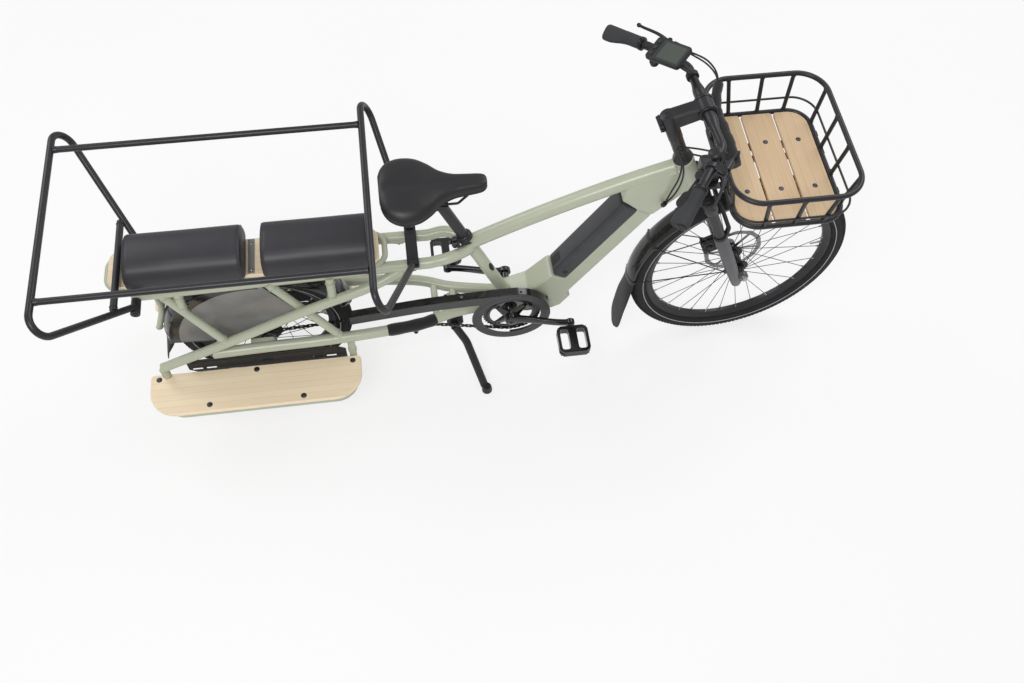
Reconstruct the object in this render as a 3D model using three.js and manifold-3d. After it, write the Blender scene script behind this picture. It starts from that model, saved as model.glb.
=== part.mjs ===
// A longtail electric cargo bike: a large front wheel under a flat-bottomed basket, a small rear wheel
// under a long rack with two cushions, a guard rail round the riders and a footboard on each side.
// Millimetres. +X points forward, +Y to the rider's left, +Z up. Places are first given from the point
// under the front hub (x = 0 at the front hub, z = 0 on the ground), and the bike is centred at the end.

import * as THREE from 'three';
import { mergeVertices } from 'three/addons/utils/BufferGeometryUtils.js';
import { ConvexGeometry } from 'three/addons/geometries/ConvexGeometry.js';
import Module from 'manifold-3d';

const wasm = await Module();
wasm.setup();

// Fits between pieces, and how far a cutting tool runs past what it cuts
const seat = 0.3;
const runningGap = 0.35;
const overrun = 2;
const slack = 0.08;

// Wheels
const wheelbase = 1420;
const frontRadius = 333;
const frontTyreWidth = 57;
const rearRadius = 258;
const rearTyreWidth = 60;
const rimWidth = 28;
const rimDepth = 22;
const beadDepth = 9;
const spokeRadius = 1.4;
const axleRadius = 6;
const frontHubRadius = 14;
const frontHubHalf = 54.6;
const frontFlangeHalf = 26;
const frontFlangeRadius = 26;
const frontBodyHalf = 36;
const frontEndRadius = 9;
const rearHubRadius = 46;
const rearHubHalf = 57.4;
const rearFlangeHalf = 31;
const rearFlangeRadius = 52;
const rearBodyHalf = 40;
const rearEndRadius = 13;
const flangeThickness = 4;
const discRadius = 90;
const discBand = 15;
const discThickness = 2.2;
const frontDiscY = 39;
const rearDiscRadius = 80;
const rearDiscY = 54;

// Front end, along and square to the steering axis
const headAngle = THREE.MathUtils.degToRad(68);
const steerAngle = THREE.MathUtils.degToRad(4.34);
const forkOffset = 48;
const forkTravel = 50;
const headTubeBottom = 432;
const headTubeTop = 556;
const headTubeRadius = 27;
const headBoreRadius = 20;
const raceDepth = 8;
const steererRadius = 14.3;
const legSpread = 62;
const legForward = 22;
const legRadius = 19;
const legFootRadius = 15;
const legFoot = -22;
const legTaperTop = 60;
const lowersTop = 250;
const boreFloor = 110;
const stanchionRadius = 15;
const crownBottom = 388;
const crownTop = 420;
const crownWaist = 24;
const socketRadius = 20;
const capHeight = 5;
const dropoutHalf = 14;
const dropoutInner = 55;
const dropoutOuter = 69;
const braceForward = 52;
const braceRadius = 6;
const braceTop = 349.5;
const caliperRear = 85;
const caliperHalf = 14;
const caliperBottom = 50;
const caliperTop = 100;
const columnRadius = 17.5;
const barForward = 91;
const barHeight = 705;
const stemAboveBar = 30;
const stemBelowBar = 15;
const stemTop = barHeight + stemAboveBar;
const stemBodyBottom = barHeight - stemBelowBar;
const clampRadius = 23;
const clampHalf = 26;
const barRadius = 11.1;
const barBulgeRadius = 15.9;
const bulgeHalf = 50;
const bulgeTaper = 30;
const gripLength = 134;
const gripRadius = 16;
const gripWing = 20;

// Front frame
const crankX = -695;
const crankZ = 269;
const shellRadius = 25;
const seatTubeAngle = THREE.MathUtils.degToRad(68.05);
const seatTubeLength = 345;
const seatTubeRadius = 17.8;
const postRadius = 15.4;
const postInserted = 130;
const postDrop = 90;
const postLength = 288;
const topTubeRadius = 21;
const downTubeAngle = THREE.MathUtils.degToRad(58.8);
const batteryX = -500;
const batteryZ = 535;
const batteryFrom = -148;
const batteryTo = 193;
const batteryDepth = 48;
const batteryHalf = 38;
const batteryBevel = 11;
const downTubeDepth = 97;
const downTubeHalf = 39;
const castingReach = 182;
const castingDrop = 41;

// Rear frame, rack and rider fittings
const rackZ = 541;
const rackRadius = 16;
const stayRadius = 16;
const diagonalRadius = 14;
const strutRadius = 12;
const loopRadius = 8;
const loopHalf = 54;
const loopFrontX = -1032;
const loopRearX = -1785;
const deckThickness = 12;
const deckHalf = 60;
const cushionHalf = 82.5;
const cushionHeight = 80;
const railZ = 800;
const railRadius = 8.5;
const hoopRadius = 9.5;
const railHalf = 235;
const railFrontX = -1065;
const railRearX = -1862;

// Drive
const chainringRadius = 85;
const cogRadius = 36.6;
const idlerRadius = 22.5;
const idlerX = -980;
const idlerZ = 238;
const chainLine = 62;
const chainHalfHeight = 4.2;
const chainHalfWidth = 4;
const sprocketHalf = 1.6;
const crankLength = 170;
const crankAxleRadius = 12;
const armInner = 80;
const armFlare = 30;
const armThickness = 15;
const pedalInner = 136;
const pedalWidth = 90;
const pedalHalf = 46;
const pedalThickness = 25;
const pedalAxleRadius = 7;

// Colours and finishes
const sage = { color: 0x9fa68a, roughness: 0.5, metalness: 0.1 };
const satinBlack = { color: 0x1b1b1d, roughness: 0.5, metalness: 0.2 };
const darkPlastic = { color: 0x2a2a2c, roughness: 0.6, metalness: 0 };
const glossBlack = { color: 0x141416, roughness: 0.2, metalness: 0 };
const forkGrey = { color: 0x55565a, roughness: 0.45, metalness: 0.3 };
const rubber = { color: 0x17171a, roughness: 0.85, metalness: 0 };
const gripRubber = { color: 0x3a3b3d, roughness: 0.85, metalness: 0 };
const bamboo = { color: 0xd9b98c, roughness: 0.6, metalness: 0 };
const vinyl = { color: 0x1f1f22, roughness: 0.45, metalness: 0 };
const steel = { color: 0x8c8d90, roughness: 0.35, metalness: 0.9 };
const darkSteel = { color: 0x2c2c2e, roughness: 0.4, metalness: 0.8 };
const batteryGrey = { color: 0x3b3c3e, roughness: 0.55, metalness: 0 };
const smoked = { color: 0x3c3632, roughness: 0.15, metalness: 0 };
const neoprene = { color: 0x222124, roughness: 0.95, metalness: 0 };

// Geometry helpers
const v2 = (x, y) => new THREE.Vector2(x, y);
const v3 = (x, y, z) => new THREE.Vector3(x, y, z);
const mirrored = (p) => v3(p.x, -p.y, p.z);
const along = (from, to, share) => from.clone().lerp(to, share);

// Welds a geometry's vertices, drops collapsed triangles and turns the faces outwards.
function weld(geometry) {
  const bare = geometry.clone();
  bare.deleteAttribute('normal');
  bare.deleteAttribute('uv');
  const merged = mergeVertices(bare);
  const index = merged.index.array;
  const place = merged.attributes.position;
  const a = v3();
  const b = v3();
  const c = v3();
  const kept = [];
  let volume = 0;
  for (let i = 0; i < index.length; i += 3) {
    const [p, q, r] = [index[i], index[i + 1], index[i + 2]];
    if (p === q || q === r || r === p) continue;
    kept.push(p, q, r);
    a.fromBufferAttribute(place, p);
    b.fromBufferAttribute(place, q);
    c.fromBufferAttribute(place, r);
    volume += a.dot(b.cross(c));
  }
  if (volume < 0) kept.reverse();
  merged.setIndex(kept);
  return merged;
}

function solid(geometry) {
  const welded = weld(geometry);
  const vertProperties = new Float32Array(welded.attributes.position.array);
  const triVerts = new Uint32Array(welded.index.array);
  return new wasm.Manifold(new wasm.Mesh({ numProp: 3, vertProperties, triVerts }));
}

function geometryOf(manifold) {
  const mesh = manifold.simplify(slack).getMesh();
  const geometry = new THREE.BufferGeometry();
  geometry.setAttribute('position', new THREE.BufferAttribute(new Float32Array(mesh.vertProperties), 3));
  geometry.setIndex(Array.from(mesh.triVerts));
  return geometry;
}

const joined = (list) => list.flat().map(solid).reduce((sum, piece) => sum.add(piece));
const join = (...list) => geometryOf(joined(list));
const cut = (body, ...tools) => geometryOf(solid(body).subtract(joined(tools)));
const shared = (body, other) => geometryOf(solid(body).intersect(solid(other)));

// How near its axis the flats of an eight-sided tube lie, as a share of its radius.
const flatShare = Math.cos(Math.PI / 8);
// The radius of a many-sided hole whose flats clear a round piece.
const boreFor = (radius, sides) => (radius + seat) / Math.cos(Math.PI / sides);

function circlePoints(radius, sides, turn = 0) {
  const step = (2 * Math.PI) / sides;
  const corner = (_, i) => v2(radius * Math.cos(i * step + turn), radius * Math.sin(i * step + turn));
  return Array.from({ length: sides }, corner);
}

// A straight round bar between two points, with another radius at its far end if one is given.
function bar(from, to, radius, sides = 10, endRadius = radius) {
  const run = to.clone().sub(from);
  const geometry = new THREE.CylinderGeometry(endRadius, radius, run.length(), sides);
  geometry.applyQuaternion(new THREE.Quaternion().setFromUnitVectors(v3(0, 1, 0), run.clone().normalize()));
  const middle = along(from, to, 1 / 2);
  return geometry.translate(middle.x, middle.y, middle.z);
}

const barY = (x, z, yFrom, yTo, radius, sides = 12) => bar(v3(x, yFrom, z), v3(x, yTo, z), radius, sides);
const barZ = (x, y, zFrom, zTo, radius, sides = 12, endRadius = radius) =>
  bar(v3(x, y, zFrom), v3(x, y, zTo), radius, sides, endRadius);

function box(xFrom, xTo, yFrom, yTo, zFrom, zTo) {
  const geometry = new THREE.BoxGeometry(Math.abs(xTo - xFrom), Math.abs(yTo - yFrom),
    Math.abs(zTo - zFrom));
  return geometry.translate((xFrom + xTo) / 2, (yFrom + yTo) / 2, (zFrom + zTo) / 2);
}

// The two points at a place of the middle plane, half a width to each side of it.
const pair = (p, half) => [v3(p.x, -half, p.z), v3(p.x, half, p.z)];
const hull = (points) => new ConvexGeometry(points.flat());

// A ring of points on a circle about a centre, square to a direction.
function ringPoints(centre, direction, radius, sides) {
  const turn = new THREE.Quaternion().setFromUnitVectors(v3(0, 0, 1), direction.clone().normalize());
  return circlePoints(radius, sides).map((p) => v3(p.x, p.y, 0).applyQuaternion(turn).add(centre));
}

// A path through points, with one section of a tube at each of them.
class PointPath extends THREE.Curve {
  constructor(points, closed = false) {
    super();
    this.points = closed ? [...points, points[0]] : points;
    this.closed = closed;
  }

  getUtoTmapping(u) {
    return u;
  }

  getPoint(t, target = v3()) {
    const reach = t * (this.points.length - 1);
    const i = Math.min(Math.floor(reach), this.points.length - 2);
    return target.lerpVectors(this.points[i], this.points[i + 1], reach - i);
  }

  getTangent(t, target = v3()) {
    const last = this.points.length - 1;
    const i = Math.round(t * last);
    const wrap = this.closed && (i === 0 || i === last);
    const before = wrap ? this.points[last - 1] : this.points[Math.max(i - 1, 0)];
    const after = wrap ? this.points[1] : this.points[Math.min(i + 1, last)];
    const back = this.points[i].clone().sub(before).normalize();
    const ahead = after.clone().sub(this.points[i]).normalize();
    return target.copy(back).add(ahead).normalize();
  }
}

// Rounds the corners of a polyline with arcs.
function rounded(points, radius, arcSteps = 3) {
  const path = [points[0].clone()];
  for (let i = 1; i < points.length - 1; i += 1) {
    path.push(...cornerArc(points[i - 1], points[i], points[i + 1], radius, arcSteps));
  }
  path.push(points[points.length - 1].clone());
  return path;
}

function cornerArc(before, corner, after, radius, arcSteps) {
  const back = before.clone().sub(corner).normalize();
  const ahead = after.clone().sub(corner).normalize();
  const half = back.angleTo(ahead) / 2;
  const start = corner.clone().addScaledVector(back, radius / Math.tan(half));
  const end = corner.clone().addScaledVector(ahead, radius / Math.tan(half));
  const centre = corner.clone().addScaledVector(back.add(ahead).normalize(), radius / Math.sin(half));
  const from = start.sub(centre);
  const to = end.sub(centre);
  const sweep = from.angleTo(to);
  const arc = [];
  for (let k = 0; k <= arcSteps; k += 1) {
    const share = k / arcSteps;
    const a = Math.sin((1 - share) * sweep) / Math.sin(sweep);
    const b = Math.sin(share * sweep) / Math.sin(sweep);
    arc.push(centre.clone().addScaledVector(from, a).addScaledVector(to, b));
  }
  return arc;
}

function roundedLoop(points, radius, arcSteps = 3) {
  const n = points.length;
  return points.flatMap((p, i) => cornerArc(points[(i + n - 1) % n], p, points[(i + 1) % n], radius,
    arcSteps));
}

function tube(points, radius, sides = 8) {
  const section = new THREE.Shape(circlePoints(radius, sides, Math.PI / sides));
  const extrudePath = new PointPath(points);
  return new THREE.ExtrudeGeometry(section, { steps: points.length - 1, extrudePath, bevelEnabled: false });
}

const ringTube = (points, radius, sides = 8) =>
  new THREE.TubeGeometry(new PointPath(points, true), points.length, radius, sides, true);

const rectangle = (xFrom, xTo, yFrom, yTo, z) =>
  [v3(xFrom, yFrom, z), v3(xTo, yFrom, z), v3(xTo, yTo, z), v3(xFrom, yTo, z)];

// A flat outline of [x, z] points given a thickness along Y.
function plate(outline, yFrom, yTo, holes = []) {
  const shape = new THREE.Shape(outline);
  shape.holes = holes.map((hole) => new THREE.Path(hole));
  const geometry = new THREE.ExtrudeGeometry(shape, { depth: Math.abs(yTo - yFrom), bevelEnabled: false });
  return geometry.rotateX(Math.PI / 2).translate(0, Math.max(yFrom, yTo), 0);
}

// A flat outline of [x, y] points given a thickness along Z.
function slab(outline, zFrom, zTo) {
  const shape = new THREE.Shape(outline);
  const geometry = new THREE.ExtrudeGeometry(shape, { depth: zTo - zFrom, bevelEnabled: false });
  return geometry.translate(0, 0, zFrom);
}

// A closed profile of [radius, y] points turned about a Y axis.
function turned(profile, x, z, segments) {
  const points = [...profile, profile[0]].map(([r, y]) => v2(r, y));
  return new THREE.LatheGeometry(points, segments).translate(x, 0, z);
}

const washer = (inner, outer, yFrom, yTo, x, z, segments) =>
  turned([[inner, yFrom], [outer, yFrom], [outer, yTo], [inner, yTo]], x, z, segments);

// Skins a row of rings that have as many points each, and closes both ends.
function loft(rings, outline) {
  const n = rings[0].length;
  const places = rings.flat().flatMap((p) => [p.x, p.y, p.z]);
  const index = [];
  for (let i = 0; i < rings.length - 1; i += 1) {
    for (let j = 0; j < n; j += 1) {
      const k = (j + 1) % n;
      index.push(i * n + j, i * n + k, (i + 1) * n + j);
      index.push(i * n + k, (i + 1) * n + k, (i + 1) * n + j);
    }
  }
  const lastRow = (rings.length - 1) * n;
  const winding = Math.sign(THREE.ShapeUtils.area(outline));
  THREE.ShapeUtils.triangulateShape(outline, []).forEach(([a, b, c]) => {
    const same = Math.sign(THREE.ShapeUtils.area([outline[a], outline[b], outline[c]])) === winding;
    const [p, q] = same ? [b, c] : [c, b];
    index.push(a, q, p, lastRow + a, lastRow + p, lastRow + q);
  });
  const geometry = new THREE.BufferGeometry();
  geometry.setAttribute('position', new THREE.Float32BufferAttribute(places, 3));
  geometry.setIndex(index);
  return geometry;
}

const bike = new THREE.Group();

function add(group, name, geometry, look) {
  const mesh = new THREE.Mesh(weld(geometry), new THREE.MeshStandardMaterial(look));
  mesh.name = name;
  group.add(mesh);
}

const sides = [{ side: -1, hand: 'right' }, { side: 1, hand: 'left' }];
const flip = (geometry, side) => geometry.clone().scale(1, side, 1);

// The steering group's z runs up the steering axis, its x points forward and its y to the left.
const tilted = new THREE.Group();
const axisX = -forkOffset * Math.sin(headAngle);
const axisZ = frontRadius - forkOffset * Math.cos(headAngle);
tilted.position.set(axisX, 0, axisZ);
tilted.rotation.y = headAngle - Math.PI / 2;
const steering = new THREE.Group();
steering.rotation.z = steerAngle;
tilted.add(steering);
bike.add(tilted);
const onAxis = (s) => v3(axisX - s * Math.cos(headAngle), 0, axisZ + s * Math.sin(headAngle));

// Wheels: a tyre that sits on its rim, and a hub that carries the spokes
const wheelSegments = 32;

const tyreCentre = (radius, width) => radius - width / 2;
const beadRadius = (radius, width) => tyreCentre(radius, width) - width / 4 - beadDepth / 2;
const rimTop = (radius, width) => beadRadius(radius, width) - seat;
const rimInner = (radius, width) => rimTop(radius, width) - rimDepth;
const spokeEnd = (radius, width) => rimInner(radius, width) - 2 * seat;

function tyre(radius, width) {
  const steps = 6;
  const spread = (2 * Math.PI) / 3;
  const profile = [];
  for (let i = 0; i <= steps; i += 1) {
    const angle = -spread + (2 * spread * i) / steps;
    profile.push([tyreCentre(radius, width) + (width / 2) * Math.cos(angle),
      (width / 2) * Math.sin(angle)]);
  }
  const bead = beadRadius(radius, width);
  profile.push([bead, rimWidth / 2], [bead, -rimWidth / 2]);
  return turned(profile, 0, 0, wheelSegments);
}

function rim(radius, width) {
  const top = rimTop(radius, width);
  const inner = rimInner(radius, width);
  const half = rimWidth / 2;
  const shoulder = top - rimDepth / 3;
  const profile = [[shoulder, -half], [top, -half], [top, half], [shoulder, half], [inner, half / 3],
    [inner, -half / 3]];
  return turned(profile, 0, 0, wheelSegments);
}

function spokes(count, fromRadius, fromHalf, toRadius) {
  const lean = (2 * Math.PI) / 9;
  const list = [];
  for (let i = 0; i < count; i += 1) {
    const side = i % 2 === 0 ? 1 : -1;
    const at = (i * 2 * Math.PI) / count;
    const root = at + side * lean;
    const from = v3(fromRadius * Math.cos(root), side * fromHalf, fromRadius * Math.sin(root));
    const to = v3(toRadius * Math.cos(at), (side * rimWidth) / 10, toRadius * Math.sin(at));
    list.push(bar(from, to, spokeRadius, 3));
  }
  return list;
}

function hubShell(size) {
  const bore = axleRadius + runningGap;
  const half = [[bore, size.half], [size.endRadius, size.half], [size.endRadius, size.bodyHalf],
    [size.radius, size.bodyHalf], [size.radius, size.flangeHalf + flangeThickness / 2],
    [size.flangeRadius, size.flangeHalf + flangeThickness / 2],
    [size.flangeRadius, size.flangeHalf - flangeThickness / 2],
    [size.radius, size.flangeHalf - flangeThickness / 2]];
  const other = half.slice().reverse().map(([r, y]) => [r, -y]);
  return turned([...half, ...other], 0, 0, 12);
}

function brakeDisc(radius, y, hubRadius) {
  const inner = radius - discBand;
  const half = discThickness / 2;
  const arms = [];
  const armCount = 5;
  for (let i = 0; i < armCount; i += 1) {
    const angle = (i * 2 * Math.PI) / armCount;
    const arm = box(hubRadius - overrun, inner + overrun, y - half, y + half, -discBand / 3, discBand / 3);
    arms.push(arm.rotateY(angle));
  }
  return [washer(inner, radius, y - half, y + half, 0, 0, 24), ...arms];
}

const frontWheel = new THREE.Group();
frontWheel.position.x = forkOffset;
frontWheel.rotation.y = Math.PI / 2 - headAngle;
steering.add(frontWheel);
const frontHubSize = { radius: frontHubRadius, half: frontHubHalf, endRadius: frontEndRadius,
  bodyHalf: frontBodyHalf, flangeHalf: frontFlangeHalf, flangeRadius: frontFlangeRadius };
const frontSpokeCount = 32;
const frontSpokes = spokes(frontSpokeCount, frontFlangeRadius - overrun, frontFlangeHalf,
  spokeEnd(frontRadius, frontTyreWidth));
const frontDisc = brakeDisc(discRadius, frontDiscY, frontEndRadius);
add(frontWheel, 'front_tyre', tyre(frontRadius, frontTyreWidth), rubber);
add(frontWheel, 'front_rim', rim(frontRadius, frontTyreWidth), satinBlack);
add(frontWheel, 'front_hub', join(hubShell(frontHubSize), frontSpokes, frontDisc), darkSteel);

const rearWheel = new THREE.Group();
rearWheel.position.set(-wheelbase, 0, rearRadius);
bike.add(rearWheel);
const rearHubSize = { radius: rearHubRadius, half: rearHubHalf, endRadius: rearEndRadius,
  bodyHalf: rearBodyHalf, flangeHalf: rearFlangeHalf, flangeRadius: rearFlangeRadius };
const rearSpokeCount = 32;
const rearSpokes = spokes(rearSpokeCount, rearFlangeRadius - overrun, rearFlangeHalf,
  spokeEnd(rearRadius, rearTyreWidth));
const rearDisc = brakeDisc(rearDiscRadius, rearDiscY, rearEndRadius);
add(rearWheel, 'rear_tyre', tyre(rearRadius, rearTyreWidth), rubber);
add(rearWheel, 'rear_rim', rim(rearRadius, rearTyreWidth), satinBlack);
add(rearWheel, 'rear_hub', join(hubShell(rearHubSize), rearSpokes, rearDisc), darkSteel);

// Fork: the crown with its steerer and two stanchions
const crownFrontShare = 0.9;
function forkCrown() {
  const front = legForward + socketRadius * crownFrontShare;
  const half = [v2(front, legSpread / 2), v2(legForward + socketRadius / 2, legSpread),
    v2(legForward - socketRadius / 2, legSpread), v2(-crownWaist, legSpread / 3)];
  const outline = [...half, ...half.slice().reverse().map((p) => v2(p.x, -p.y))];
  const stanchionFoot = boreFloor + forkTravel + stanchionRadius / 2;
  const legs = [-legSpread, legSpread].flatMap((y) => [
    barZ(legForward, y, stanchionFoot, crownBottom + overrun, stanchionRadius, 14),
    barZ(legForward, y, crownBottom, crownTop, socketRadius, 14),
    barZ(legForward, y, crownTop - overrun, crownTop + capHeight, socketRadius - overrun, 10),
  ]);
  const race = barZ(0, 0, crownTop - overrun, headTubeBottom - seat, crownWaist, 14);
  const collar = barZ(0, 0, headTubeBottom - overrun, headTubeBottom + raceDepth,
    headBoreRadius - runningGap, 14);
  const steerer = barZ(0, 0, crownBottom, stemBodyBottom, steererRadius, 14);
  return join(slab(outline, crownBottom, crownTop), legs, race, collar, steerer);
}
add(steering, 'fork_crown', forkCrown(), satinBlack);

// Fork lowers: two bored legs with dropouts, the brace over the tyre and the brake caliper
function forkLowers() {
  const legs = [-1, 1].flatMap((side) => [
    barZ(legForward, side * legSpread, legFoot, legTaperTop, legFootRadius, 12, legRadius),
    barZ(legForward, side * legSpread, legTaperTop, lowersTop, legRadius, 12),
    box(legForward, forkOffset + dropoutHalf, side * dropoutInner, side * dropoutOuter, -dropoutHalf,
      dropoutHalf),
  ]);
  const shoulder = v3(legForward + legRadius / 2, legSpread, lowersTop - legRadius);
  const knee = v3(braceForward, legSpread - braceRadius, lowersTop + 2 * braceRadius);
  const crest = v3(braceForward, frontTyreWidth / 2, braceTop);
  const route = [shoulder, knee, crest, mirrored(crest), mirrored(knee), mirrored(shoulder)];
  const brace = tube(rounded(route, 2 * braceRadius, 2), braceRadius, 6);
  const caliper = box(forkOffset - caliperRear, legForward - legRadius / 2, frontDiscY - caliperHalf,
    frontDiscY + caliperHalf, caliperBottom, caliperTop);
  const slot = washer(spokeRadius, discRadius + overrun + caliperHalf / 4, frontDiscY - caliperHalf / 4,
    frontDiscY + caliperHalf / 4, forkOffset, 0, 16);
  const bores = [-legSpread, legSpread].map((y) =>
    barZ(legForward, y, boreFloor, lowersTop + overrun, stanchionRadius + runningGap, 14));
  const axleHole = barY(forkOffset, 0, -dropoutOuter - overrun, dropoutOuter + overrun,
    axleRadius + seat, 12);
  return cut(join(legs, brace, caliper), slot, bores, axleHole);
}
add(steering, 'fork_lowers', forkLowers(), forkGrey);

const nutHeight = 8;
const nutShare = 1.5;
function frontAxle() {
  const end = dropoutOuter + seat;
  const nuts = [-1, 1].map((side) => barY(forkOffset, 0, side * end, side * (end + nutHeight),
    nutShare * axleRadius, 6));
  return join(barY(forkOffset, 0, -end - nutHeight / 2, end + nutHeight / 2, axleRadius), nuts);
}
add(steering, 'front_axle', frontAxle(), steel);

// Mudguards: a shallow channel that follows the wheel and ends in a straight flap
const guardSkin = 3;
const guardShoulderShare = 0.7;
function mudguard(centre, radius, fromAngle, toAngle, steps, flapEnd, half, lip) {
  const shoulder = guardShoulderShare * half;
  const outline = [[-half, -lip], [-half, -lip / 3], [-shoulder, guardSkin], [shoulder, guardSkin],
    [half, -lip / 3], [half, -lip], [half - guardSkin, -lip], [half - guardSkin, -lip / 3],
    [shoulder - guardSkin / 2, 0], [guardSkin / 2 - shoulder, 0],
    [guardSkin - half, -lip / 3], [guardSkin - half, -lip]];
  const ringAt = (place, out) => outline.map(([across, up]) =>
    v3(place.x + out.x * up, across, place.z + out.z * up));
  const rings = [];
  for (let i = 0; i <= steps; i += 1) {
    const angle = fromAngle + ((toAngle - fromAngle) * i) / steps;
    const out = v3(Math.cos(angle), 0, Math.sin(angle));
    rings.push(ringAt(centre.clone().addScaledVector(out, radius), out));
  }
  const out = v3(Math.cos(toAngle), 0, Math.sin(toAngle));
  rings.push(ringAt(flapEnd, out));
  return loft(rings, outline.map(([x, y]) => v2(x, y)));
}

const guardGap = 9;
const frontGuardRadius = frontRadius + guardGap;
const frontGuardHalf = 33;
const frontGuardLip = 12;
const frontFlapReach = 428;
const frontFlapDrop = 107;
const guardStayRadius = 2.2;
const guardFrom = THREE.MathUtils.degToRad(103.5);
const guardTo = THREE.MathUtils.degToRad(158);
const guardStayAngles = [THREE.MathUtils.degToRad(128), THREE.MathUtils.degToRad(156)];

function frontMudguard() {
  const centre = v3(forkOffset, 0, 0);
  const flapEnd = v3(forkOffset - frontFlapReach, 0, -frontFlapDrop);
  const skin = mudguard(centre, frontGuardRadius, guardFrom, guardTo, 8, flapEnd, frontGuardHalf,
    frontGuardLip);
  const footX = legForward - legRadius - guardStayRadius - seat;
  const reach = frontGuardRadius - frontGuardLip / 2;
  const stays = sides.flatMap(({ side }) => guardStayAngles.map((angle) => {
    const foot = v3(footX, side * legSpread, legTaperTop);
    const tip = v3(forkOffset + reach * Math.cos(angle), side * (frontGuardHalf - guardSkin / 2),
      reach * Math.sin(angle));
    return bar(foot, tip, guardStayRadius, 6);
  }));
  return join(skin, stays);
}
add(steering, 'front_mudguard', frontMudguard(), glossBlack);

// Stem: a cone on the head tube, a column round the steerer, and a block that clamps the bar
const stemHoleRadius = steererRadius + runningGap;
const coneTop = 575;
function stem() {
  const coneBase = headTubeTop + seat;
  const spigot = barZ(0, 0, headTubeTop - raceDepth, coneBase + overrun, headBoreRadius - runningGap, 14);
  const cone = barZ(0, 0, coneBase, coneTop, headTubeRadius - overrun, 14, columnRadius);
  const column = barZ(0, 0, coneTop - overrun, stemBodyBottom + overrun, columnRadius, 14);
  const cap = barZ(0, 0, stemBodyBottom, stemTop, columnRadius + 2 * overrun, 12);
  const neckHalf = clampRadius - overrun;
  const neck = hull([rectangle(0, 0, -neckHalf, neckHalf, stemBodyBottom),
    rectangle(0, 0, -neckHalf, neckHalf, stemTop),
    pair(v3(barForward, 0, barHeight - neckHalf / 2), clampHalf - 2 * overrun),
    pair(v3(barForward, 0, barHeight + neckHalf / 2), clampHalf - 2 * overrun)]);
  const clamp = barY(barForward, barHeight, -clampHalf, clampHalf, clampRadius, 14);
  const bore = barZ(0, 0, headTubeTop - raceDepth - overrun, stemBodyBottom + seat, stemHoleRadius, 14);
  const barHole = barY(barForward, barHeight, -clampHalf - overrun, clampHalf + overrun,
    barBulgeRadius + seat, 14);
  return cut(join(spigot, cone, column, cap, neck, clamp), bore, barHole);
}
add(steering, 'stem', stem(), satinBlack);

// Handlebar: a bulged middle, a bend forward of the steering axis and swept-back ends for the grips
const bendHalf = 138;
const bendRise = 4;
const gripBack = 70;
const gripSpread = 230;
const gripRise = 28;
const gripAxisShares = [-0.631, 0.769, 0.099];
const gripStart = v3(barForward - gripBack, gripSpread, barHeight + gripRise);
const gripAxis = v3(...gripAxisShares).normalize();
const bendRadius = 40;
const gripEndWall = 4;
const barBend = v3(barForward, bendHalf, barHeight + bendRise);
const barCornerRoom = bendRadius / 2;
const barTip = gripStart.clone().addScaledVector(gripAxis, gripLength - gripEndWall - seat);

function handlebar() {
  const middle = v3(barForward, 0, barHeight);
  const route = [barTip, gripStart, barBend, middle];
  const half = tube(rounded(route, bendRadius, 3), barRadius, 10);
  const step = v3(barForward, bulgeHalf, barHeight);
  const end = along(middle, barBend, (bulgeHalf + bulgeTaper) / bendHalf);
  const taper = bar(step, end, barBulgeRadius, 14, barRadius + seat);
  const bulge = barY(barForward, barHeight, -step.y, step.y, barBulgeRadius, 14);
  return join(half, flip(half, -1), bulge, taper, flip(taper, -1));
}
add(steering, 'handlebar', handlebar(), satinBlack);

// Grips: a ridged sleeve that widens rearwards into a palm rest
function grip() {
  const start = gripStart.clone().addScaledVector(gripAxis, barCornerRoom);
  const end = gripStart.clone().addScaledVector(gripAxis, gripLength);
  const rear = v3(-gripAxis.y, gripAxis.x, 0).normalize();
  const wingCentre = end.clone().addScaledVector(rear, gripWing);
  const waist = along(start, end, 1 / 3);
  const collar = bar(start, waist, gripRadius + overrun / 2, 12);
  const palm = hull([ringPoints(along(start, end, 1 / 4), gripAxis, gripRadius, 10),
    ringPoints(end, gripAxis, gripRadius, 10), ringPoints(wingCentre, gripAxis, gripRadius / 2, 8)]);
  const boreStart = start.clone().addScaledVector(gripAxis, -overrun);
  const boreEnd = barTip.clone().addScaledVector(gripAxis, seat);
  return cut(join(collar, palm), bar(boreStart, boreEnd, boreFor(barRadius, 12), 12));
}
sides.forEach(({ side, hand }) => add(steering, `grip_${hand}`, flip(grip(), side), gripRubber));

// Brake lever mounts: a clamp on the bar between bend and grip, a reservoir ahead and a pod behind
const mountShare = 0.42;
const mountHalf = 7;
const mountRadius = 16;
const leverAhead = 36;
const leverOut = 12;
const leverLength = 108;
const leverRadius = 4.5;
const leverSplay = 0.16;
const leverBarrelRadius = 6;
const leverBarrelHalf = 6;
const leverPinRadius = 2.5;
const earThickness = 4;
const reservoirLength = 30;
const podBack = 24;
const podOut = 22;
const podRadius = 12;
const podTop = 6;
const podBottom = 20;
const paddleReach = 72;
const paddleBack = 18;
const paddleThickness = 7;
const paddleHalf = 15;
const barRun = barBend.clone().sub(gripStart).normalize();
const barAhead = v3(-barRun.y, barRun.x, 0).normalize();
const mountCentre = along(gripStart, barBend, mountShare);
const offMount = (ahead, out, up = 0) => mountCentre.clone().addScaledVector(barAhead, ahead)
  .addScaledVector(barRun, -out).add(v3(0, 0, up));
const leverPivot = offMount(leverAhead, leverOut);
const raised = (p, up) => p.clone().add(v3(0, 0, up));
const upright = (p, from, to, radius, sides = 10) => bar(raised(p, from), raised(p, to), radius, sides);
const barHole = (centre, reach) => bar(centre.clone().addScaledVector(barRun, -reach),
  centre.clone().addScaledVector(barRun, reach), boreFor(barRadius, 10), 10);

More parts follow.
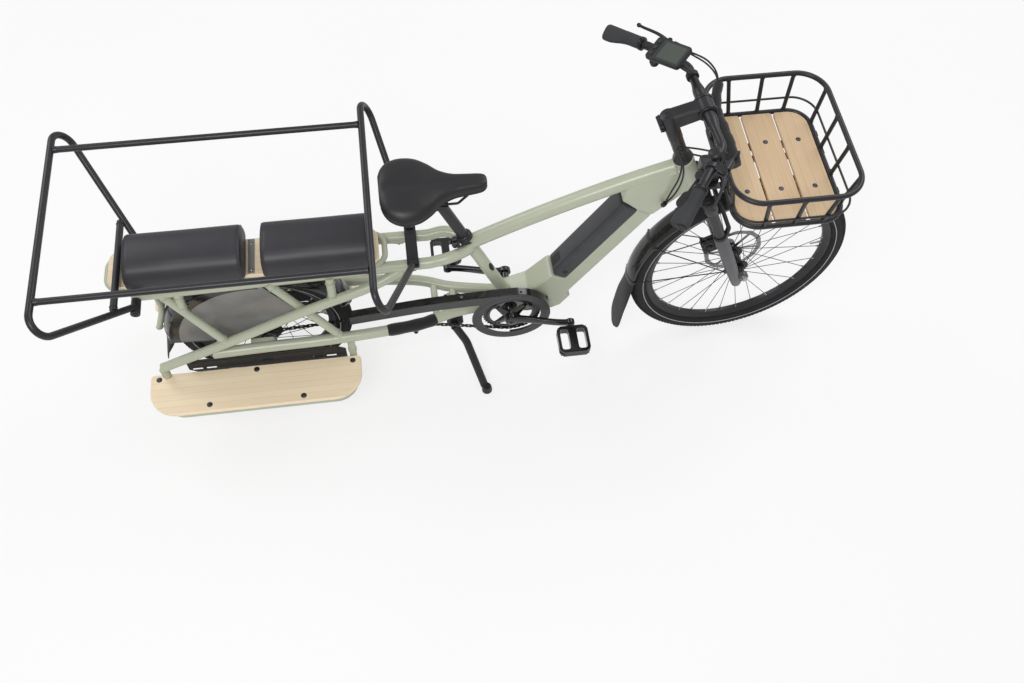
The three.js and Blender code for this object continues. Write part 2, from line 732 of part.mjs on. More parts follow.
function barClamp(centre, half, radius) {
  return bar(centre.clone().addScaledVector(barRun, -half),
    centre.clone().addScaledVector(barRun, half), radius, 10);
}

function brakeMount() {
  const earTop = leverBarrelHalf + seat + earThickness;
  const earRing = (p, up) => ringPoints(raised(p, up), v3(0, 0, 1), leverBarrelRadius + overrun, 8);
  const root = offMount(mountRadius, 0);
  const block = hull([earRing(root, -earTop), earRing(root, earTop), earRing(leverPivot, -earTop),
    earRing(leverPivot, earTop)]);
  const slotHalf = leverBarrelHalf + seat;
  const outward = barAhead.clone().sub(barRun).multiplyScalar(leverOut);
  const slotRings = [-slotHalf, slotHalf].map((up) => earRing(leverPivot, up));
  const slot = hull([...slotRings, ...slotRings.map((ring) => ring.map((p) => p.clone().add(outward)))]);
  const reservoir = bar(offMount(leverAhead, 0), offMount(leverAhead, -reservoirLength),
    mountHalf + overrun, 8);
  const pin = upright(leverPivot, -earTop, earTop, leverPinRadius, 8);
  const podNeck = hull([
    ringPoints(offMount(0, mountHalf - overrun / 2), barRun, mountRadius - overrun / 2, 10),
    ringPoints(offMount(-podBack, podOut, -podTop - overrun), v3(0, 0, 1), mountHalf, 8),
    ringPoints(offMount(-podBack, podOut, overrun - podBottom), v3(0, 0, 1), mountHalf, 8)]);
  const pod = upright(offMount(-podBack, podOut), -podBottom, -podTop, podRadius, 10);
  const podPin = upright(offMount(-podBack, podOut), -podBottom - 2 * paddleThickness, -podTop,
    leverPinRadius, 8);
  const body = cut(join(barClamp(mountCentre, mountHalf, mountRadius), block, podNeck, pod), slot);
  return cut(join(body, reservoir, pin, podPin), barHole(mountCentre, podOut));
}

function brakeLever() {
  const tip = leverPivot.clone().addScaledVector(gripAxis, leverLength * Math.cos(leverSplay))
    .addScaledVector(barAhead, leverLength * Math.sin(leverSplay));
  const barrel = upright(leverPivot, -leverBarrelHalf, leverBarrelHalf, leverBarrelRadius);
  const blade = bar(leverPivot, tip, leverRadius, 8);
  const knob = bar(along(leverPivot, tip, 1 - leverRadius / leverLength),
    along(leverPivot, tip, 1 + leverRadius / leverLength), leverRadius + overrun / 2, 8);
  const hole = upright(leverPivot, -leverBarrelHalf - overrun, leverBarrelHalf + overrun,
    boreFor(leverPinRadius, 8), 8);
  return cut(join(barrel, blade, knob), hole);
}

function shiftPaddle() {
  const pivot = offMount(-podBack, podOut);
  const top = -podBottom - seat;
  const tip = pivot.clone().addScaledVector(gripAxis, paddleReach).addScaledVector(barAhead, -paddleBack);
  tip.z = pivot.z;
  const ring = (p, radius, up) => ringPoints(raised(p, up), v3(0, 0, 1), radius, 10);
  const arm = hull([ring(pivot, leverBarrelRadius + overrun, top),
    ring(pivot, leverBarrelRadius + overrun, top - paddleThickness),
    ring(along(pivot, tip, 3 / 4), leverBarrelRadius, top),
    ring(along(pivot, tip, 3 / 4), leverBarrelRadius, top - paddleThickness)]);
  const blade = hull([ring(tip, paddleHalf, top), ring(tip, paddleHalf, top - paddleThickness),
    ring(along(pivot, tip, 3 / 4), paddleHalf, top),
    ring(along(pivot, tip, 3 / 4), paddleHalf, top - paddleThickness)]);
  const hole = upright(pivot, top - 2 * paddleThickness, top + overrun, boreFor(leverPinRadius, 8), 8);
  return cut(join(arm, blade), hole);
}

sides.forEach(({ side, hand }) => {
  add(steering, `brake_mount_${hand}`, flip(brakeMount(), side), satinBlack);
  add(steering, `brake_lever_${hand}`, flip(brakeLever(), side), satinBlack);
});
add(steering, 'shift_paddle', flip(shiftPaddle(), -1), darkPlastic);

// Bell: a round cap on a clamp inboard of the right brake lever
const bellShare = 0.68;
const bellHalf = 5;
const bellRadius = 17.5;
const bellRise = 24;
function bell() {
  const centre = along(gripStart, barBend, bellShare);
  const dome = join(upright(centre, bellRise - bellHalf, bellRise, bellRadius, 16),
    bar(raised(centre, bellRise - overrun), raised(centre, bellRise + bellHalf), bellRadius - overrun,
      16, bellRadius / 2));
  const post = upright(centre, barRadius, bellRise, bellHalf, 8);
  return cut(join(barClamp(centre, bellHalf, barRadius + bellHalf), post, dome),
    barHole(centre, bellRise / 2));
}
add(steering, 'bell', flip(bell(), -1), satinBlack);

// Display: a flat case over the left half of the bar, with three round buttons near its outer end
const displayLength = 103;
const displayWidth = 68;
const displayThickness = 15;
const displayBevel = 5;
const displayBack = 35;
const displaySpread = 152;
const displayRise = 52;
const displayArmY = 106;
const buttonRadius = 5.5;
const buttonHeight = 5;
const buttonProud = 1.6;
const buttonTravel = 1;
const buttonInset = 11;
const buttonPitch = 19;
const displayTurn = Math.atan2(-barRun.y, -barRun.x);
const displayTop = displayThickness;
const displayCase = new THREE.Group();
displayCase.position.set(barForward - displayBack, displaySpread, barHeight + displayRise);
displayCase.rotation.z = displayTurn;
steering.add(displayCase);
const buttonPlaces = [1, 0, -1].map((row) =>
  v3(displayLength / 2 - buttonInset, row * buttonPitch, displayTop));

function displayShell() {
  const layer = (inset, z) => rectangle(inset - displayLength / 2, displayLength / 2 - inset,
    inset - displayWidth / 2, displayWidth / 2 - inset, z);
  const shell = hull([layer(displayBevel, 0), layer(0, displayBevel), layer(0, displayTop - overrun),
    layer(overrun, displayTop)]);
  const depth = buttonHeight - buttonProud + buttonTravel + seat;
  const pockets = buttonPlaces.map((p) => barZ(p.x, p.y, displayTop - depth, displayTop + overrun,
    boreFor(buttonRadius, 12), 12));
  const back = new THREE.Matrix4().makeRotationZ(-displayTurn);
  const toCase = (p) => p.clone().sub(displayCase.position).applyMatrix4(back);
  const armFoot = v3(barForward, displayArmY, barHeight);
  const reach = v3(0, mountHalf, 0);
  const ring = bar(toCase(armFoot.clone().sub(reach)), toCase(armFoot.clone().add(reach)),
    barRadius + displayBevel, 12);
  const neck = hull([ringPoints(toCase(raised(armFoot, barRadius)), v3(0, 0, 1), mountHalf, 8),
    ringPoints(v3(0, 0, overrun), v3(0, 0, 1), 2 * mountHalf, 8)]);
  const barRoute = rounded([gripStart, barBend, v3(barForward, 0, barHeight)], bendRadius, 3);
  const hole = tube(barRoute.map(toCase), boreFor(barRadius, 10), 10);
  return cut(join(shell, ring, neck), hole, pockets);
}
add(displayCase, 'display', displayShell(), darkPlastic);
buttonPlaces.forEach((p, i) => {
  const foot = displayTop + buttonProud - buttonHeight;
  add(displayCase, `display_button_${i + 1}`,
    barZ(p.x, p.y, foot, foot + buttonHeight, buttonRadius, 12), darkPlastic);
});

// Cables at the bars: a soft sleeve ahead of the stem, leads to both hands and two leads to the frame
const cableRadius = 2.4;
const sleeveRadius = 12;
const cableSplit = 622;
const splitX = -6;
const splitY = -35;
const cablePitch = 7;
const leftReservoir = offMount(leverAhead, -reservoirLength - seat);
const rightReservoir = mirrored(leftReservoir);
const sleeveRoute = [[146, 92, 660], [134, 50, 659], [121, 2, 662], [113, -50, 664], [106, -110, 664],
  [101, -165, 661]];
const leftLeverRoute = [[110, 168, 712], [134, 138, 696], [146, 112, 676], [144, 88, 660]];
const displayRoute = [[92, 150, 754], [112, 142, 742], [138, 126, 716], [149, 106, 686], [142, 84, 661]];
const rightLeverRoute = [[112, -172, 712], [122, -160, 700], [116, -158, 680], [104, -150, 662]];
const firstLeadRoute = [[100, -140, 664], [70, -108, 668], [34, -74, 664], [-2, -40, 652], [-6, -35, 638]];
const secondLeadRoute = [[101, -150, 660], [66, -120, 660], [28, -84, 654], [-4, -46, 646], [-6, -42, 634]];
const firstFrameRoute = [[-8, -36, 570], [-26, -39, 528], [-56, -42, 488]];
const secondFrameRoute = [[-7, -44, 560], [-22, -46, 520], [-50, -47, 480]];
const cordPoints = (route) => route.map((place) => v3(...place));
const splitPlaces = [v3(splitX, splitY, cableSplit), v3(splitX, splitY - cablePitch, cableSplit)];

function cableSleeve() {
  const ends = splitPlaces.map((p) => raised(p, seat));
  const leads = [[leftReservoir, ...cordPoints(leftLeverRoute)], cordPoints(displayRoute),
    [rightReservoir, ...cordPoints(rightLeverRoute)], [...cordPoints(firstLeadRoute), ends[0]],
    [...cordPoints(secondLeadRoute), ends[1]]];
  return join(tube(cordPoints(sleeveRoute), sleeveRadius, 10),
    leads.map((points) => tube(points, cableRadius, 6)));
}
add(steering, 'cable_sleeve', cableSleeve(), neoprene);

const grommetRoute = [[-80, -47, 458], [-84, -46, 452], [-88, -42, 445]];
const straightLead = 22;
function frameCables() {
  const [out, grommet, inlet] = cordPoints(grommetRoute);
  const leads = [firstFrameRoute, secondFrameRoute].map((route, i) => {
    const top = splitPlaces[i].clone().applyAxisAngle(v3(0, 0, 1), steerAngle);
    return tube([top, raised(top, -straightLead), ...cordPoints(route), grommet], cableRadius, 6);
  });
  return join(bar(out, inlet, 2 * cableRadius + overrun, 10), leads);
}
add(tilted, 'frame_cables', frameCables(), rubber);

// Front frame: head tube, top tube, seat tube, and a deep down tube that widens into the crank casting
const crankCentre = v3(crankX, 0, crankZ);
const seatTubeUp = v3(-Math.cos(seatTubeAngle), 0, Math.sin(seatTubeAngle));
const onSeatTube = (s) => crankCentre.clone().addScaledVector(seatTubeUp, s);
const batteryRun = v3(Math.cos(downTubeAngle), 0, Math.sin(downTubeAngle));
const batteryDown = v3(Math.sin(downTubeAngle), 0, -Math.cos(downTubeAngle));
const onBattery = (t, depth) => v3(batteryX, 0, batteryZ).addScaledVector(batteryRun, t)
  .addScaledVector(batteryDown, depth);
const flat = (p) => v2(p.x, p.z);
const topTubeBow = 14;
const topTubeBelow = 39;
const topTubeFoot = seatTubeLength - topTubeBelow;
const topTubeHead = 533;
const gussetHalf = 24;
const batteryEndShare = 1.4;

function frontFrame() {
  const castingShares = [[0.945, 1], [1, 0.51], [0.85, -0.59], [0.71, -0.9], [0.3, -1],
    [0.03, -0.76], [-0.11, 0], [-0.11, 0.88], [0.3, 1.61]];
  const casting = castingShares.map(([x, z]) => v2(crankX + x * castingReach, crankZ + z * castingDrop));
  const bedFrom = batteryFrom - seat;
  const bedTo = batteryTo + seat;
  const bedDepth = batteryDepth + seat;
  const bed = [onBattery(bedFrom, 0), onBattery(bedFrom, bedDepth), onBattery(bedTo + overrun, bedDepth),
    onBattery(bedTo + overrun, downTubeDepth)].map(flat);
  const lower = plate([...casting, ...bed], -downTubeHalf, downTubeHalf);
  const shell = barY(crankX, crankZ, -downTubeHalf, downTubeHalf, shellRadius, 16);
  const gussetTop = onBattery(bedTo + batteryDepth, -topTubeRadius);
  const gusset = hull([pair(onBattery(bedTo, bedDepth), downTubeHalf),
    pair(onBattery(bedTo, downTubeDepth), downTubeHalf), pair(onBattery(bedTo, 0), gussetHalf),
    pair(gussetTop, topTubeRadius - overrun),
    pair(onAxis(headTubeBottom + headBoreRadius), gussetHalf),
    pair(onAxis(headTubeTop - headBoreRadius), gussetHalf)]);
  const headTube = bar(onAxis(headTubeBottom), onAxis(headTubeTop), headTubeRadius, 20);
  const foot = onSeatTube(topTubeFoot);
  const head = onAxis(topTubeHead);
  const bow = v3(0, 0, topTubeBow);
  const shares = [0.04, 0.2, 0.4, 0.6, 0.8];
  const route = shares.map((s) => along(foot, head, s).addScaledVector(bow, 4 * s * (1 - s)));
  const topTube = tube([foot, ...route, along(foot, head, 1 - seat / headTubeRadius)], topTubeRadius, 12);
  const seatTube = bar(crankCentre, onSeatTube(seatTubeLength), seatTubeRadius, 16);
  const headBore = bar(onAxis(headTubeBottom - overrun), onAxis(headTubeTop + overrun), headBoreRadius, 20);
  const postBore = bar(onSeatTube(seatTubeLength - postInserted - postDrop - postRadius),
    onSeatTube(seatTubeLength + overrun), boreFor(postRadius, 16), 16);
  const crankBore = barY(crankX, crankZ, -downTubeHalf - overrun, downTubeHalf + overrun,
    boreFor(crankAxleRadius, 16), 16);
  return cut(join(lower, shell, gusset, headTube, topTube, seatTube), headBore, postBore, crankBore);
}
add(bike, 'front_frame', frontFrame(), sage);

function battery() {
  const end = batteryBevel * batteryEndShare;
  const rows = [[0, end, batteryHalf - batteryBevel], [batteryBevel, 0, batteryHalf],
    [batteryDepth, 0, batteryHalf]];
  return hull(rows.flatMap(([depth, inset, half]) =>
    [pair(onBattery(batteryFrom + inset, depth), half), pair(onBattery(batteryTo - inset, depth), half)]));
}
add(bike, 'battery', battery(), batteryGrey);

// Rear frame. Places on it are shares of the wheelbase, of the tail's half width and of the rack's height.
const tailHalf = 110;
const tailPlace = ([x, y, z]) => v3(-x * wheelbase, y * tailHalf, z * rackZ);
const rackShares = [[0.574, 0.182, 1.013], [0.611, 0.409, 1.022], [0.648, 0.427, 1], [1.208, 0.564, 1]];
const stayShares = [[0.508, 0.236, 0.499], [0.539, 0.273, 0.499], [0.611, 0.427, 0.51],
  [0.687, 0.727, 0.518], [0.845, 0.909, 0.523], [1, 0.964, 0.527], [1.099, 1, 0.527]];
const diagonalShares = [[0.697, 0.455, 0.98], [0.768, 0.727, 0.924], [0.909, 0.909, 0.806],
  [1.063, 1, 0.619], [1.206, 1.091, 0.462]];
const strutShares = [[[0.958, 0.591, 0.998], [0.842, 0.891, 0.536]],
  [[1.158, 0.591, 0.998], [1.063, 1, 0.619]], [[0.842, 0.582, 0.998], [0.842, 0.836, 0.865]],
  [[1.127, 0.582, 0.998], [1.126, 0.727, 0.869]]];
const stubShares = [[1.197, 0, 1], [1.186, 0, 0.734], [1.209, 0, 0.527]];
const bridgeShares = [[0.644, 0.52, 0.514], [0.606, 0.42, 0.509]];
const stubRadius = 9;
const bridgeRadius = 10;
const dropoutFore = 25;
const tailDropInner = 74;
const tailDropOuter = 98;
const tailDropUp = 34;
const tailDropDown = 20;
const standX = -861;
const standZ = 185;
const standAxleRadius = 8;
const standBossRadius = 15;
const standBossHalf = 26;
const standWebHalf = 14;
const idlerArmHalf = 8;
const idlerArmInner = 72;
const idlerAxleRadius = 4;
const loopSink = 3;
const loopCornerShare = 2.4;
const loopZ = rackZ + rackRadius + loopRadius - loopSink;
const rearCaliperInner = 49;
const rearCaliperOuter = 102;
const rearCaliperBack = 62;
const rearCaliperLength = 46;
const rearCaliperRise = 38;

function rearFrame() {
  const mirrorRoute = (route) => [route, route.map(mirrored)];
  const tubes = (shares, radius, count) => mirrorRoute(shares.map(tailPlace)).map((route) =>
    tube(route, radius, count));
  const struts = strutShares.flatMap((ends) => mirrorRoute(ends.map(tailPlace)))
    .map(([from, to]) => bar(from, to, strutRadius, 8));
  const bridges = bridgeShares.map(tailPlace).map((p) => bar(p, mirrored(p), bridgeRadius, 8));
  const rearCross = tailPlace(rackShares[3]).add(v3(rackRadius, 0, 0));
  const cross = bar(rearCross, mirrored(rearCross), bridgeRadius, 8);
  const stub = tube(stubShares.map(tailPlace), stubRadius, 8);
  const loop = ringTube(roundedLoop(rectangle(loopRearX + loopRadius, loopFrontX - loopRadius,
    -loopHalf, loopHalf, loopZ), rackRadius * loopCornerShare), loopRadius, 6);
  const dropouts = [-1, 1].map((side) => box(-wheelbase - dropoutFore, -wheelbase + dropoutFore,
    side * tailDropInner, side * tailDropOuter, rearRadius - tailDropDown, rearRadius + tailDropUp));
  const axle = barY(-wheelbase, rearRadius, -tailDropOuter - overrun, tailDropOuter + overrun,
    axleRadius, 12);
  const boss = barY(standX, standZ, -standBossHalf, standBossHalf, standBossRadius, 12);
  const web = box(standX - standWebHalf, standX + standWebHalf,
    -standBossHalf + overrun, standBossHalf - overrun,
    standZ + standAxleRadius + overrun, tailPlace(bridgeShares[1]).z);
  const arm = box(idlerX - idlerArmHalf, idlerX + idlerArmHalf, -idlerArmInner,
    -idlerArmInner - idlerArmHalf, idlerZ - idlerArmHalf, tailPlace(stayShares[3]).z);
  const idlerAxle = barY(idlerX, idlerZ, -chainLine + chainHalfWidth + overrun,
    -idlerArmInner - overrun, idlerAxleRadius, 8);
  const caliperX = -wheelbase - rearCaliperBack;
  const caliper = box(caliperX - rearCaliperLength, caliperX, rearCaliperInner, rearCaliperOuter,
    rearRadius + overrun, rearRadius + rearCaliperRise);
  const slotHalf = discThickness + seat;
  const slot = washer(spokeRadius, rearDiscRadius + 2 * overrun, rearDiscY - slotHalf, rearDiscY + slotHalf,
    -wheelbase, rearRadius, 16);
  const body = join(tubes(rackShares, rackRadius, 8), tubes(stayShares, stayRadius, 8),
    tubes(diagonalShares, diagonalRadius, 8), struts, bridges, cross, stub, loop, dropouts, axle, boss,
    web, arm, idlerAxle, caliper);
  const standBore = barY(standX, standZ, -standBossHalf - overrun, standBossHalf + overrun,
    boreFor(standAxleRadius, 12), 12);
  const seatTubeSeat = bar(onSeatTube(0), onSeatTube(seatTubeLength), boreFor(seatTubeRadius, 16), 16);
  const topTubeSeat = bar(onSeatTube(topTubeFoot),
    along(onSeatTube(topTubeFoot), onAxis(topTubeHead), 1 / 4).add(v3(0, 0, topTubeBow)),
    boreFor(topTubeRadius, 12), 12);
  const shellSeat = barY(crankX, crankZ, -downTubeHalf - seat, downTubeHalf + seat,
    boreFor(shellRadius, 16), 16);
  return cut(body, standBore, seatTubeSeat, topTubeSeat, shellSeat, slot);
}
add(bike, 'rear_frame', rearFrame(), sage);

// Rack deck, and two cushions with a crowned top and sides drawn in between their corners
const deckBottom = loopZ + loopRadius + seat;
const deckTop = deckBottom + deckThickness;
const deckFrontX = -1055;
const deckRearX = -1770;
const deckCorner = 30;

function roundedSlab(xFrom, xTo, yFrom, yTo, corner, zFrom, zTo, arcSteps = 4) {
  const outline = roundedLoop(rectangle(xFrom, xTo, yFrom, yTo, 0), corner, arcSteps);
  return slab(outline.map((p) => v2(p.x, p.y)), zFrom, zTo);
}
add(bike, 'rack_deck', roundedSlab(deckRearX, deckFrontX, -deckHalf, deckHalf, deckCorner, deckBottom,
  deckTop), bamboo);

const cushionFrontX = [-1070, -1405];
const cushionRearX = [-1365, -1720];
const cushionSectionShares = [[0, 1], [0.5, 0.985], [0.78, 0.91], [0.93, 0.72], [1, 0.42],
  [0.98, 0.14], [0.9, 0]];
const cushionStationShares = [[0, 0.87, 0.6], [0.012, 0.95, 0.84], [0.04, 0.99, 0.95], [0.14, 1, 0.99],
  [0.5, 0.965, 1], [0.86, 1, 0.99], [0.96, 0.99, 0.95], [0.988, 0.95, 0.84], [1, 0.87, 0.6]];

const bothSides = (shares) => [...shares,
  ...shares.slice().reverse().filter(([y]) => y > 0).map(([y, z]) => [-y, z])];

function cushion(rearX, frontX) {
  const section = bothSides(cushionSectionShares);
  const rings = cushionStationShares.map(([x, width, height]) => section.map(([y, z]) =>
    v3(rearX + x * (frontX - rearX), y * width * cushionHalf,
      deckTop + seat + z * height * cushionHeight)));
  return loft(rings, section.map(([y, z]) => v2(y, z)));
}
['front', 'rear'].forEach((place, i) =>
  add(bike, `cushion_${place}`, cushion(cushionRearX[i], cushionFrontX[i]), vinyl));

// Guard rail: a hoop at each end of the cushions and a straight rail along each side
const hoopBend = 40;
const frontHoopHalf = 405;
const frontFootX = -967;
const frontFootHalf = 60;
const frontPlateFore = 20;
const frontPlateHalf = 72;
const frontPlateThickness = 8;
const rearHoopHalf = 352;
const rearFootX = -1704;
const rearFootHalf = 104;
const rearFootZ = 550;
const rearClampRadius = 13;
const rearClampHalf = 124;
const rearBarX = -1741;
const rearBarHalf = 144;
const rearBarZ = 600;
const plateBottom = rackZ + rackRadius * flatShare + seat;

function hoopFront() {
  const footZ = plateBottom + frontPlateThickness / 2;
  const foot = v3(frontFootX, frontFootHalf, footZ);
  const corner = v3(railFrontX, frontHoopHalf, railZ);
  const hoop = tube(rounded([foot, corner, mirrored(corner), mirrored(foot)], hoopBend, 6), hoopRadius, 8);
  const base = box(frontFootX - frontPlateFore, frontFootX + frontPlateFore,
    -frontPlateHalf, frontPlateHalf, plateBottom, plateBottom + frontPlateThickness);
  const under = box(frontFootX - 2 * frontPlateFore, frontFootX + 2 * frontPlateFore,
    -frontPlateHalf, frontPlateHalf, rackZ, plateBottom);
  return cut(join(hoop, base), under);
}
add(bike, 'rail_hoop_front', hoopFront(), satinBlack);

function hoopRear() {
  const foot = v3(rearFootX, rearFootHalf, rearFootZ);
  const corner = v3(railRearX, rearHoopHalf, railZ);
  const hoop = tube(rounded([foot, corner, mirrored(corner), mirrored(foot)], hoopBend, 6), hoopRadius, 8);
  const lower = v3(rearBarX, rearBarHalf, rearBarZ);
  const lowerBar = bar(lower, mirrored(lower), hoopRadius, 8);
  const rackSide = tailPlace(rackShares[3]).y + rackRadius * flatShare + seat;
  const clamps = [-1, 1].map((side) => barY(rearFootX, rearFootZ - railRadius,
    side * rackSide, side * rearClampHalf, rearClampRadius, 12));
  return join(hoop, lowerBar, clamps);
}
add(bike, 'rail_hoop_rear', hoopRear(), satinBlack);

sides.forEach(({ side, hand }) => {
  const clear = hoopRadius + seat;
  const rail = bar(v3(railRearX + clear, side * railHalf, railZ),
    v3(railFrontX - clear, side * railHalf, railZ), railRadius, 10);
  add(bike, `rail_side_${hand}`, rail, satinBlack);
});

// Rear mudguard, and a smoked cover on each side of it that keeps clothes out of the spokes
const rearGuardGap = 22;
const rearGuardRadius = rearRadius + rearGuardGap;
const rearGuardHalf = 45;
const rearGuardLip = 24;
const rearGuardFrom = THREE.MathUtils.degToRad(18);
const rearGuardTo = THREE.MathUtils.degToRad(178);
const rearFlapReach = 303;
const rearFlapDrop = 82;
const coverInset = 14;
const coverRadius = rearGuardRadius - coverInset;
const coverThickness = 3;
const coverFrom = THREE.MathUtils.degToRad(84);
const coverTo = THREE.MathUtils.degToRad(178);
const coverEdgeShares = [[-0.41, -0.03], [-0.04, 0.13], [0.45, 0.4]];

function rearMudguard() {
  const centre = v3(-wheelbase, 0, rearRadius);
  const flapEnd = v3(-wheelbase - rearFlapReach, 0, rearRadius - rearFlapDrop);
  const skin = mudguard(centre, rearGuardRadius, rearGuardFrom, rearGuardTo, 15, flapEnd, rearGuardHalf,
    rearGuardLip);
  const hanger = box(-wheelbase - mountHalf, -wheelbase + mountHalf, -mountHalf, mountHalf,
    rearRadius + rearGuardRadius + overrun / 2, deckBottom - seat);
  return join(skin, hanger);
}
add(bike, 'rear_mudguard', rearMudguard(), glossBlack);

function wheelCover(side) {
  const steps = 7;
  const outline = [];
  for (let i = 0; i <= steps; i += 1) {
    const angle = coverFrom + ((coverTo - coverFrom) * i) / steps;
    outline.push(v2(coverRadius * Math.cos(angle), coverRadius * Math.sin(angle)));
  }
  outline.push(...coverEdgeShares.map(([x, z]) => v2(x * coverRadius, z * coverRadius)));
  const inner = rearGuardHalf + seat;
  return plate(outline, side * inner, side * (inner + coverThickness)).translate(-wheelbase, 0, rearRadius);
}
sides.forEach(({ side, hand }) => add(bike, `wheel_cover_${hand}`, wheelCover(side), smoked));

// Heel guards beside the rear axle, each hung on its chainstay by two tabs
const heelFrontX = -1190;
const heelRearX = -1650;
const heelTop = 250;
const heelBottom = 160;
const heelInner = 104;
const heelThickness = 3;
const heelTabHalf = 10;
const heelSlotHalf = 16;
const heelTabShares = [0.15, 0.68];

function heelGuard(side) {
  const length = heelFrontX - heelRearX;
  const height = heelTop - heelBottom;
  const outlineShares = [[0, 0.25], [0.12, 0], [0.88, 0], [1, 0.45], [1, 1], [0.06, 1], [0, 0.8]];
  const outline = outlineShares.map(([x, z]) => v2(heelFrontX - x * length, heelBottom + z * height));
  const slotX = -wheelbase;
  const slotZ = heelTop - 2 * heelSlotHalf;
  const slot = [v2(slotX - heelSlotHalf, slotZ - heelSlotHalf / 2),
    v2(slotX + heelSlotHalf, slotZ - heelSlotHalf / 2),
    v2(slotX + heelSlotHalf, slotZ + heelSlotHalf / 2),
    v2(slotX - heelSlotHalf, slotZ + heelSlotHalf / 2)];
  const tabTop = tailPlace(stayShares[4]).z - stayRadius * flatShare - seat;
  const tabs = heelTabShares.map((x) => {
    const centre = heelFrontX - x * length;
    return box(centre - heelTabHalf, centre + heelTabHalf,
      side * heelInner, side * (heelInner + heelThickness), heelTop - overrun, tabTop);
  });
  return join(plate(outline, side * heelInner, side * (heelInner + heelThickness), [slot]), tabs);
}
sides.forEach(({ side, hand }) => add(bike, `heel_guard_${hand}`, heelGuard(side), satinBlack));

// Footboards: a plank on a bent tube that hangs from the chainstay and from the diagonal's tail
const boardFrontX = -1150;
const boardRearX = -1760;
const boardInner = 114;
const boardOuter = 250;
const boardTop = 200;
const boardThickness = 12;
const boardCorner = 80;
const boardInnerCorner = 12;
const boardTubeRadius = 11;
const boardTubeOuter = 238;
const boardTubeFrontX = -1172;
const boardTubeRearX = -1712;
const boardTubeBend = 55;
const notchHalf = 13.5;
const boltRadius = 6;
const boltHeight = 1.5;
const boltShares = [[0.04, 0.12], [0.5, 0.1], [0.96, 0.12], [0.28, 0.86], [0.72, 0.84]];

function footboard(side) {
  const bottom = boardTop - boardThickness;
  const corners = rectangle(boardRearX, boardFrontX, side * boardInner, side * boardOuter, 0);
  const inner = [cornerArc(corners[3], corners[0], corners[1], boardInnerCorner, 2),
    cornerArc(corners[0], corners[1], corners[2], boardInnerCorner, 2)];
  const outer = [cornerArc(corners[1], corners[2], corners[3], boardCorner, 5),
    cornerArc(corners[2], corners[3], corners[0], boardCorner, 5)];
  const outline = [...inner.flat(), ...outer.flat()].map((p) => v2(p.x, p.y));
  const bolts = boltShares.map(([x, y]) => {
    const boltX = boardFrontX + x * (boardRearX - boardFrontX);
    const boltY = side * (boardInner + y * (boardOuter - boardInner));
    return barZ(boltX, boltY, boardTop - boltHeight, boardTop + boltHeight, boltRadius, 6);
  });
  const notches = [[boardTubeRearX, tailPlace(diagonalShares[4]).y],
    [boardTubeFrontX, tailPlace(stayShares[4]).y]].map(([x, y]) => box(x - notchHalf, x + notchHalf,
    side * (boardInner - overrun), side * (Math.abs(y) + notchHalf + boardTubeRadius),
    bottom - overrun, boardTop + overrun));
  return join(cut(slab(outline, bottom, boardTop), notches), bolts);
}

function footboardTube(side) {
  const z = boardTop - boardThickness - boardTubeRadius * flatShare - seat;
  const tail = tailPlace(diagonalShares[4]);
  const stay = tailPlace(stayShares[4]);
  const rearTop = v3(boardTubeRearX, tail.y, tail.z);
  const frontTop = v3(boardTubeFrontX, stay.y, stay.z);
  const rearOut = v3(boardTubeRearX, boardTubeOuter, z);
  const frontOut = v3(boardTubeFrontX, boardTubeOuter, z);
  const arms = [tube(rounded([rearTop, v3(rearTop.x, rearTop.y, z),
    along(v3(rearTop.x, rearTop.y, z), rearOut, 1 / 2)], 2 * boardTubeRadius, 3), boardTubeRadius, 8),
  tube(rounded([frontTop, v3(frontTop.x, frontTop.y, z),
    along(v3(frontTop.x, frontTop.y, z), frontOut, 1 / 2)], 2 * boardTubeRadius, 3), boardTubeRadius, 8)];
  const outer = tube(rounded([along(v3(rearTop.x, rearTop.y, z), rearOut, 1 / 4), rearOut, frontOut,
    along(v3(frontTop.x, frontTop.y, z), frontOut, 1 / 4)], boardTubeBend, 4), boardTubeRadius, 8);
  const diagonal = diagonalShares.slice(3).map(tailPlace);
  const beyond = diagonal[1].clone().addScaledVector(diagonal[1].clone().sub(diagonal[0]).normalize(),
    2 * boardTubeRadius);
  const saddles = [bar(diagonal[0], beyond, boreFor(diagonalRadius, 12), 12),
    bar(tailPlace(stayShares[3]), stay, boreFor(stayRadius, 12), 12)];
  return flip(cut(join(arms, outer), saddles), side);
}
sides.forEach(({ side, hand }) => {
  add(bike, `footboard_${hand}`, footboard(side), bamboo);
  add(bike, `footrest_tube_${hand}`, footboardTube(side), sage);
});

// Kickstand: two legs on one cross axle, with flat-bottomed feet
const standLegHalf = 40;
const standFootX = -779;
const standFootY = 172;
const standLegRadius = 10;
const standFootRadius = 16;
const standFootHeight = 26;

function kickstand() {
  const legs = [-1, 1].flatMap((side) => {
    const knee = v3(standX, side * standLegHalf, standZ);
    const ankle = along(knee, v3(standFootX, side * standFootY, 0), 1 - standFootHeight / 2 / standZ);
    return [bar(knee, ankle, standLegRadius, 10),
      barZ(standFootX, side * standFootY, 0, standFootHeight, standFootRadius, 12, standLegRadius)];
  });
  const axle = barY(standX, standZ, -standLegHalf, standLegHalf, standAxleRadius, 12);
  return join(axle, legs);
}
add(bike, 'kickstand', kickstand(), satinBlack);

// Drive: the chain is a belt round the chainring and the cog, carried over the idler on its lower run
const chainWheels = [{ x: crankX, z: crankZ, radius: chainringRadius, turn: 1 },
  { x: -wheelbase, z: rearRadius, radius: cogRadius, turn: 1 },
  { x: idlerX, z: idlerZ, radius: idlerRadius, turn: -1 }];
const arcStep = Math.PI / 15;

function beltAngle(from, to) {
  const run = v2(to.x - from.x, to.z - from.z);
  return run.angle() + Math.asin((from.turn * from.radius - to.turn * to.radius) / run.length());
}

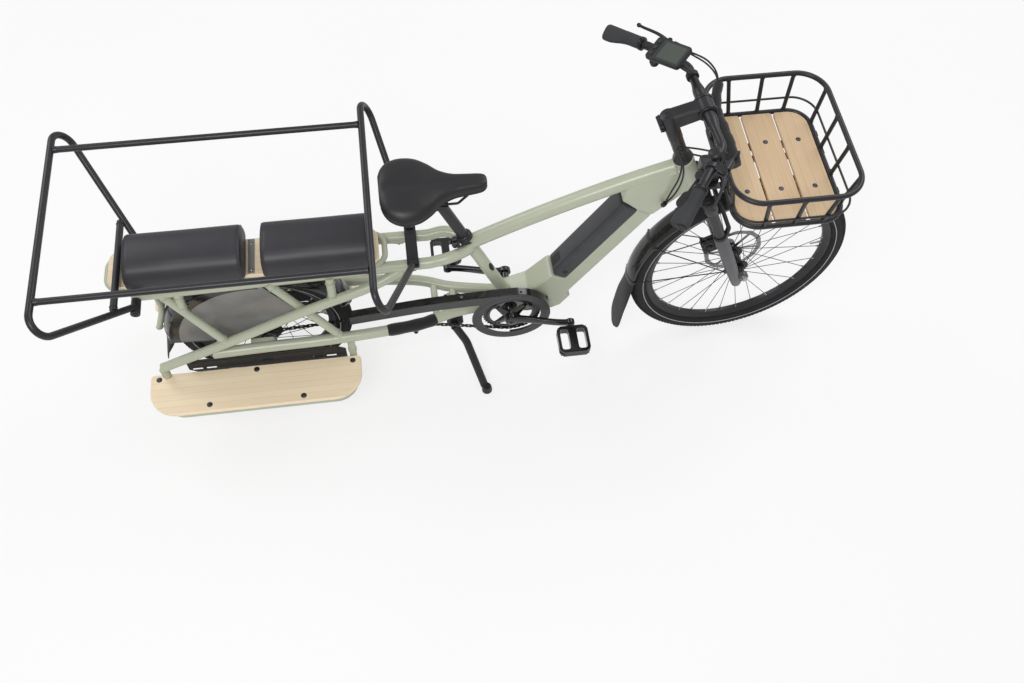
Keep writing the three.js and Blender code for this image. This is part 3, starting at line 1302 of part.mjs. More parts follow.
function beltOutline(offset) {
  const outline = [];
  chainWheels.forEach((wheel, i) => {
    const before = chainWheels[(i + chainWheels.length - 1) % chainWheels.length];
    const after = chainWheels[(i + 1) % chainWheels.length];
    const from = beltAngle(before, wheel);
    const full = 2 * Math.PI;
    const sweep = (((beltAngle(wheel, after) - from) * wheel.turn) % full + full) % full;
    const steps = Math.ceil(sweep / arcStep);
    const reach = wheel.radius + wheel.turn * offset;
    for (let k = 0; k <= steps; k += 1) {
      const angle = from + (wheel.turn * sweep * k) / steps - Math.PI / 2;
      outline.push(v2(wheel.x + wheel.turn * reach * Math.cos(angle),
        wheel.z + wheel.turn * reach * Math.sin(angle)));
    }
  });
  return outline;
}
add(bike, 'chain', plate(beltOutline(chainHalfHeight), -chainLine - chainHalfWidth,
  -chainLine + chainHalfWidth, [beltOutline(-chainHalfHeight)]), darkSteel);

const toothDepth = 3;
function sprocket(radius, teeth, hole) {
  const tip = (radius - chainHalfHeight) * Math.cos(arcStep / 2) - seat;
  const count = 2 * teeth;
  const outline = Array.from({ length: count }, (_, i) => {
    const reach = i % 2 === 0 ? tip : tip - toothDepth;
    return v2(reach * Math.cos((i * 2 * Math.PI) / count), reach * Math.sin((i * 2 * Math.PI) / count));
  });
  return plate(outline, -chainLine - sprocketHalf, -chainLine + sprocketHalf, [circlePoints(hole, 20)]);
}
const chainringTeeth = 42;
const cogTeeth = 18;
const idlerTeeth = 11;
const chainringHole = 64;
const cogBossRadius = 12;
const idlerBossRadius = 8;
const sprocketWithBoss = (radius, teeth, boss, axle, half) =>
  cut(join(sprocket(radius, teeth, axle + overrun),
    barY(0, 0, -chainLine - half, -chainLine + half, boss, 16)),
  barY(0, 0, -chainLine - tailHalf, 0, boreFor(axle, 12), 12));
add(bike, 'rear_cog', sprocketWithBoss(cogRadius, cogTeeth, cogBossRadius, axleRadius, chainHalfWidth)
  .translate(-wheelbase, 0, rearRadius), steel);
add(bike, 'chain_idler', sprocketWithBoss(idlerRadius, idlerTeeth, idlerBossRadius, idlerAxleRadius,
  chainHalfWidth).translate(idlerX, 0, idlerZ), darkSteel);

// Cranks: the left arm carries the axle, the right arm the chainring on a four-armed spider
const armTip = armInner + armFlare;
const armHalf = 14;
const armTipHalf = 11;
const spiderHalf = 9;
const bossRadius = 20;

function crankArm(side) {
  const heel = (y) => [v3(-armHalf, y, -armHalf), v3(-armHalf, y, armHalf), v3(armHalf, y, -armHalf),
    v3(armHalf, y, armHalf)];
  const toe = (y, half) => [v3(crankLength - half, y, -half), v3(crankLength - half, y, half),
    v3(crankLength + half, y, -half), v3(crankLength + half, y, half)];
  const arm = hull([heel(side * armInner), heel(side * (armInner + armThickness)),
    toe(side * armTip, armTipHalf), toe(side * (armTip + armThickness), armTipHalf)]);
  const pedalPin = barY(crankLength, 0, side * (armTip + overrun),
    side * (pedalInner + pedalWidth - overrun), pedalAxleRadius, 10);
  return [arm, pedalPin];
}

function crankRight() {
  const ring = sprocket(chainringRadius, chainringTeeth, chainringHole);
  const spider = [0, 1, 2, 3].map((i) => box(0, chainringHole + overrun * 2,
    -chainLine - sprocketHalf, -chainLine - 3 * sprocketHalf,
    -spiderHalf, spiderHalf).rotateY(((2 * i + 1) * Math.PI) / 4));
  const tie = washer(chainringHole - overrun, chainringHole + 2 * overrun,
    -chainLine - 3 * sprocketHalf, -chainLine + sprocketHalf, 0, 0, 20);
  const boss = barY(0, 0, -chainLine + sprocketHalf, -armInner - overrun, bossRadius, 16);
  const bore = barY(0, 0, -armInner - armThickness / 2, -downTubeHalf, boreFor(crankAxleRadius, 16), 16);
  return cut(join(ring, spider, tie, boss, crankArm(-1)), bore);
}

function crankLeft() {
  const arm = crankArm(1);
  const axle = barY(0, 0, -armInner, armInner + overrun, crankAxleRadius, 16);
  return join(axle, arm.map((piece) => piece.rotateY(Math.PI)));
}
add(bike, 'crank_right', crankRight().translate(crankX, 0, crankZ), darkSteel);
add(bike, 'crank_left', crankLeft().translate(crankX, 0, crankZ), satinBlack);

const pedalSpineHalf = 12;
const pedalWallShare = 0.2;
function pedal(side) {
  const [inner, outer] = [pedalInner, pedalInner + pedalWidth];
  const half = pedalThickness / 2;
  const shape = [v2(-pedalHalf, inner + pedalSpineHalf), v2(pedalSpineHalf - pedalHalf, inner),
    v2(pedalHalf - pedalSpineHalf, inner), v2(pedalHalf, inner + pedalSpineHalf),
    v2(pedalHalf, outer - pedalSpineHalf), v2(pedalHalf - pedalSpineHalf, outer),
    v2(pedalSpineHalf - pedalHalf, outer), v2(-pedalHalf, outer - pedalSpineHalf)];
  const wall = pedalWallShare * pedalHalf;
  const windows = [-1, 1].map((end) => box(end * pedalSpineHalf, end * (pedalHalf - wall),
    inner + pedalSpineHalf, outer - pedalSpineHalf, -half - overrun, half + overrun));
  const bore = barY(0, 0, inner - overrun, outer + overrun, boreFor(pedalAxleRadius, 12), 12);
  return flip(cut(slab(shape, -half, half), windows, bore), side);
}
add(bike, 'pedal_right', pedal(-1).translate(crankX + crankLength, 0, crankZ), darkPlastic);
add(bike, 'pedal_left', pedal(1).translate(crankX - crankLength, 0, crankZ), darkPlastic);

// Chain guard: a ring beside the chainring, a half-round rim over it and a channel above the upper run
const guardInner = 88;
const guardOuter = 117;
const guardWall = 2.5;
const guardFace = 77;
const guardDepth = 24;
const channelMidX = -933;
const channelEndX = -1165;
const channelMidDrop = 9;
const channelEndDrop = 37;
const channelHeight = 38;
const lugHalf = 6;
const lugAngle = THREE.MathUtils.degToRad(15);

function chainGuard() {
  const top = crankZ + guardOuter;
  const crest = [v2(crankX, top), v2(channelMidX, top - channelMidDrop),
    v2(channelEndX, top - channelEndDrop)];
  const under = (drop) => crest.slice().reverse().map((p) => v2(p.x, p.y - drop));
  const face = plate([...crest, ...under(channelHeight)], guardWall - guardFace, -guardFace);
  const roof = plate([...crest, ...under(guardWall)], guardDepth - guardFace, -guardFace);
  const ring = washer(guardInner, guardOuter, -guardFace, guardWall - guardFace, crankX, crankZ, 28);
  const rimWall = cut(washer(guardOuter - guardWall, guardOuter, -guardFace, guardDepth - guardFace,
    crankX, crankZ, 28), box(crankX - 2 * guardOuter, crankX, -guardFace + guardWall, 0,
    crankZ - 2 * guardOuter, crankZ + 2 * guardOuter));
  const lugX = crankX + (guardOuter - guardWall / 2) * Math.cos(lugAngle);
  const lugZ = crankZ + (guardOuter - guardWall / 2) * Math.sin(lugAngle);
  const lug = box(lugX - lugHalf, lugX + guardWall / 2, -downTubeHalf - seat,
    guardDepth - guardFace - overrun, lugZ - lugHalf, lugZ + lugHalf);
  const hole = barY(crankX, crankZ, -guardFace - overrun, -guardFace + guardWall + overrun, guardInner, 28);
  return join(cut(join(face, ring), hole), roof, rimWall, lug);
}
add(bike, 'chain_guard', chainGuard(), satinBlack);

// Seat post and its clamp, placed along the seat tube
const seatGroup = new THREE.Group();
seatGroup.position.copy(crankCentre);
seatGroup.rotation.y = seatTubeAngle - Math.PI / 2;
bike.add(seatGroup);
const collarHeight = 12;
const collarWall = 5;
const earReach = 36;
const earHalf = 8;
const clampPinRadius = 3;
const clampLeverLength = 48;
const clampLeverGap = 3;
const clampPinX = -30;

function seatClamp() {
  const top = seatTubeLength - overrun / 2;
  const bottom = top - collarHeight;
  const radius = seatTubeRadius + collarWall;
  const ears = box(-earReach, -seatTubeRadius, -earHalf, earHalf, bottom, top);
  const slit = box(-earReach - overrun, 0, -seat, seat, bottom - overrun, top + overrun);
  const pinY = -radius + collarWall / 2;
  const arm = box(-earReach, clampPinX + clampPinRadius, pinY - overrun, -earHalf + overrun, bottom,
    bottom + collarHeight / 4);
  const pin = barZ(clampPinX, pinY, bottom, top, clampPinRadius, 8);
  const bore = barZ(0, 0, bottom - overrun, top + overrun, boreFor(seatTubeRadius, 20), 20);
  return join(cut(join(barZ(0, 0, bottom, top, radius, 16), ears), bore, slit), arm, pin);
}
add(seatGroup, 'seat_clamp', seatClamp(), satinBlack);

function clampLever() {
  const top = seatTubeLength - overrun / 2;
  const bottom = top - collarHeight * 3 / 4 + seat;
  const pinY = -seatTubeRadius - collarWall / 2;
  const headRadius = clampPinRadius + 2 * overrun;
  const head = barZ(clampPinX, pinY, bottom, top, headRadius, 10);
  const outY = -seatTubeRadius - collarWall - clampLeverGap - headRadius / 2;
  const rail = [v3(clampPinX, pinY, 0), v3(clampPinX + headRadius, outY, 0),
    v3(clampPinX + clampLeverLength, outY, 0)];
  const handle = tube(rail.map((p) => v3(p.x, p.y, (bottom + top) / 2)), headRadius / 2, 8);
  const hole = barZ(clampPinX, pinY, bottom - overrun, top + overrun, boreFor(clampPinRadius, 8), 8);
  return cut(join(head, handle), hole);
}
add(seatGroup, 'seat_clamp_lever', clampLever(), satinBlack);

const headBlockFore = 22;
const headBlockHalf = 27;
const headBlockHeight = 15;
const postFoot = seatTubeLength - postInserted;
const postHead = onSeatTube(postFoot + postLength);
const railRodRadius = 3.5;
const railRodHalf = 21;
const railRodZ = postHead.z + headBlockHeight + railRodRadius + seat;

function seatPost() {
  const post = bar(onSeatTube(postFoot), postHead, postRadius, 16);
  const block = box(postHead.x - headBlockFore, postHead.x + headBlockFore,
    -headBlockHalf, headBlockHalf, postHead.z, postHead.z + headBlockHeight);
  const knuckle = barY(postHead.x, postHead.z, -postRadius, postRadius, postRadius, 12);
  return join(post, knuckle, block);
}
add(bike, 'seatpost', seatPost(), satinBlack);

// Saddle: a wide crowned rear that narrows to the nose, on two rods
const saddleBack = 151;
const saddleRise = 28.5;
const saddleRearX = postHead.x - saddleBack;
const saddleLength = 275;
const saddleHalf = 105;
const saddleBase = postHead.z + headBlockHeight + saddleRise;
const saddleHeight = 49;
const saddleSectionShares = [[0, 1], [0.45, 0.97], [0.8, 0.82], [0.97, 0.5], [1, 0.2], [0.93, 0],
  [0.5, 0.14], [0, 0.2]];
const saddleStationShares = [[0, 0.42, 0.5, 0.8], [0.03, 0.68, 0.25, 0.9], [0.09, 0.88, 0.1, 0.97],
  [0.2, 1, 0, 1], [0.34, 0.96, 0, 0.98], [0.46, 0.76, 0.04, 0.92], [0.56, 0.5, 0.1, 0.88],
  [0.68, 0.33, 0.16, 0.86], [0.82, 0.27, 0.2, 0.87], [0.93, 0.24, 0.26, 0.86],
  [0.98, 0.19, 0.36, 0.82], [1, 0.1, 0.5, 0.74]];

function saddle() {
  const section = bothSides(saddleSectionShares);
  const rings = saddleStationShares.map(([x, width, low, high]) => section.map(([y, z]) =>
    v3(saddleRearX + x * saddleLength, y * width * saddleHalf,
      saddleBase + (low + z * (high - low)) * saddleHeight)));
  const shell = loft(rings, section.map(([y, z]) => v2(y, z)));
  const inside = saddleBase + saddleHeight / 3;
  const rodShares = [[0.9, 0.3], [0.72, 1], [0.36, 1], [0.16, 1.6]];
  const rodAt = ([x, y], i) => v3(saddleRearX + x * saddleLength, y * railRodHalf,
    i === 1 || i === 2 ? railRodZ : inside);
  const route = rodShares.map(rodAt);
  return join(shell, tube(route, railRodRadius, 6), tube(route.map(mirrored), railRodRadius, 6));
}
add(bike, 'saddle', saddle(), vinyl);

// Basket: two round-cornered rims, leaning posts, a thin wire ring, and a bracket from the head tube
const rimRadius = 7;
const basketRise = 415;
const armBottom = frontRadius + basketRise;
const armHeight = 10;
const armTop = armBottom + armHeight;
const rimLift = 14;
const wireLift = 52;
const topRimLift = 135;
const topRimZ = armBottom + topRimLift;
const topRimHalf = 210;
const topRimFrontX = 161;
const topRimRearX = -170;
const topRimCorner = 75;
const bottomRimZ = armBottom + rimLift;
const bottomRimHalf = 191;
const bottomRimFrontX = 145;
const bottomRimRearX = -140;
const bottomRimCorner = 60;
const postWireRadius = 5.5;
const wireRadius = 3;
const wireZ = armBottom + wireLift;
const bracketHalf = 32;
const bracketTop = armBottom + wireLift;
const bracketRearX = -212;
const bracketFrontX = -150;
const armInnerY = 30;
const armOuterY = 48;
const sidePostShares = [0.24, 0.52, 0.78];
const frontPostShares = [-0.72, -0.24, 0.24, 0.72];
const rearPostShares = [-0.72, -0.42, 0.42, 0.72];
const rimLoop = (rearX, frontX, half, corner, z) =>
  roundedLoop(rectangle(rearX, frontX, -half, half, z), corner, 3);

function basketFrame() {
  const rims = [
    ringTube(rimLoop(topRimRearX, topRimFrontX, topRimHalf, topRimCorner, topRimZ), rimRadius, 6),
    ringTube(rimLoop(bottomRimRearX, bottomRimFrontX, bottomRimHalf, bottomRimCorner, bottomRimZ),
      rimRadius, 6)];
  const rise = (wireZ - bottomRimZ) / (topRimZ - bottomRimZ);
  const outside = postWireRadius + wireRadius - overrun;
  const lean = (low, high) => low + (high - low) * rise;
  const wireHalf = lean(bottomRimHalf, topRimHalf) + outside;
  const wire = ringTube(rimLoop(lean(bottomRimRearX, topRimRearX) - outside,
    lean(bottomRimFrontX, topRimFrontX) + outside, wireHalf, lean(bottomRimCorner, topRimCorner),
    wireZ), wireRadius, 4);
  const span = (from, to, share) => from + (to - from) * share;
  const sidePosts = sidePostShares.flatMap((share) => [-1, 1].map((side) => bar(
    v3(span(bottomRimRearX, bottomRimFrontX, share), side * bottomRimHalf, bottomRimZ),
    v3(span(topRimRearX, topRimFrontX, share), side * topRimHalf, topRimZ), postWireRadius, 6)));
  const endPosts = (shares, lowX, highX) => shares.map((share) =>
    bar(v3(lowX, share * bottomRimHalf, bottomRimZ), v3(highX, share * topRimHalf, topRimZ),
      postWireRadius, 6));
  const arms = [-1, 1].map((side) => box(bracketRearX + headTubeRadius, bottomRimFrontX,
    side * armInnerY, side * armOuterY, armBottom, armTop));
  const block = box(bracketRearX, bracketFrontX, -bracketHalf, bracketHalf, armBottom, bracketTop);
  const headSeat = bar(onAxis(headTubeBottom - headTubeRadius), onAxis(headTubeTop + headTubeRadius),
    boreFor(headTubeRadius, 20), 20);
  return cut(join(rims, wire, sidePosts, endPosts(frontPostShares, bottomRimFrontX, topRimFrontX),
    endPosts(rearPostShares, bottomRimRearX, topRimRearX), arms, block), headSeat);
}
add(bike, 'basket_frame', basketFrame(), satinBlack);

const plankCount = 3;
const plankThickness = 10;
const plankGap = 6;
const battenY = 80;
const battenHalf = 10;
const battenDepth = 10;

function basketFloor() {
  const inset = rimRadius + overrun;
  const bottom = armTop + seat;
  const [rearX, frontX] = [bottomRimRearX + inset, bottomRimFrontX - inset];
  const half = bottomRimHalf - inset;
  const board = roundedSlab(rearX, frontX, -half, half, bottomRimCorner - inset, bottom,
    bottom + plankThickness);
  const width = (frontX - rearX - (plankCount - 1) * plankGap) / plankCount;
  const pieces = [];
  for (let i = 0; i < plankCount; i += 1) {
    const from = rearX + i * (width + plankGap);
    pieces.push(shared(board, box(from, from + width, -half, half, bottom - overrun,
      bottom + 2 * plankThickness)));
    [-1, 1].forEach((side) => pieces.push(barZ(from + width / 2, side * battenY,
      bottom, bottom + plankThickness + boltHeight, boltRadius, 6)));
  }
  const battens = [-1, 1].map((side) => box(rearX + inset, frontX - inset,
    side * (battenY - battenHalf), side * (battenY + battenHalf),
    bottom - battenDepth, bottom + overrun));
  return join(pieces, battens);
}
add(bike, 'basket_floor', basketFloor(), bamboo);

// The whole bike stands on z = 0 with the middle of its footprint at the origin.
bike.updateMatrixWorld(true);
const bounds = new THREE.Box3().setFromObject(bike, true);
bike.position.set(-(bounds.min.x + bounds.max.x) / 2, -(bounds.min.y + bounds.max.y) / 2, 0);

export default bike;
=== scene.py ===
import math
import bpy
import bmesh
from mathutils import Matrix, Vector


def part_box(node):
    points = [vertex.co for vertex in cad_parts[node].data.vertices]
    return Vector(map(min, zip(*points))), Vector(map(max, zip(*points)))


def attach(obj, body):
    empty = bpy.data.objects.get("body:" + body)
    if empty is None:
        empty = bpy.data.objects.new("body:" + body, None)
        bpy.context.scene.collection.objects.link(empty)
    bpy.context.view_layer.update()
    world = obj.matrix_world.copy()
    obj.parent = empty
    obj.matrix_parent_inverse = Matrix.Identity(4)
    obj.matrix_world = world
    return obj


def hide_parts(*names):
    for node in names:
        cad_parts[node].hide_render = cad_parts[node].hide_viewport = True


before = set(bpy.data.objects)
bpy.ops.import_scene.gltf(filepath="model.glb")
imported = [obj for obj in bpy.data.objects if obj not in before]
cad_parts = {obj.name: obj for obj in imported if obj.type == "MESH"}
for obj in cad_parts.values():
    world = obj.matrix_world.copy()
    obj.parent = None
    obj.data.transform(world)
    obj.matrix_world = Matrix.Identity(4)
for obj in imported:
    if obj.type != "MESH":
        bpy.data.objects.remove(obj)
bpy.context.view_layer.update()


def V(x, y, z):
    return Vector((x, y, z))


# Places in the bike's own frame, in millimetres: x forward, the front axle's foot at 0, the floor at z = 0
MM = 0.001
DECK_REAR = 1770
deck_low, deck_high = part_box("rack_deck")
SHIFT = V(deck_low.x / MM + DECK_REAR, (deck_low.y + deck_high.y) / 2 / MM, 0)
HANDS = ((-1, "right"), (1, "left"))
BOTH = (-1, 1)
CRANK, IDLER, REAR_AXLE = V(-695, 0, 269), V(-980, 0, 238), V(-1420, 0, 258)
STAND_PIVOT = V(-861, 0, 185)
HEAD_FOOT, HEAD_ANGLE = V(-44.505, 0, 315.019), math.radians(68)
X, Y, Z = V(1, 0, 0), V(0, 1, 0), V(0, 0, 1)


def turn(degrees, axis):
    return Matrix.Rotation(math.radians(degrees), 4, axis)


def moved(p):
    return Matrix.Translation(p)


# The steering's own frame: z along the steering axis, x forward
STEERED = 4.34
TILTED = moved(HEAD_FOOT) @ turn(-22, "Y")
STEERING = TILTED @ turn(STEERED, "Z")
FRONT_AXLE = V(48, 0, 0)
LEG_X, LEG_Y = 22, 62
BAR_CLAMP = V(91, 0, 705)
SEAT = moved(CRANK) @ turn(-21.95, "Y")


def side_matrix(side):
    """The steering's frame, mirrored for the right side."""
    return STEERING if side > 0 else STEERING @ Matrix.Scale(-1, 4, Y)


# Helpers for points
def mirror(p):
    return V(p[0], -p[1], p[2])


def mix(a, b, t):
    return a + (b - a) * t


def ease(t):
    t = min(1, max(0, t))
    return t * t * (3 - 2 * t)


def angles(sides):
    return [2 * math.pi * k / sides for k in range(sides)]


def polar(radius, angle, y=0.0):
    return V(radius * math.cos(angle), y, radius * math.sin(angle))


def circle(radius, sides, x=0, y=0):
    return [(x + radius * math.cos(a), y + radius * math.sin(a)) for a in angles(sides)]


def rectangle(x0, x1, y0, y1, z=0):
    return [V(x0, y0, z), V(x1, y0, z), V(x1, y1, z), V(x0, y1, z)]


def block(xs, ys, zs):
    """Every corner that three sets of coordinates give."""
    return [V(x, y, z) for x in xs for y in ys for z in zs]


def wall(outline, ys):
    """An outline in x and z, repeated at each y."""
    return [V(x, y, z) for x, z in outline for y in ys]


def column(p, radius, sides, heights):
    """Rings of points about an upright line through p."""
    return [p + V(radius * math.cos(a), radius * math.sin(a), z) for z in heights for a in angles(sides)]


def flat(points, plane="xz"):
    return [(p.x, p.z if plane == "xz" else p.y) for p in points]


def listed(value):
    return value if isinstance(value, (list, tuple)) else [value]


def rounded(points, radius, steps=8, loop=False):
    """A line or loop of points with its corners made round."""
    points = [Vector(p) for p in points]
    n = len(points)
    path = [] if loop else [points[0]]
    for i in range(0 if loop else 1, n if loop else n - 1):
        corner = points[i]
        back, ahead = (points[i - 1] - corner).normalized(), (points[(i + 1) % n] - corner).normalized()
        half = back.angle(ahead) / 2
        centre = corner + (back + ahead).normalized() * radius / math.sin(half)
        a, b = (corner + way * radius / math.tan(half) - centre for way in (back, ahead))
        sweep = a.angle(b)
        for k in range(steps + 1):
            s = k / steps
            path.append(centre + (a * math.sin((1 - s) * sweep) + b * math.sin(s * sweep)) / math.sin(sweep))
    return path if loop else path + [points[-1]]


def soft_outline(corners, radius, steps):
    """A loop of flat (x, y) corners with its corners made round."""
    return flat(rounded([V(x, y, 0) for x, y in corners], radius, steps, loop=True), "xy")


def spline(a, b, c, d, t):
    """A place on the smooth curve from b to c, for numbers or for points."""
    return 0.5 * (2 * b + (c - a) * t + (2 * a - 5 * b + 4 * c - d) * t * t + (3 * b - a - 3 * c + d) * t ** 3)


def flow(points, steps=6):
    """A smooth curve through points."""
    points = [Vector(p) for p in points]
    full = [points[0] * 2 - points[1], *points, points[-1] * 2 - points[-2]]
    path = [spline(*full[i:i + 4], k / steps) for i in range(len(points) - 1) for k in range(steps)]
    return path + [points[-1]]


def smooth_table(rows, steps):
    """Rows of numbers with smooth steps put between them."""
    full = [rows[0], *rows, rows[-1]]
    table = [[spline(*values, k / steps) for values in zip(*full[i:i + 4])]
             for i in range(len(rows) - 1) for k in range(steps)]
    return table + [list(rows[-1])]


# Camera at the photograph's viewing angle
def look():
    yaw, pitch, roll = (math.radians(degrees) for degrees in (9.681, 59.336, 2.448))
    place = V(-955.85, -1637.15, 2791.02)
    sensor_mm, focal_pixels, picture_pixels = 36, 1001.66, 1024
    ahead = V(math.sin(yaw) * math.cos(pitch), math.cos(yaw) * math.cos(pitch), -math.sin(pitch))
    right = ahead.cross(Z).normalized()
    up = right.cross(ahead)
    side = right * math.cos(roll) + up * math.sin(roll)
    top = up * math.cos(roll) - right * math.sin(roll)
    data = bpy.data.cameras.new("camera")
    data.sensor_fit = "HORIZONTAL"
    data.sensor_width = sensor_mm
    data.lens = sensor_mm * focal_pixels / picture_pixels
    data.clip_end = 60
    camera = bpy.data.objects.new("camera", data)
    camera.matrix_world = moved((place + SHIFT) * MM) @ Matrix((side, top, -ahead)).transposed().to_4x4()
    bpy.context.scene.collection.objects.link(camera)
    bpy.context.scene.camera = camera


look()


# Materials
class Tree:
    """The node tree of a material or world, with short calls for the nodes that are used most."""
    def __init__(self, block, empty=False):
        block.use_nodes = True
        self.block, self.nodes, self.links = block, block.node_tree.nodes, block.node_tree.links
        if empty:
            self.nodes.clear()

    def feed(self, socket, value):
        if isinstance(value, bpy.types.NodeSocket):
            self.links.new(value, socket)
        else:
            socket.default_value = value

    def add(self, kind, settings=(), **inputs):
        """A new node: its settings first, then its inputs by name, with _ for a space."""
        node = self.nodes.new("ShaderNode" + kind)
        for key, value in settings:
            setattr(node, key, value)
        for key, value in inputs.items():
            self.feed(node.inputs[key.replace("_", " ")], value)
        return node

    def maths(self, operation, *values):
        node = self.add("Math", [("operation", operation)])
        for socket, value in zip(node.inputs, values):
            self.feed(socket, value)
        return node.outputs[0]

    def coords(self):
        return self.add("TexCoord").outputs["Object"]

    def noise(self, scale, detail, stretch=None, distort=0.0):
        coords = self.coords()
        if stretch:
            coords = self.add("Mapping", Scale=stretch, Vector=coords).outputs["Vector"]
        return self.add("TexNoise", Scale=scale, Detail=detail, Distortion=distort,
                        Vector=coords).outputs["Fac"]

    def ramp(self, value, stops):
        node = self.add("ValToRGB", Fac=value)
        elements = node.color_ramp.elements
        while len(elements) < len(stops):
            elements.new(0.5)
        for element, (place, colour) in zip(elements, stops):
            element.position = place
            element.color = (*colour, 1)
        return node.outputs["Color"]

    def tones(self, value, colour, down, up):
        """The colour made darker and paler by the value."""
        stops = ((0.3, down), (0.7, up))
        return self.ramp(value,
                         [(place, tuple(min(1, c * factor) for c in colour)) for place, factor in stops])

    def span(self, value, low, high):
        return self.add("MapRange", To_Min=low, To_Max=high, Value=value).outputs["Result"]

    def finish(self, height, strength, distance, **inputs):
        """The main shader's inputs by name, and a bump from the height."""
        shader = self.nodes["Principled BSDF"]
        bump = self.add("Bump", Strength=strength, Distance=distance, Height=height)
        for key, value in {"Normal": bump.outputs["Normal"], **inputs}.items():
            self.feed(shader.inputs[key.replace("_", " ")], value)
        return self.block


def surface(name, colour, rough, metal=0.0, grain=400, strength=0.1, distance=0.0002, spread=0.12, coat=0.0,
            cloud=9, specular=0.5, pores=0, alpha=1.0):
    """A plain finish with broad tones, a fine grain and, where asked, pores as of a skin."""
    tree = Tree(bpy.data.materials.new(name))
    fine = tree.noise(grain, 3)
    height = fine
    if pores:
        edges = [("feature", "DISTANCE_TO_EDGE")]
        height = tree.add("TexVoronoi", edges, Scale=pores, Vector=tree.coords()).outputs["Distance"]
    return tree.finish(height, strength, distance,
                       Base_Color=tree.tones(tree.noise(cloud, 4), colour, 1 - spread, 1 + spread),
                       Roughness=tree.span(fine, max(0.02, rough - 0.08), min(1, rough + 0.08)),
                       Metallic=metal, Coat_Weight=coat, Coat_Roughness=0.12,
                       Specular_IOR_Level=specular, Alpha=alpha)


def wood(name, along, pale, dark, strip=0.02):
    """Laminated bamboo: strips side by side, each of its own tone, with long fibres and dark seams."""
    tree = Tree(bpy.data.materials.new(name))
    across = "Y" if along == "x" else "X"
    fibre = tree.noise(6, 6, (1.2, 60, 20) if along == "x" else (60, 1.2, 20), 0.4)
    cloud = tree.noise(5, 3, (1, 6, 1) if along == "x" else (6, 1, 1))
    split = tree.add("SeparateXYZ", Vector=tree.coords())
    band = tree.maths("DIVIDE", split.outputs[across], strip)
    tone = tree.add("TexWhiteNoise", [("noise_dimensions", "1D")],
                    W=tree.maths("FLOOR", band)).outputs["Value"]
    mixed = tree.maths("MULTIPLY_ADD", tone, 0.3, tree.span(fibre, 0.05, 0.6))
    total = tree.maths("MULTIPLY_ADD", cloud, 0.35, mixed)
    middle = tuple((a + b) / 2 for a, b in zip(pale, dark))
    body = tree.ramp(total, [(0.2, dark), (0.55, middle), (0.9, pale)])
    seam = tree.ramp(tree.maths("FRACT", band),
                     [(0.0, (0.62, 0.55, 0.45)), (0.05, (1, 1, 1)), (1.0, (1, 1, 1))])
    multiply = [("data_type", "RGBA"), ("blend_type", "MULTIPLY")]
    both = tree.add("Mix", multiply, Factor=0.8, A=body, B=seam).outputs["Result"]
    return tree.finish(fibre, 0.15, 0.0003, Base_Color=both, Roughness=tree.span(fibre, 0.45, 0.62))


def knit(name, colour):
    """Ribbed neoprene with a fine knit."""
    tree = Tree(bpy.data.materials.new(name))
    cells = tree.add("TexVoronoi", Scale=900, Vector=tree.coords()).outputs["Distance"]
    broad = tree.noise(40, 3)
    return tree.finish(cells, 0.6, 0.0006, Base_Color=tree.tones(broad, colour, 0.8, 1.25),
                       Roughness=tree.span(broad, 0.85, 1.0), Sheen_Weight=0.3)


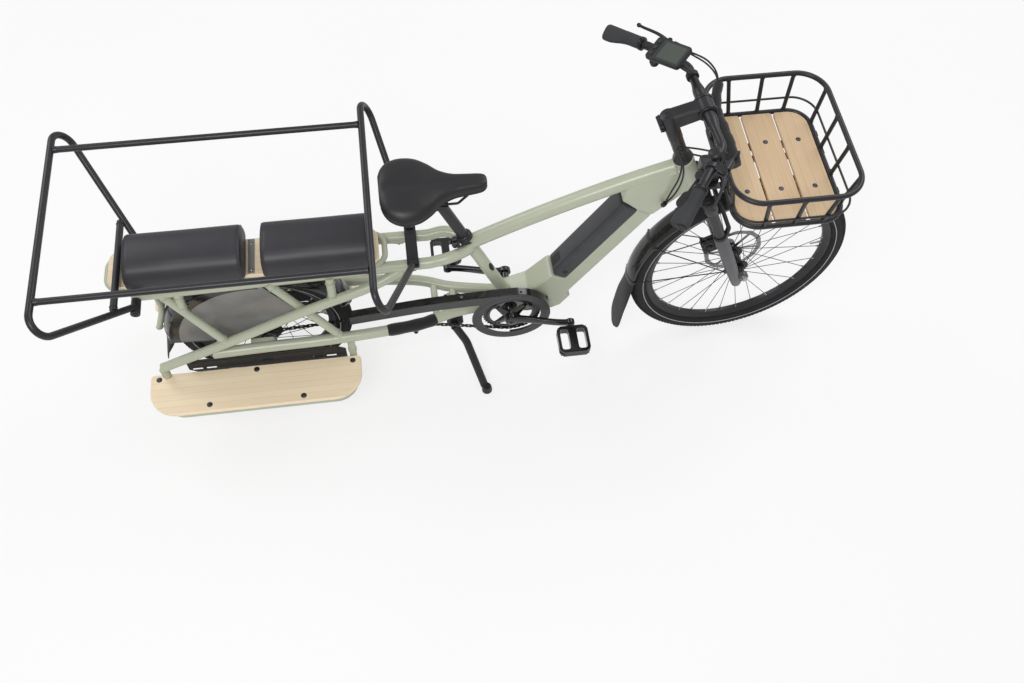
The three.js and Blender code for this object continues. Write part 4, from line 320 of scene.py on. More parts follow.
M = {
    "sage": surface("sage_paint", (0.45, 0.478, 0.362), 0.36, grain=900, strength=0.05, spread=0.035,
                    coat=0.35),
    "black": surface("satin_black", (0.018, 0.018, 0.021), 0.36, grain=1200, strength=0.12, spread=0.15,
                     coat=0.05, specular=0.4),
    "alloy_black": surface("anodised_black", (0.014, 0.014, 0.016), 0.3, 0.35, grain=1500, strength=0.06),
    "plastic": surface("moulded_plastic", (0.014, 0.014, 0.015), 0.5, grain=1600, strength=0.25,
                       distance=0.0003, specular=0.4),
    "gloss": surface("gloss_plastic", (0.005, 0.005, 0.006), 0.16, grain=50, strength=0.03, coat=0.4),
    "fork": surface("fork_paint", (0.085, 0.087, 0.093), 0.36, 0.2, grain=900, strength=0.05, coat=0.3),
    "tyre": surface("tyre_rubber", (0.014, 0.014, 0.015), 0.8, grain=700, strength=0.35, distance=0.0004,
                    cloud=20, spread=0.2, specular=0.4),
    "grip": surface("grip_rubber", (0.032, 0.033, 0.036), 0.75, grain=1500, strength=0.4, distance=0.0004,
                    pores=700),
    "jacket": surface("cable_jacket", (0.009, 0.009, 0.010), 0.5, grain=900),
    "vinyl": surface("cushion_vinyl", (0.026, 0.026, 0.032), 0.45, grain=500, strength=0.22, distance=0.0003,
                     pores=650, cloud=7, spread=0.2),
    "saddle": surface("saddle_skin", (0.0115, 0.0115, 0.0135), 0.42, grain=500, strength=0.3, distance=0.0003,
                      pores=800),
    "steel": surface("bright_steel", (0.42, 0.42, 0.43), 0.28, 1.0, grain=900, strength=0.08, spread=0.06),
    "dark_steel": surface("dark_steel", (0.075, 0.075, 0.08), 0.34, 0.9, grain=900, spread=0.15),
    "disc": surface("disc_steel", (0.28, 0.28, 0.29), 0.3, 1.0, grain=1500, spread=0.08),
    "battery": surface("battery_case", (0.040, 0.041, 0.045), 0.45, grain=1400, strength=0.2,
                       distance=0.0003),
    "neoprene": knit("neoprene", (0.012, 0.011, 0.012)),
    "smoked": surface("smoked_plastic", (0.25, 0.247, 0.242), 0.22, grain=60, strength=0.02, coat=0.3,
                      alpha=0.94),
    "bamboo": wood("bamboo_along", "x", (0.95, 0.80, 0.58), (0.84, 0.66, 0.45)),
    "planks": wood("bamboo_across", "y", (0.72, 0.535, 0.34), (0.52, 0.345, 0.18), 0.028),
    "orange": surface("reflector_orange", (0.75, 0.17, 0.02), 0.2, grain=300, strength=0.3, coat=0.7,
                      pores=300),
    "guard_face": surface("guard_face_plastic", (0.045, 0.046, 0.048), 0.42, grain=1400, strength=0.15,
                          distance=0.0003),
    "thread": surface("black_thread", (0.03, 0.03, 0.033), 0.7, grain=2000, strength=0.3),
    "line": surface("reflective_line", (0.42, 0.43, 0.44), 0.45, grain=900),
    "screen": surface("screen_glass", (0.010, 0.012, 0.014), 0.08, grain=40, strength=0.01, coat=1.0),
    "panel": surface("screen_panel", (0.055, 0.066, 0.055), 0.3, grain=200, strength=0.05, coat=0.5,
                     spread=0.08),
}


# Mesh code. Sizes are millimetres in the bike's own frame until a piece is made.
BOX_FACES = [[0, 1, 3, 2], [4, 6, 7, 5], [0, 4, 5, 1], [2, 3, 7, 6], [0, 2, 6, 4], [1, 5, 7, 3]]


class Shape:
    """Points and faces gathered for one piece, in the frame that its matrix gives."""
    def __init__(self, matrix=None):
        self.verts, self.faces, self.mats, self.mat = [], [], [], 0
        self.matrix = matrix or Matrix.Identity(4)

    def add(self, verts, faces):
        base = len(self.verts)
        self.verts += [self.matrix @ Vector(p) for p in verts]
        self.faces += [[base + i for i in face] for face in faces]
        self.mats += [self.mat] * len(faces)

    def add_mesh(self, work):
        """The faces of a bmesh, which is freed."""
        bmesh.ops.recalc_face_normals(work, faces=work.faces)
        work.verts.index_update()
        self.add([v.co.copy() for v in work.verts], [[v.index for v in f.verts] for f in work.faces])
        work.free()

    def skin(self, rings, closed=False):
        """A skin over rings of points, with an end cap at each end unless the rings close on themselves."""
        n, count = len(rings[0]), len(rings)
        faces = []
        for i in range(count if closed else count - 1):
            a, b = i * n, ((i + 1) % count) * n
            faces += [[a + j, a + (j + 1) % n, b + (j + 1) % n, b + j] for j in range(n)]
        if not closed:
            faces += [list(range(n))[::-1], [(count - 1) * n + j for j in range(n)]]
        self.add([p for ring in rings for p in ring], faces)

    def tube(self, points, radius, sides=18, closed=False):
        """A round tube along points, with one radius or a radius for each point."""
        points = [Vector(p) for p in points]
        radii = radius if isinstance(radius, list) else [radius] * len(points)
        rings, normal = [], None
        for i, p in enumerate(points):
            before = points[i - 1] if i or closed else p
            after = points[(i + 1) % len(points)] if i + 1 < len(points) or closed else p
            back, ahead = (p - before).normalized(), (after - p).normalized()
            run = (back + ahead).normalized()
            if normal is None:
                normal = run.orthogonal().normalized()
            normal = (normal - run * normal.dot(run)).normalized()
            other = run.cross(normal)
            bend = max(0.5, (back.dot(run) if back.length else 1) or 1)
            ring = []
            for a in angles(sides):
                out = normal * math.cos(a) + other * math.sin(a)
                across = ahead - back
                if back.length and ahead.length and bend < 1 and across.length > 1e-6:
                    across.normalize()
                    out = out + across * out.dot(across) * (1 / bend - 1)
                ring.append(p + out * radii[i])
            rings.append(ring)
        self.skin(rings, closed)

    def rod(self, a, b, radius, sides=18, end=None):
        self.tube([a, b], [radius, radius if end is None else end], sides)

    def lathe(self, profile, centre=(0, 0, 0), axis=Z, segments=64, closed=True):
        """A profile of (radius, height) turned round an axis."""
        axis = Vector(axis).normalized()
        u = axis.orthogonal().normalized() if abs(axis.y) < 0.99 else X
        w = axis.cross(u)
        n = len(profile)
        verts = []
        for a in angles(segments):
            out = u * math.cos(a) + w * math.sin(a)
            verts += [Vector(centre) + out * r + axis * h for r, h in profile]
        faces = []
        for i in range(segments):
            a, b = i * n, ((i + 1) % segments) * n
            for j in range(n if closed else n - 1):
                k = (j + 1) % n
                if profile[j][0] or profile[k][0]:
                    faces.append([a + j, b + j, b + k, a + k])
        self.add(verts, faces)

    def box(self, x0, x1, y0, y1, z0, z1):
        self.add(block((x0, x1), (y0, y1), (z0, z1)), BOX_FACES)

    def prism(self, outline, low, high, plane="xz", holes=()):
        """A flat outline given a thickness along the axis that its plane lacks, with holes cut through."""
        work = bmesh.new()
        edges = []
        for loop in (outline, *holes):
            verts = [work.verts.new((x, low, y) if plane == "xz" else (x, y, low)) for x, y in loop]
            edges += [work.edges.new((verts[i], verts[(i + 1) % len(verts)])) for i in range(len(verts))]
        bmesh.ops.triangle_fill(work, use_beauty=True, use_dissolve=False, edges=edges)
        out = bmesh.ops.extrude_face_region(work, geom=list(work.faces))
        along = Y if plane == "xz" else Z
        step = along * high - along * low
        bmesh.ops.translate(work, vec=step,
                            verts=[g for g in out["geom"] if isinstance(g, bmesh.types.BMVert)])
        bmesh.ops.dissolve_limit(work, angle_limit=0.01, verts=work.verts, edges=work.edges)
        self.add_mesh(work)

    def hull(self, points):
        """The smallest bulging form that holds all the points."""
        work = bmesh.new()
        for p in points:
            work.verts.new(p)
        out = bmesh.ops.convex_hull(work, input=work.verts)
        inside = [g for g in out["geom_interior"] if isinstance(g, bmesh.types.BMVert)]
        bmesh.ops.delete(work, geom=inside, context="VERTS")
        bmesh.ops.dissolve_limit(work, angle_limit=0.02, verts=work.verts, edges=work.edges)
        self.add_mesh(work)

    def weld(self, centre, axis, radius, bead=2.2):
        """A rippled bead round a tube where it meets another."""
        axis = Vector(axis).normalized()
        u = axis.orthogonal().normalized()
        w = axis.cross(u)
        path = [Vector(centre) + (u * math.cos(a) + w * math.sin(a)) * radius for a in angles(64)]
        self.tube(path, [bead * (1 + 0.16 * math.sin(k * 1.57)) for k in range(64)], 8, closed=True)

    def bolt(self, p, up=Z, radius=6, height=1.5, sunk=0.5):
        """A round head with a round socket."""
        self.lathe([(0, -sunk), (radius, -sunk), (radius, height * 0.5), (radius * 0.8, height),
                    (radius * 0.45, height), (radius * 0.42, height * 0.3), (0, height * 0.3)], p, up, 20)

    def make(self, name, body, looks, replaces, bevel=0.0, angle=35, segments=2):
        """The finished piece, riding on its body in place of the solid that it replaces."""
        mesh = bpy.data.meshes.new(name)
        mesh.from_pydata([(p + SHIFT) * MM for p in self.verts], [], self.faces)
        for look_name in listed(looks):
            mesh.materials.append(M[look_name])
        mesh.polygons.foreach_set("material_index", self.mats)
        work = bmesh.new()
        work.from_mesh(mesh)
        bmesh.ops.recalc_face_normals(work, faces=work.faces)
        work.to_mesh(mesh)
        work.free()
        mesh.shade_smooth()
        mesh.set_sharp_from_angle(angle=math.radians(angle))
        piece = bpy.data.objects.new(name, mesh)
        bpy.context.scene.collection.objects.link(piece)
        if bevel:
            edge = piece.modifiers.new("bevel", "BEVEL")
            edge.width = bevel * MM
            edge.segments = segments
            edge.limit_method = "ANGLE"
            edge.angle_limit = math.radians(40)
            edge.harden_normals = True
        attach(piece, body)
        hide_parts(*listed(replaces))
        return piece


def collar(inner, outer, half, edge=1.0, rise=1.0):
    """The profile of a round collar with its two outer edges taken off."""
    return [(inner, -half), (outer - edge, -half), (outer, rise - half),
            (outer, half - rise), (outer - edge, half), (inner, half)]


def dress(nodes, look_name):
    for node in nodes:
        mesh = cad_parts[node].data
        mesh.materials.clear()
        mesh.materials.append(M[look_name])


def on_axis(s):
    return HEAD_FOOT + V(-math.cos(HEAD_ANGLE), 0, math.sin(HEAD_ANGLE)) * s


# Wheels
def tread(shape, centre, width, count):
    """Small slanted blocks in six rows on the crown and shoulders of a tyre."""
    base, top = width / 2 - 3.1, width / 2 - 0.3
    rows = ((-50, 7, 0.3), (-30, 8, 0.0), (-10, 8, 0.5), (10, 8, 0.0), (30, 8, 0.5), (50, 7, 0.2))
    for across, half, shift in rows:
        lean = 0.16 if across < 0 else -0.16
        for k in range(count):
            verts = []
            for reach in (base, top - 0.3 * (abs(across) > 40)):
                for tilt, slant in ((math.radians(across - half), -lean),
                                    (math.radians(across + half), lean)):
                    for t in (-0.33, 0.33):
                        angle = 2 * math.pi * (k + shift + t + slant) / count
                        verts.append(polar(centre + reach * math.cos(tilt), angle, reach * math.sin(tilt)))
            shape.add(verts, BOX_FACES)


def brake_disc(shape, radius, y, hub):
    """A waved ring with two rows of holes, held by six slanted arms on a bolted centre."""
    waves, arms = 12, 6
    edge = [(a, radius - 1.2 + 1.2 * math.cos(waves * a)) for a in angles(144)]
    holes = [circle(radius - 15, 72)]
    for k, a in enumerate(angles(24)):
        reach = radius - (5 if k % 2 else 9.5)
        holes.append(circle(2.1, 8, reach * math.cos(a), reach * math.sin(a)))
    shape.prism([(r * math.cos(a), r * math.sin(a)) for a, r in edge], y - 1, y + 1, "xz", holes)
    for a in angles(arms):
        foot, tip = polar(hub + 3, a + 0.5, y), polar(radius - 13, a, y)
        side = (tip - foot).cross(Y).normalized()
        shape.hull([p + side * w + Y * h for p, half in ((foot, 5), (tip, 3.5)) for w in (-half, half)
                    for h in BOTH])
    shape.prism(circle(hub + 9, 40), y - 1.6, y + 1.6, "xz", [circle(hub, 40)])
    for a in angles(arms):
        shape.bolt(polar(hub + 5, a + 0.3, y + 1.6), Y, 2.6, 1.2)


def tyre(where, matrix, centre, width, bead, blocks):
    shape = Shape(matrix)
    carcass = width / 2 - 2.5
    arc = [math.radians(-120 + 10 * k) for k in range(25)]
    outer = [(centre + carcass * math.cos(a), carcass * math.sin(a)) for a in arc]
    shape.lathe([*outer, (bead, 14), (bead, -14)], axis=Y, segments=144)
    tread(shape, centre, width, blocks)
    shape.mat = 1
    for side in BOTH:
        stripe = ((carcass - 0.4, 1.80), (carcass - 0.4, 1.90), (carcass + 0.35, 1.89),
                  (carcass + 0.35, 1.81))
        shape.lathe([(centre + r * math.cos(a), side * r * math.sin(a)) for r, a in stripe], axis=Y,
                    segments=144)
    shape.make(where + "_tyre_detailed", where + "_wheel", ["tyre", "line"], where + "_tyre", angle=32)


def rim(where, matrix, top, inner):
    shape = Shape(matrix)
    half_section = [(top - 2, 11.6), (top, 13), (top - 1.2, 14), (top - 7.3, 14), (top - 10, 12.5),
                    (top - 17, 7.5),
                    (inner, 5)]
    shape.lathe(half_section + [(r, -y) for r, y in half_section[::-1]], axis=Y, segments=144)
    shape.make(where + "_rim_detailed", where + "_wheel", "black", where + "_rim", angle=28)


def spokes(where, matrix, inner, flange, flange_half, count=32):
    """Crossed spokes with their heads and nipples, and the valve."""
    shape = Shape(matrix)
    for k, a in enumerate(angles(count)):
        side = -1 if k % 2 else 1
        root = polar(flange - 2.5, a + side * 2 * math.pi / 9, side * flange_half)
        tip = polar(inner + 1, a, side * 2.8)
        shape.mat = 0
        shape.rod(root, tip, 1.0, 8)
        shape.rod(root - Y * side * 3.2, root + Y * side * 2.6, 1.0, 8)
        shape.mat = 1
        shape.rod(tip - (tip - root).normalized() * 10, tip, 2.1, 8, 3.2)
    for low, high, radius in ((34, 12, 2.6), (12, -1, 3.4)):
        shape.rod(polar(inner - low, 0.1), polar(inner - high, 0.1), radius, 12)
    shape.make(where + "_spokes", where + "_wheel", ["dark_steel", "steel"], where + "_hub", angle=40)


def wheel(where, matrix, radius, width, size, disc, disc_y, blocks):
    hub, half, end, body_half, flange_half, flange = size
    centre = radius - width / 2
    bead = centre - width / 4 - 4.5
    inner = bead - 22.3
    tyre(where, matrix, centre, width, bead, blocks)
    rim(where, matrix, bead - 0.3, inner)
    spokes(where, matrix, inner, flange, flange_half)
    shell = Shape(matrix)
    barrel = hub - 2 if where == "front" else hub
    profile = [(6.35, half), (end - 1, half), (end, half - 1), (end, body_half + 4), (end + 2, body_half + 1),
               (hub, body_half), (hub, flange_half + 3), (hub + 3, flange_half + 2),
               (flange - 1, flange_half + 2),
               (flange, flange_half + 1), (flange, flange_half - 1), (flange - 1, flange_half - 2),
               (hub + 3, flange_half - 2), (hub, flange_half - 4), (barrel, flange_half - 8)]
    shell.lathe([*profile, *[(r, -y) for r, y in profile[::-1]]], axis=Y)
    if where == "rear":
        for side in BOTH:
            for k in range(8):
                shell.bolt(polar(hub - 9, 2 * math.pi * (k + 0.5) / 8, side * body_half), Y * side, 3, 1.6)
    shell.make(where + "_hub_shell", where + "_wheel", "alloy_black", where + "_hub", angle=30)
    rotor = Shape(matrix)
    brake_disc(rotor, disc, disc_y, end)
    rotor.make(where + "_brake_disc", where + "_wheel", "disc", where + "_hub", angle=30)


FRONT_RADIUS, FRONT_WIDTH, REAR_RADIUS, REAR_WIDTH = 333, 57, 258, 60
FRONT_HUB = (14, 54.6, 9, 36, 26, 26)
REAR_HUB = (46, 57.4, 13, 40, 31, 52)
wheel("front", STEERING @ moved(FRONT_AXLE) @ turn(22, "Y"), FRONT_RADIUS, FRONT_WIDTH, FRONT_HUB,
      90, 39, 150)
wheel("rear", moved(REAR_AXLE), REAR_RADIUS, REAR_WIDTH, REAR_HUB, 80, 54, 118)


# Fork
def leg(side, z=0.0):
    return V(LEG_X, side * LEG_Y, z)


crown = Shape(STEERING)
half_plan = [(38, 0), (38, 28), (32, 52), (31, 66), (12, 66), (4, 40), (-20, 26), (-24, 0)]
plan = soft_outline(half_plan[:-1] + [(x, -y) for x, y in half_plan[::-1][:-1]], 5, 3)
crown.hull([V(x, y, z) for x, y in plan for z in (391, 417)]
           + [V(x * 0.92, y * 0.95, z) for x, y in plan for z in (388.3, 420)])
for side in BOTH:
    crown.lathe([(15, 372), (17.5, 374), (20, 384), (20, 421), (18.5, 424.5), (0, 425)], leg(side), Z, 40,
                closed=False)
    crown.bolt(leg(side, 424.5), Z, 9, 2.5)
    crown.lathe([(0, 168), (13, 168), (15, 170), (15, 386), (0, 386)], leg(side), Z, 40)
crown.lathe([(0, 418), (24, 418), (24, 427), (22, 431.5), (19.6, 431.8), (19.6, 440), (0, 440)], segments=48)
crown.rod((0, 0, 430), (0, 0, 689), 14.3, 32)
crown.make("fork_crown_detailed", "steering", "black", "fork_crown", bevel=0.8, angle=30)

lowers = Shape(STEERING)
for side in BOTH:
    lowers.lathe([(0, -22), (10, -22), (13.5, -20.4), (15, -17), (16.4, 20), (19, 70), (19, 243), (18.2, 247),
                  (16.8, 250), (15.4, 250), (15.4, 236)], leg(side), Z, 48, closed=False)
    nose = [FRONT_AXLE + polar(14, math.pi * k / 8 - math.pi / 2) for k in range(9)]
    lowers.prism([*flat(nose), (26, 16), (14, 12), (14, -14), (26, -14)], side * 55, side * 69)
lowers.make("fork_lowers_detailed", "fork_lowers", "fork", "fork_lowers", bevel=1.2)

brace = Shape(STEERING)
half_route = [V(30, 62, 225), V(52, 56, 262), V(52, 28.5, 349)]
route = rounded(half_route + [mirror(p) for p in half_route[::-1]], 16, 8)
brace.tube(route, [7.2 - 1.4 * ease(min(i, len(route) - 1 - i) / 12) for i in range(len(route))], 20)
for side in BOTH:
    brace.lathe([(15.5, 243), (19.4, 243), (19.4, 251), (17, 254), (15.5, 254)], leg(side), Z, 40)
brace.make("fork_brace", "fork_lowers", "black", "fork_lowers", angle=40)

caliper = Shape(STEERING)
cheek = ((-30, 52), (-36.5, 60), (-36.5, 88), (-28, 99), (4, 99), (12, 90), (12, 58), (4, 51))
caliper.hull(wall(cheek, (25.5, 36.8)))
caliper.hull(wall(cheek, (41.2, 52.5)))
caliper.box(-36, -27, 36, 42, 62, 88)
for z in (62, 87):
    caliper.bolt(V(-10, 52.5, z), Y, 5, 3)
caliper.rod((-30, 45, 96), (-30, 45, 112), 3.6, 14)
caliper.lathe([(0, 25.5), (11, 25.5), (11, 23.4), (9, 22.4), (0, 22.4)], (-14, 0, 76), Y, 28)
caliper.make("front_caliper", "fork_lowers", "alloy_black", "fork_lowers", bevel=1.4)

axle = Shape(STEERING)
axle.rod(FRONT_AXLE - Y * 73, FRONT_AXLE + Y * 73, 6, 24)
for side in BOTH:
    axle.prism(circle(9, 6, FRONT_AXLE.x), side * 69.3, side * 77)
    axle.rod(FRONT_AXLE + Y * side * 69.3, FRONT_AXLE + Y * side * 70.8, 11, 28)
axle.make("front_axle_detailed", "fork_lowers", "steel", "front_axle", bevel=0.5)


# Mudguards
def guard_section(half, lip, thick=2.2, steps=16):
    """Across and up places round the thin curved section of a mudguard."""
    edge = math.radians(100)
    low = math.cos(edge)
    outer, inner = [], []
    for k in range(steps + 1):
        a = edge * (2 * k / steps - 1)
        share = (math.cos(a) - low) / (1 - low)
        outer.append((half * math.sin(a), (lip + 3) * share - lip))
        inner.append(((half - thick) * math.sin(a), (lip + 3 - thick) * share - lip))
    return outer + inner[::-1]


def mudguard(name, body, matrix, centre, radius, reach, steps, section, tail):
    """A curved guard from one angle to another, then a flap that runs down to its tail."""
    shape = Shape(matrix)
    rings = []
    for k in range(steps + 1):
        out = polar(1, math.radians(mix(*reach, k / steps)))
        narrow = 0.55 + 0.45 * ease(k / 3)
        rings.append([centre + out * (radius + up * narrow) + Y * across * narrow for across, up in section])
    shape.skin(rings)
    foot, flap_steps = centre + out * radius, 16
    flap = [rings[-1]]
    for k in range(1, flap_steps + 1):
        s = k / flap_steps
        tip = max(0, (s - 0.72) / 0.28)
        width = (1 + 0.3 * ease(s * 2.2)) * math.sqrt(max(0.12, 1 - tip ** 2.8))
        rise = 1 - 0.75 * ease(s * 1.8)
        flap.append([mix(foot, tail, s) + out * up * rise + Y * across * width for across, up in section])
    shape.mat = 1
    shape.skin(flap)
    shape.make(name, body, ["gloss", "plastic"], name.replace("_detailed", ""), angle=50)


def guard_bands(shape, centre, reach, widen, section, degrees_list):
    """Narrow bands laid over a mudguard."""
    for degrees in degrees_list:
        outs = [polar(1, math.radians(degrees + edge)) for edge in (-0.9, 0.9)]
        shape.skin([[centre + out * (reach + up) + Y * across * widen for across, up in section]
                    for out in outs])


mudguard("front_mudguard_detailed", "fork_lowers", STEERING, FRONT_AXLE, 342, (103.5, 158), 44,
         guard_section(33, 12),
         V(-378, 0, -86))
stays = Shape(STEERING)
guard_bands(stays, FRONT_AXLE, 342.9, 1.035, guard_section(33, 12, 3.4), (109, 128, 156))
for side in BOTH:
    for degrees in (128, 156):
        tip = FRONT_AXLE + polar(333, math.radians(degrees), side * 34.5)
        stays.rod((0.5, side * LEG_Y, 60), tip, 1.7, 10)
        stays.rod(tip - Y * side * 3.4, tip + Y * side * 2.5, 4, 14)
    stays.bolt(V(1.5, side * LEG_Y, 60), -X, 5.5, 4, 2)
stays.make("front_mudguard_stays", "fork_lowers", "black", "front_mudguard", bevel=0.3)


# Handlebar and stem
BAR_BEND, GRIP_START = V(91, 138, 709), V(21, 230, 733)
GRIP_AXIS = V(-0.631, 0.769, 0.099).normalized()
BAR_TIP = GRIP_START + GRIP_AXIS * 129.7
MOUNT = GRIP_START.lerp(BAR_BEND, 0.42)
BAR_RUN = (BAR_BEND - GRIP_START).normalized()
BAR_AHEAD = V(-BAR_RUN.y, BAR_RUN.x, 0).normalized()
BAR_INNER = 11.4


def off(ahead, out, up=0):
    """A place beside the brake mount: ahead of the bar, out along it and up."""
    return MOUNT + BAR_AHEAD * ahead - BAR_RUN * out + Z * up


half_bar = rounded([BAR_TIP, GRIP_START, BAR_BEND, BAR_CLAMP], 40, 10)[:-1]
half_bar += [BAR_BEND.lerp(BAR_CLAMP, t) for t in (0.42, 0.5, 0.56, 0.62, 0.66, 0.8, 1)]
bar_path = half_bar + [mirror(p) for p in half_bar[::-1][1:]]
handlebar = Shape(STEERING)
handlebar.tube(bar_path, [11.1 + 4.8 * (1 - ease((abs(p.y) - 50) / 32)) for p in bar_path], 36)
handlebar.make("handlebar_detailed", "steering", "black", "handlebar", angle=50)

stem = Shape(STEERING)
stem.lathe([(14.7, 548), (19.6, 548), (19.6, 556.3), (26, 556.3), (26.5, 559), (25, 566), (20, 575),
            (18.2, 580),
            (17.5, 588), (17.5, 640), (18.6, 643), (18.6, 676), (17.8, 680), (17.8, 692),
            (14.7, 692)], segments=56)
stem.lathe([(0, 689), (20, 689), (21.5, 691), (21.5, 728), (20, 732.5), (15, 735), (0, 735)], segments=56)
stem.bolt(V(0, 0, 735), Z, 10, 1.6)
neck = []
for x, half, low, high in ((4, 18, 690, 735), (50, 17, 689, 730), (88, 20, 687, 722)):
    neck += block((x,), (-half, half), (low + 3, high - 3)) + block((x,), (4 - half, half - 4), (low, high))
stem.hull(neck)
stem.lathe(collar(16.3, 23, 26, 1.5, 1.5), BAR_CLAMP, Y, 56)
for y in (-19, 19):
    stem.lathe(collar(16.3, 24.8, 4, 0.4), BAR_CLAMP + Y * y, Y, 56)
    for z in (688, 722):
        stem.rod((84, y, z), (99, y, z), 5, 18)
        stem.bolt(V(99, y, z), X, 4, 2)
stem.hull([V(x, y, z) for x, y in ((-18, 15), (-29, 12), (-29, -12), (-18, -15)) for z in (694, 729)])
for z in (702, 721):
    for side in BOTH:
        stem.bolt(V(-23.5, side * 14, z), Y * side, 4.6, 3, 2)
stem.rod((23.6, 0, 598), (23.6, 0, 632), 0.1, 6)
stem.make("stem_detailed", "steering", "black", "stem", bevel=1.0, angle=32)


# Grips and controls
def grip(side, hand):
    """A ribbed grip that widens into a wing under the palm, with its clamp ring and end cap."""
    rear = V(-GRIP_AXIS.y, GRIP_AXIS.x, 0).normalized()
    up = GRIP_AXIS.cross(rear)
    if up.z < 0:
        up = -up
    rings, steps, wing_depth = [], 84, 15
    for k in range(steps + 1):
        s = k / steps
        middle = GRIP_START + GRIP_AXIS * (24 + s * 108)
        wing = ease((s - 0.3) / 0.5) * (1 - 0.18 * ease((s - 0.9) / 0.1))
        close = 1 - 0.12 * ease((s - 0.965) / 0.035)
        ridge = (0.45 if (k // 2) % 2 else -0.45) if 0.04 < s < 0.5 else 0
        ring = []
        for a in angles(32):
            back = max(0, math.cos(a))
            x = (16.2 + ridge * (1 - 0.6 * back)) * math.cos(a) + wing_depth * wing * back ** 1.4
            z = (15.4 + ridge) * math.sin(a) * (1 - 0.3 * wing * back ** 1.6) + 1.2 * wing * back
            ring.append(middle + rear * x * close + up * z * close)
        rings.append(ring)
    shape = Shape(side_matrix(side))
    shape.skin(rings)
    shape.mat = 1
    shape.lathe([(BAR_INNER, 19), (17, 19), (17.6, 20), (17.6, 27), (16.6, 28.5), (BAR_INNER, 28.5)],
                GRIP_START,
                GRIP_AXIS, 40)
    shape.bolt(GRIP_START + GRIP_AXIS * 23.5 + up * 17, up, 3, 2, 1.5)
    shape.lathe([(0, 131), (10.5, 131), (11.5, 133), (9.5, 134.4), (6, 134.4), (5.5, 133.4), (0, 133.4)],
                GRIP_START,
                GRIP_AXIS, 32)
    shape.make("grip_%s_detailed" % hand, "steering", ["grip", "alloy_black"], "grip_" + hand, angle=60)


LEVER_PIVOT, POD = off(36, 12), off(-24, 22)


def brake_mount(side, hand):
    """Bar clamp, lever ears, brake cylinder with its cap, and the shifter's round pod below."""
    shape = Shape(side_matrix(side))
    shape.lathe(collar(BAR_INNER, 16, 7), MOUNT, BAR_RUN, 40)
    for heights in ((-10.3, -6.4), (6.4, 10.3)):
        shape.hull(column(off(12, 0), 8, 10, heights) + column(LEVER_PIVOT, 8, 10, heights))
    shape.hull(column(off(17, 1), 7, 10, (-9, 9)))
    shape.lathe([(0, -2), (7.5, -2), (9, 0), (9, 24), (8.2, 26), (8.2, 29), (6, 30), (0, 30)], off(36, 0),
                BAR_RUN, 32)
    shape.rod(LEVER_PIVOT - Z * 11.5, LEVER_PIVOT + Z * 11.5, 2.5, 14)
    shape.bolt(LEVER_PIVOT + Z * 11, Z, 4.5, 1.6)
    levels = ((11, 6, -4), (11, 6, 0), (9, 4.5, 1.6))
    shape.hull([off(30 + v * wide, -12 + u * long, 8.5 + z) for long, wide, z in levels for u in BOTH
                for v in BOTH])
    shape.lathe([(0, -20), (10.5, -20), (12, -18.5), (12, -8), (10, -6), (0, -6)], POD, Z, 36)
    shape.rod(POD - Z * 30, POD - Z * 8, 2.5, 14)
    arm = ((0, 6, -14, -12), (-14, 12, -17, -9), (-14, 20, -17, -9), (-4, 7, -15, -11))
    shape.hull([off(ahead, out, z) for ahead, out, *heights in arm for z in heights])
    shape.make("brake_mount_%s_detailed" % hand, "steering", "black", "brake_mount_" + hand, bevel=0.6)


def brake_lever(side, hand):
    """A blade that bows away from the bar and ends in a ball."""
    shape = Shape(side_matrix(side))
    run = (GRIP_AXIS * math.cos(0.16) + BAR_AHEAD * math.sin(0.16)).normalized()
    cross = Z.cross(run).normalized()
    bow = 3.2 if cross.dot(BAR_AHEAD) > 0 else -3.2
    rings, steps = [], 24
    for k in range(steps + 1):
        s = k / steps
        middle = LEVER_PIVOT + run * (4 + 99 * s) + cross * bow * math.sin(math.pi * s * 1.4)
        wide, high = 4.6 - s, 6 - 2.2 * ease(s * 1.5)
        rings.append([middle + cross * wide * math.cos(a) + Z * high * math.sin(a) for a in angles(16)])
    shape.skin(rings)
    shape.lathe([(0, -6), (4, -5), (5.8, -1.5), (5.8, 1.5), (4, 5), (0, 6)], middle + run * 3, run, 24)
    shape.rod(LEVER_PIVOT - Z * 6, LEVER_PIVOT + Z * 6, 6, 24)
    name = "brake_lever_" + hand
    shape.make(name + "_detailed", name, "black", name, bevel=0.4, angle=45)


for side, hand in HANDS:
    grip(side, hand)
    brake_mount(side, hand)
    brake_lever(side, hand)

paddle = Shape(side_matrix(-1))
tip = POD + GRIP_AXIS * 72 - BAR_AHEAD * 18
tip.z = POD.z
neck = POD.lerp(tip, 0.75)
paddle.hull(column(POD, 8, 16, (-27.3, -20.3)) + column(neck, 6, 16, (-27.3, -20.3)))
paddle.hull(column(tip, 15, 24, (-27, -21)) + column(neck, 14, 24, (-27, -21)))
paddle.make("shift_paddle_detailed", "shift_paddle", "plastic", "shift_paddle", bevel=1.2)

bell = Shape(side_matrix(-1))
centre = GRIP_START.lerp(BAR_BEND, 0.68)
bell.lathe(collar(BAR_INNER, 16, 5, 1.5), centre, BAR_RUN, 36)
bell.rod(centre + Z * 12, centre + Z * 22, 5, 20)
bell.lathe([(0, 17), (15, 17), (17.5, 19), (17.6, 21), (16.5, 25), (12.5, 28), (6, 29.2), (0, 29.4)], centre,
           Z, 48)
bell.rod(centre + V(14, 6, 18), centre + V(25, 10, 20), 2.2, 12)
bell.make("bell_detailed", "steering", "black", "bell", bevel=0.5, angle=40)


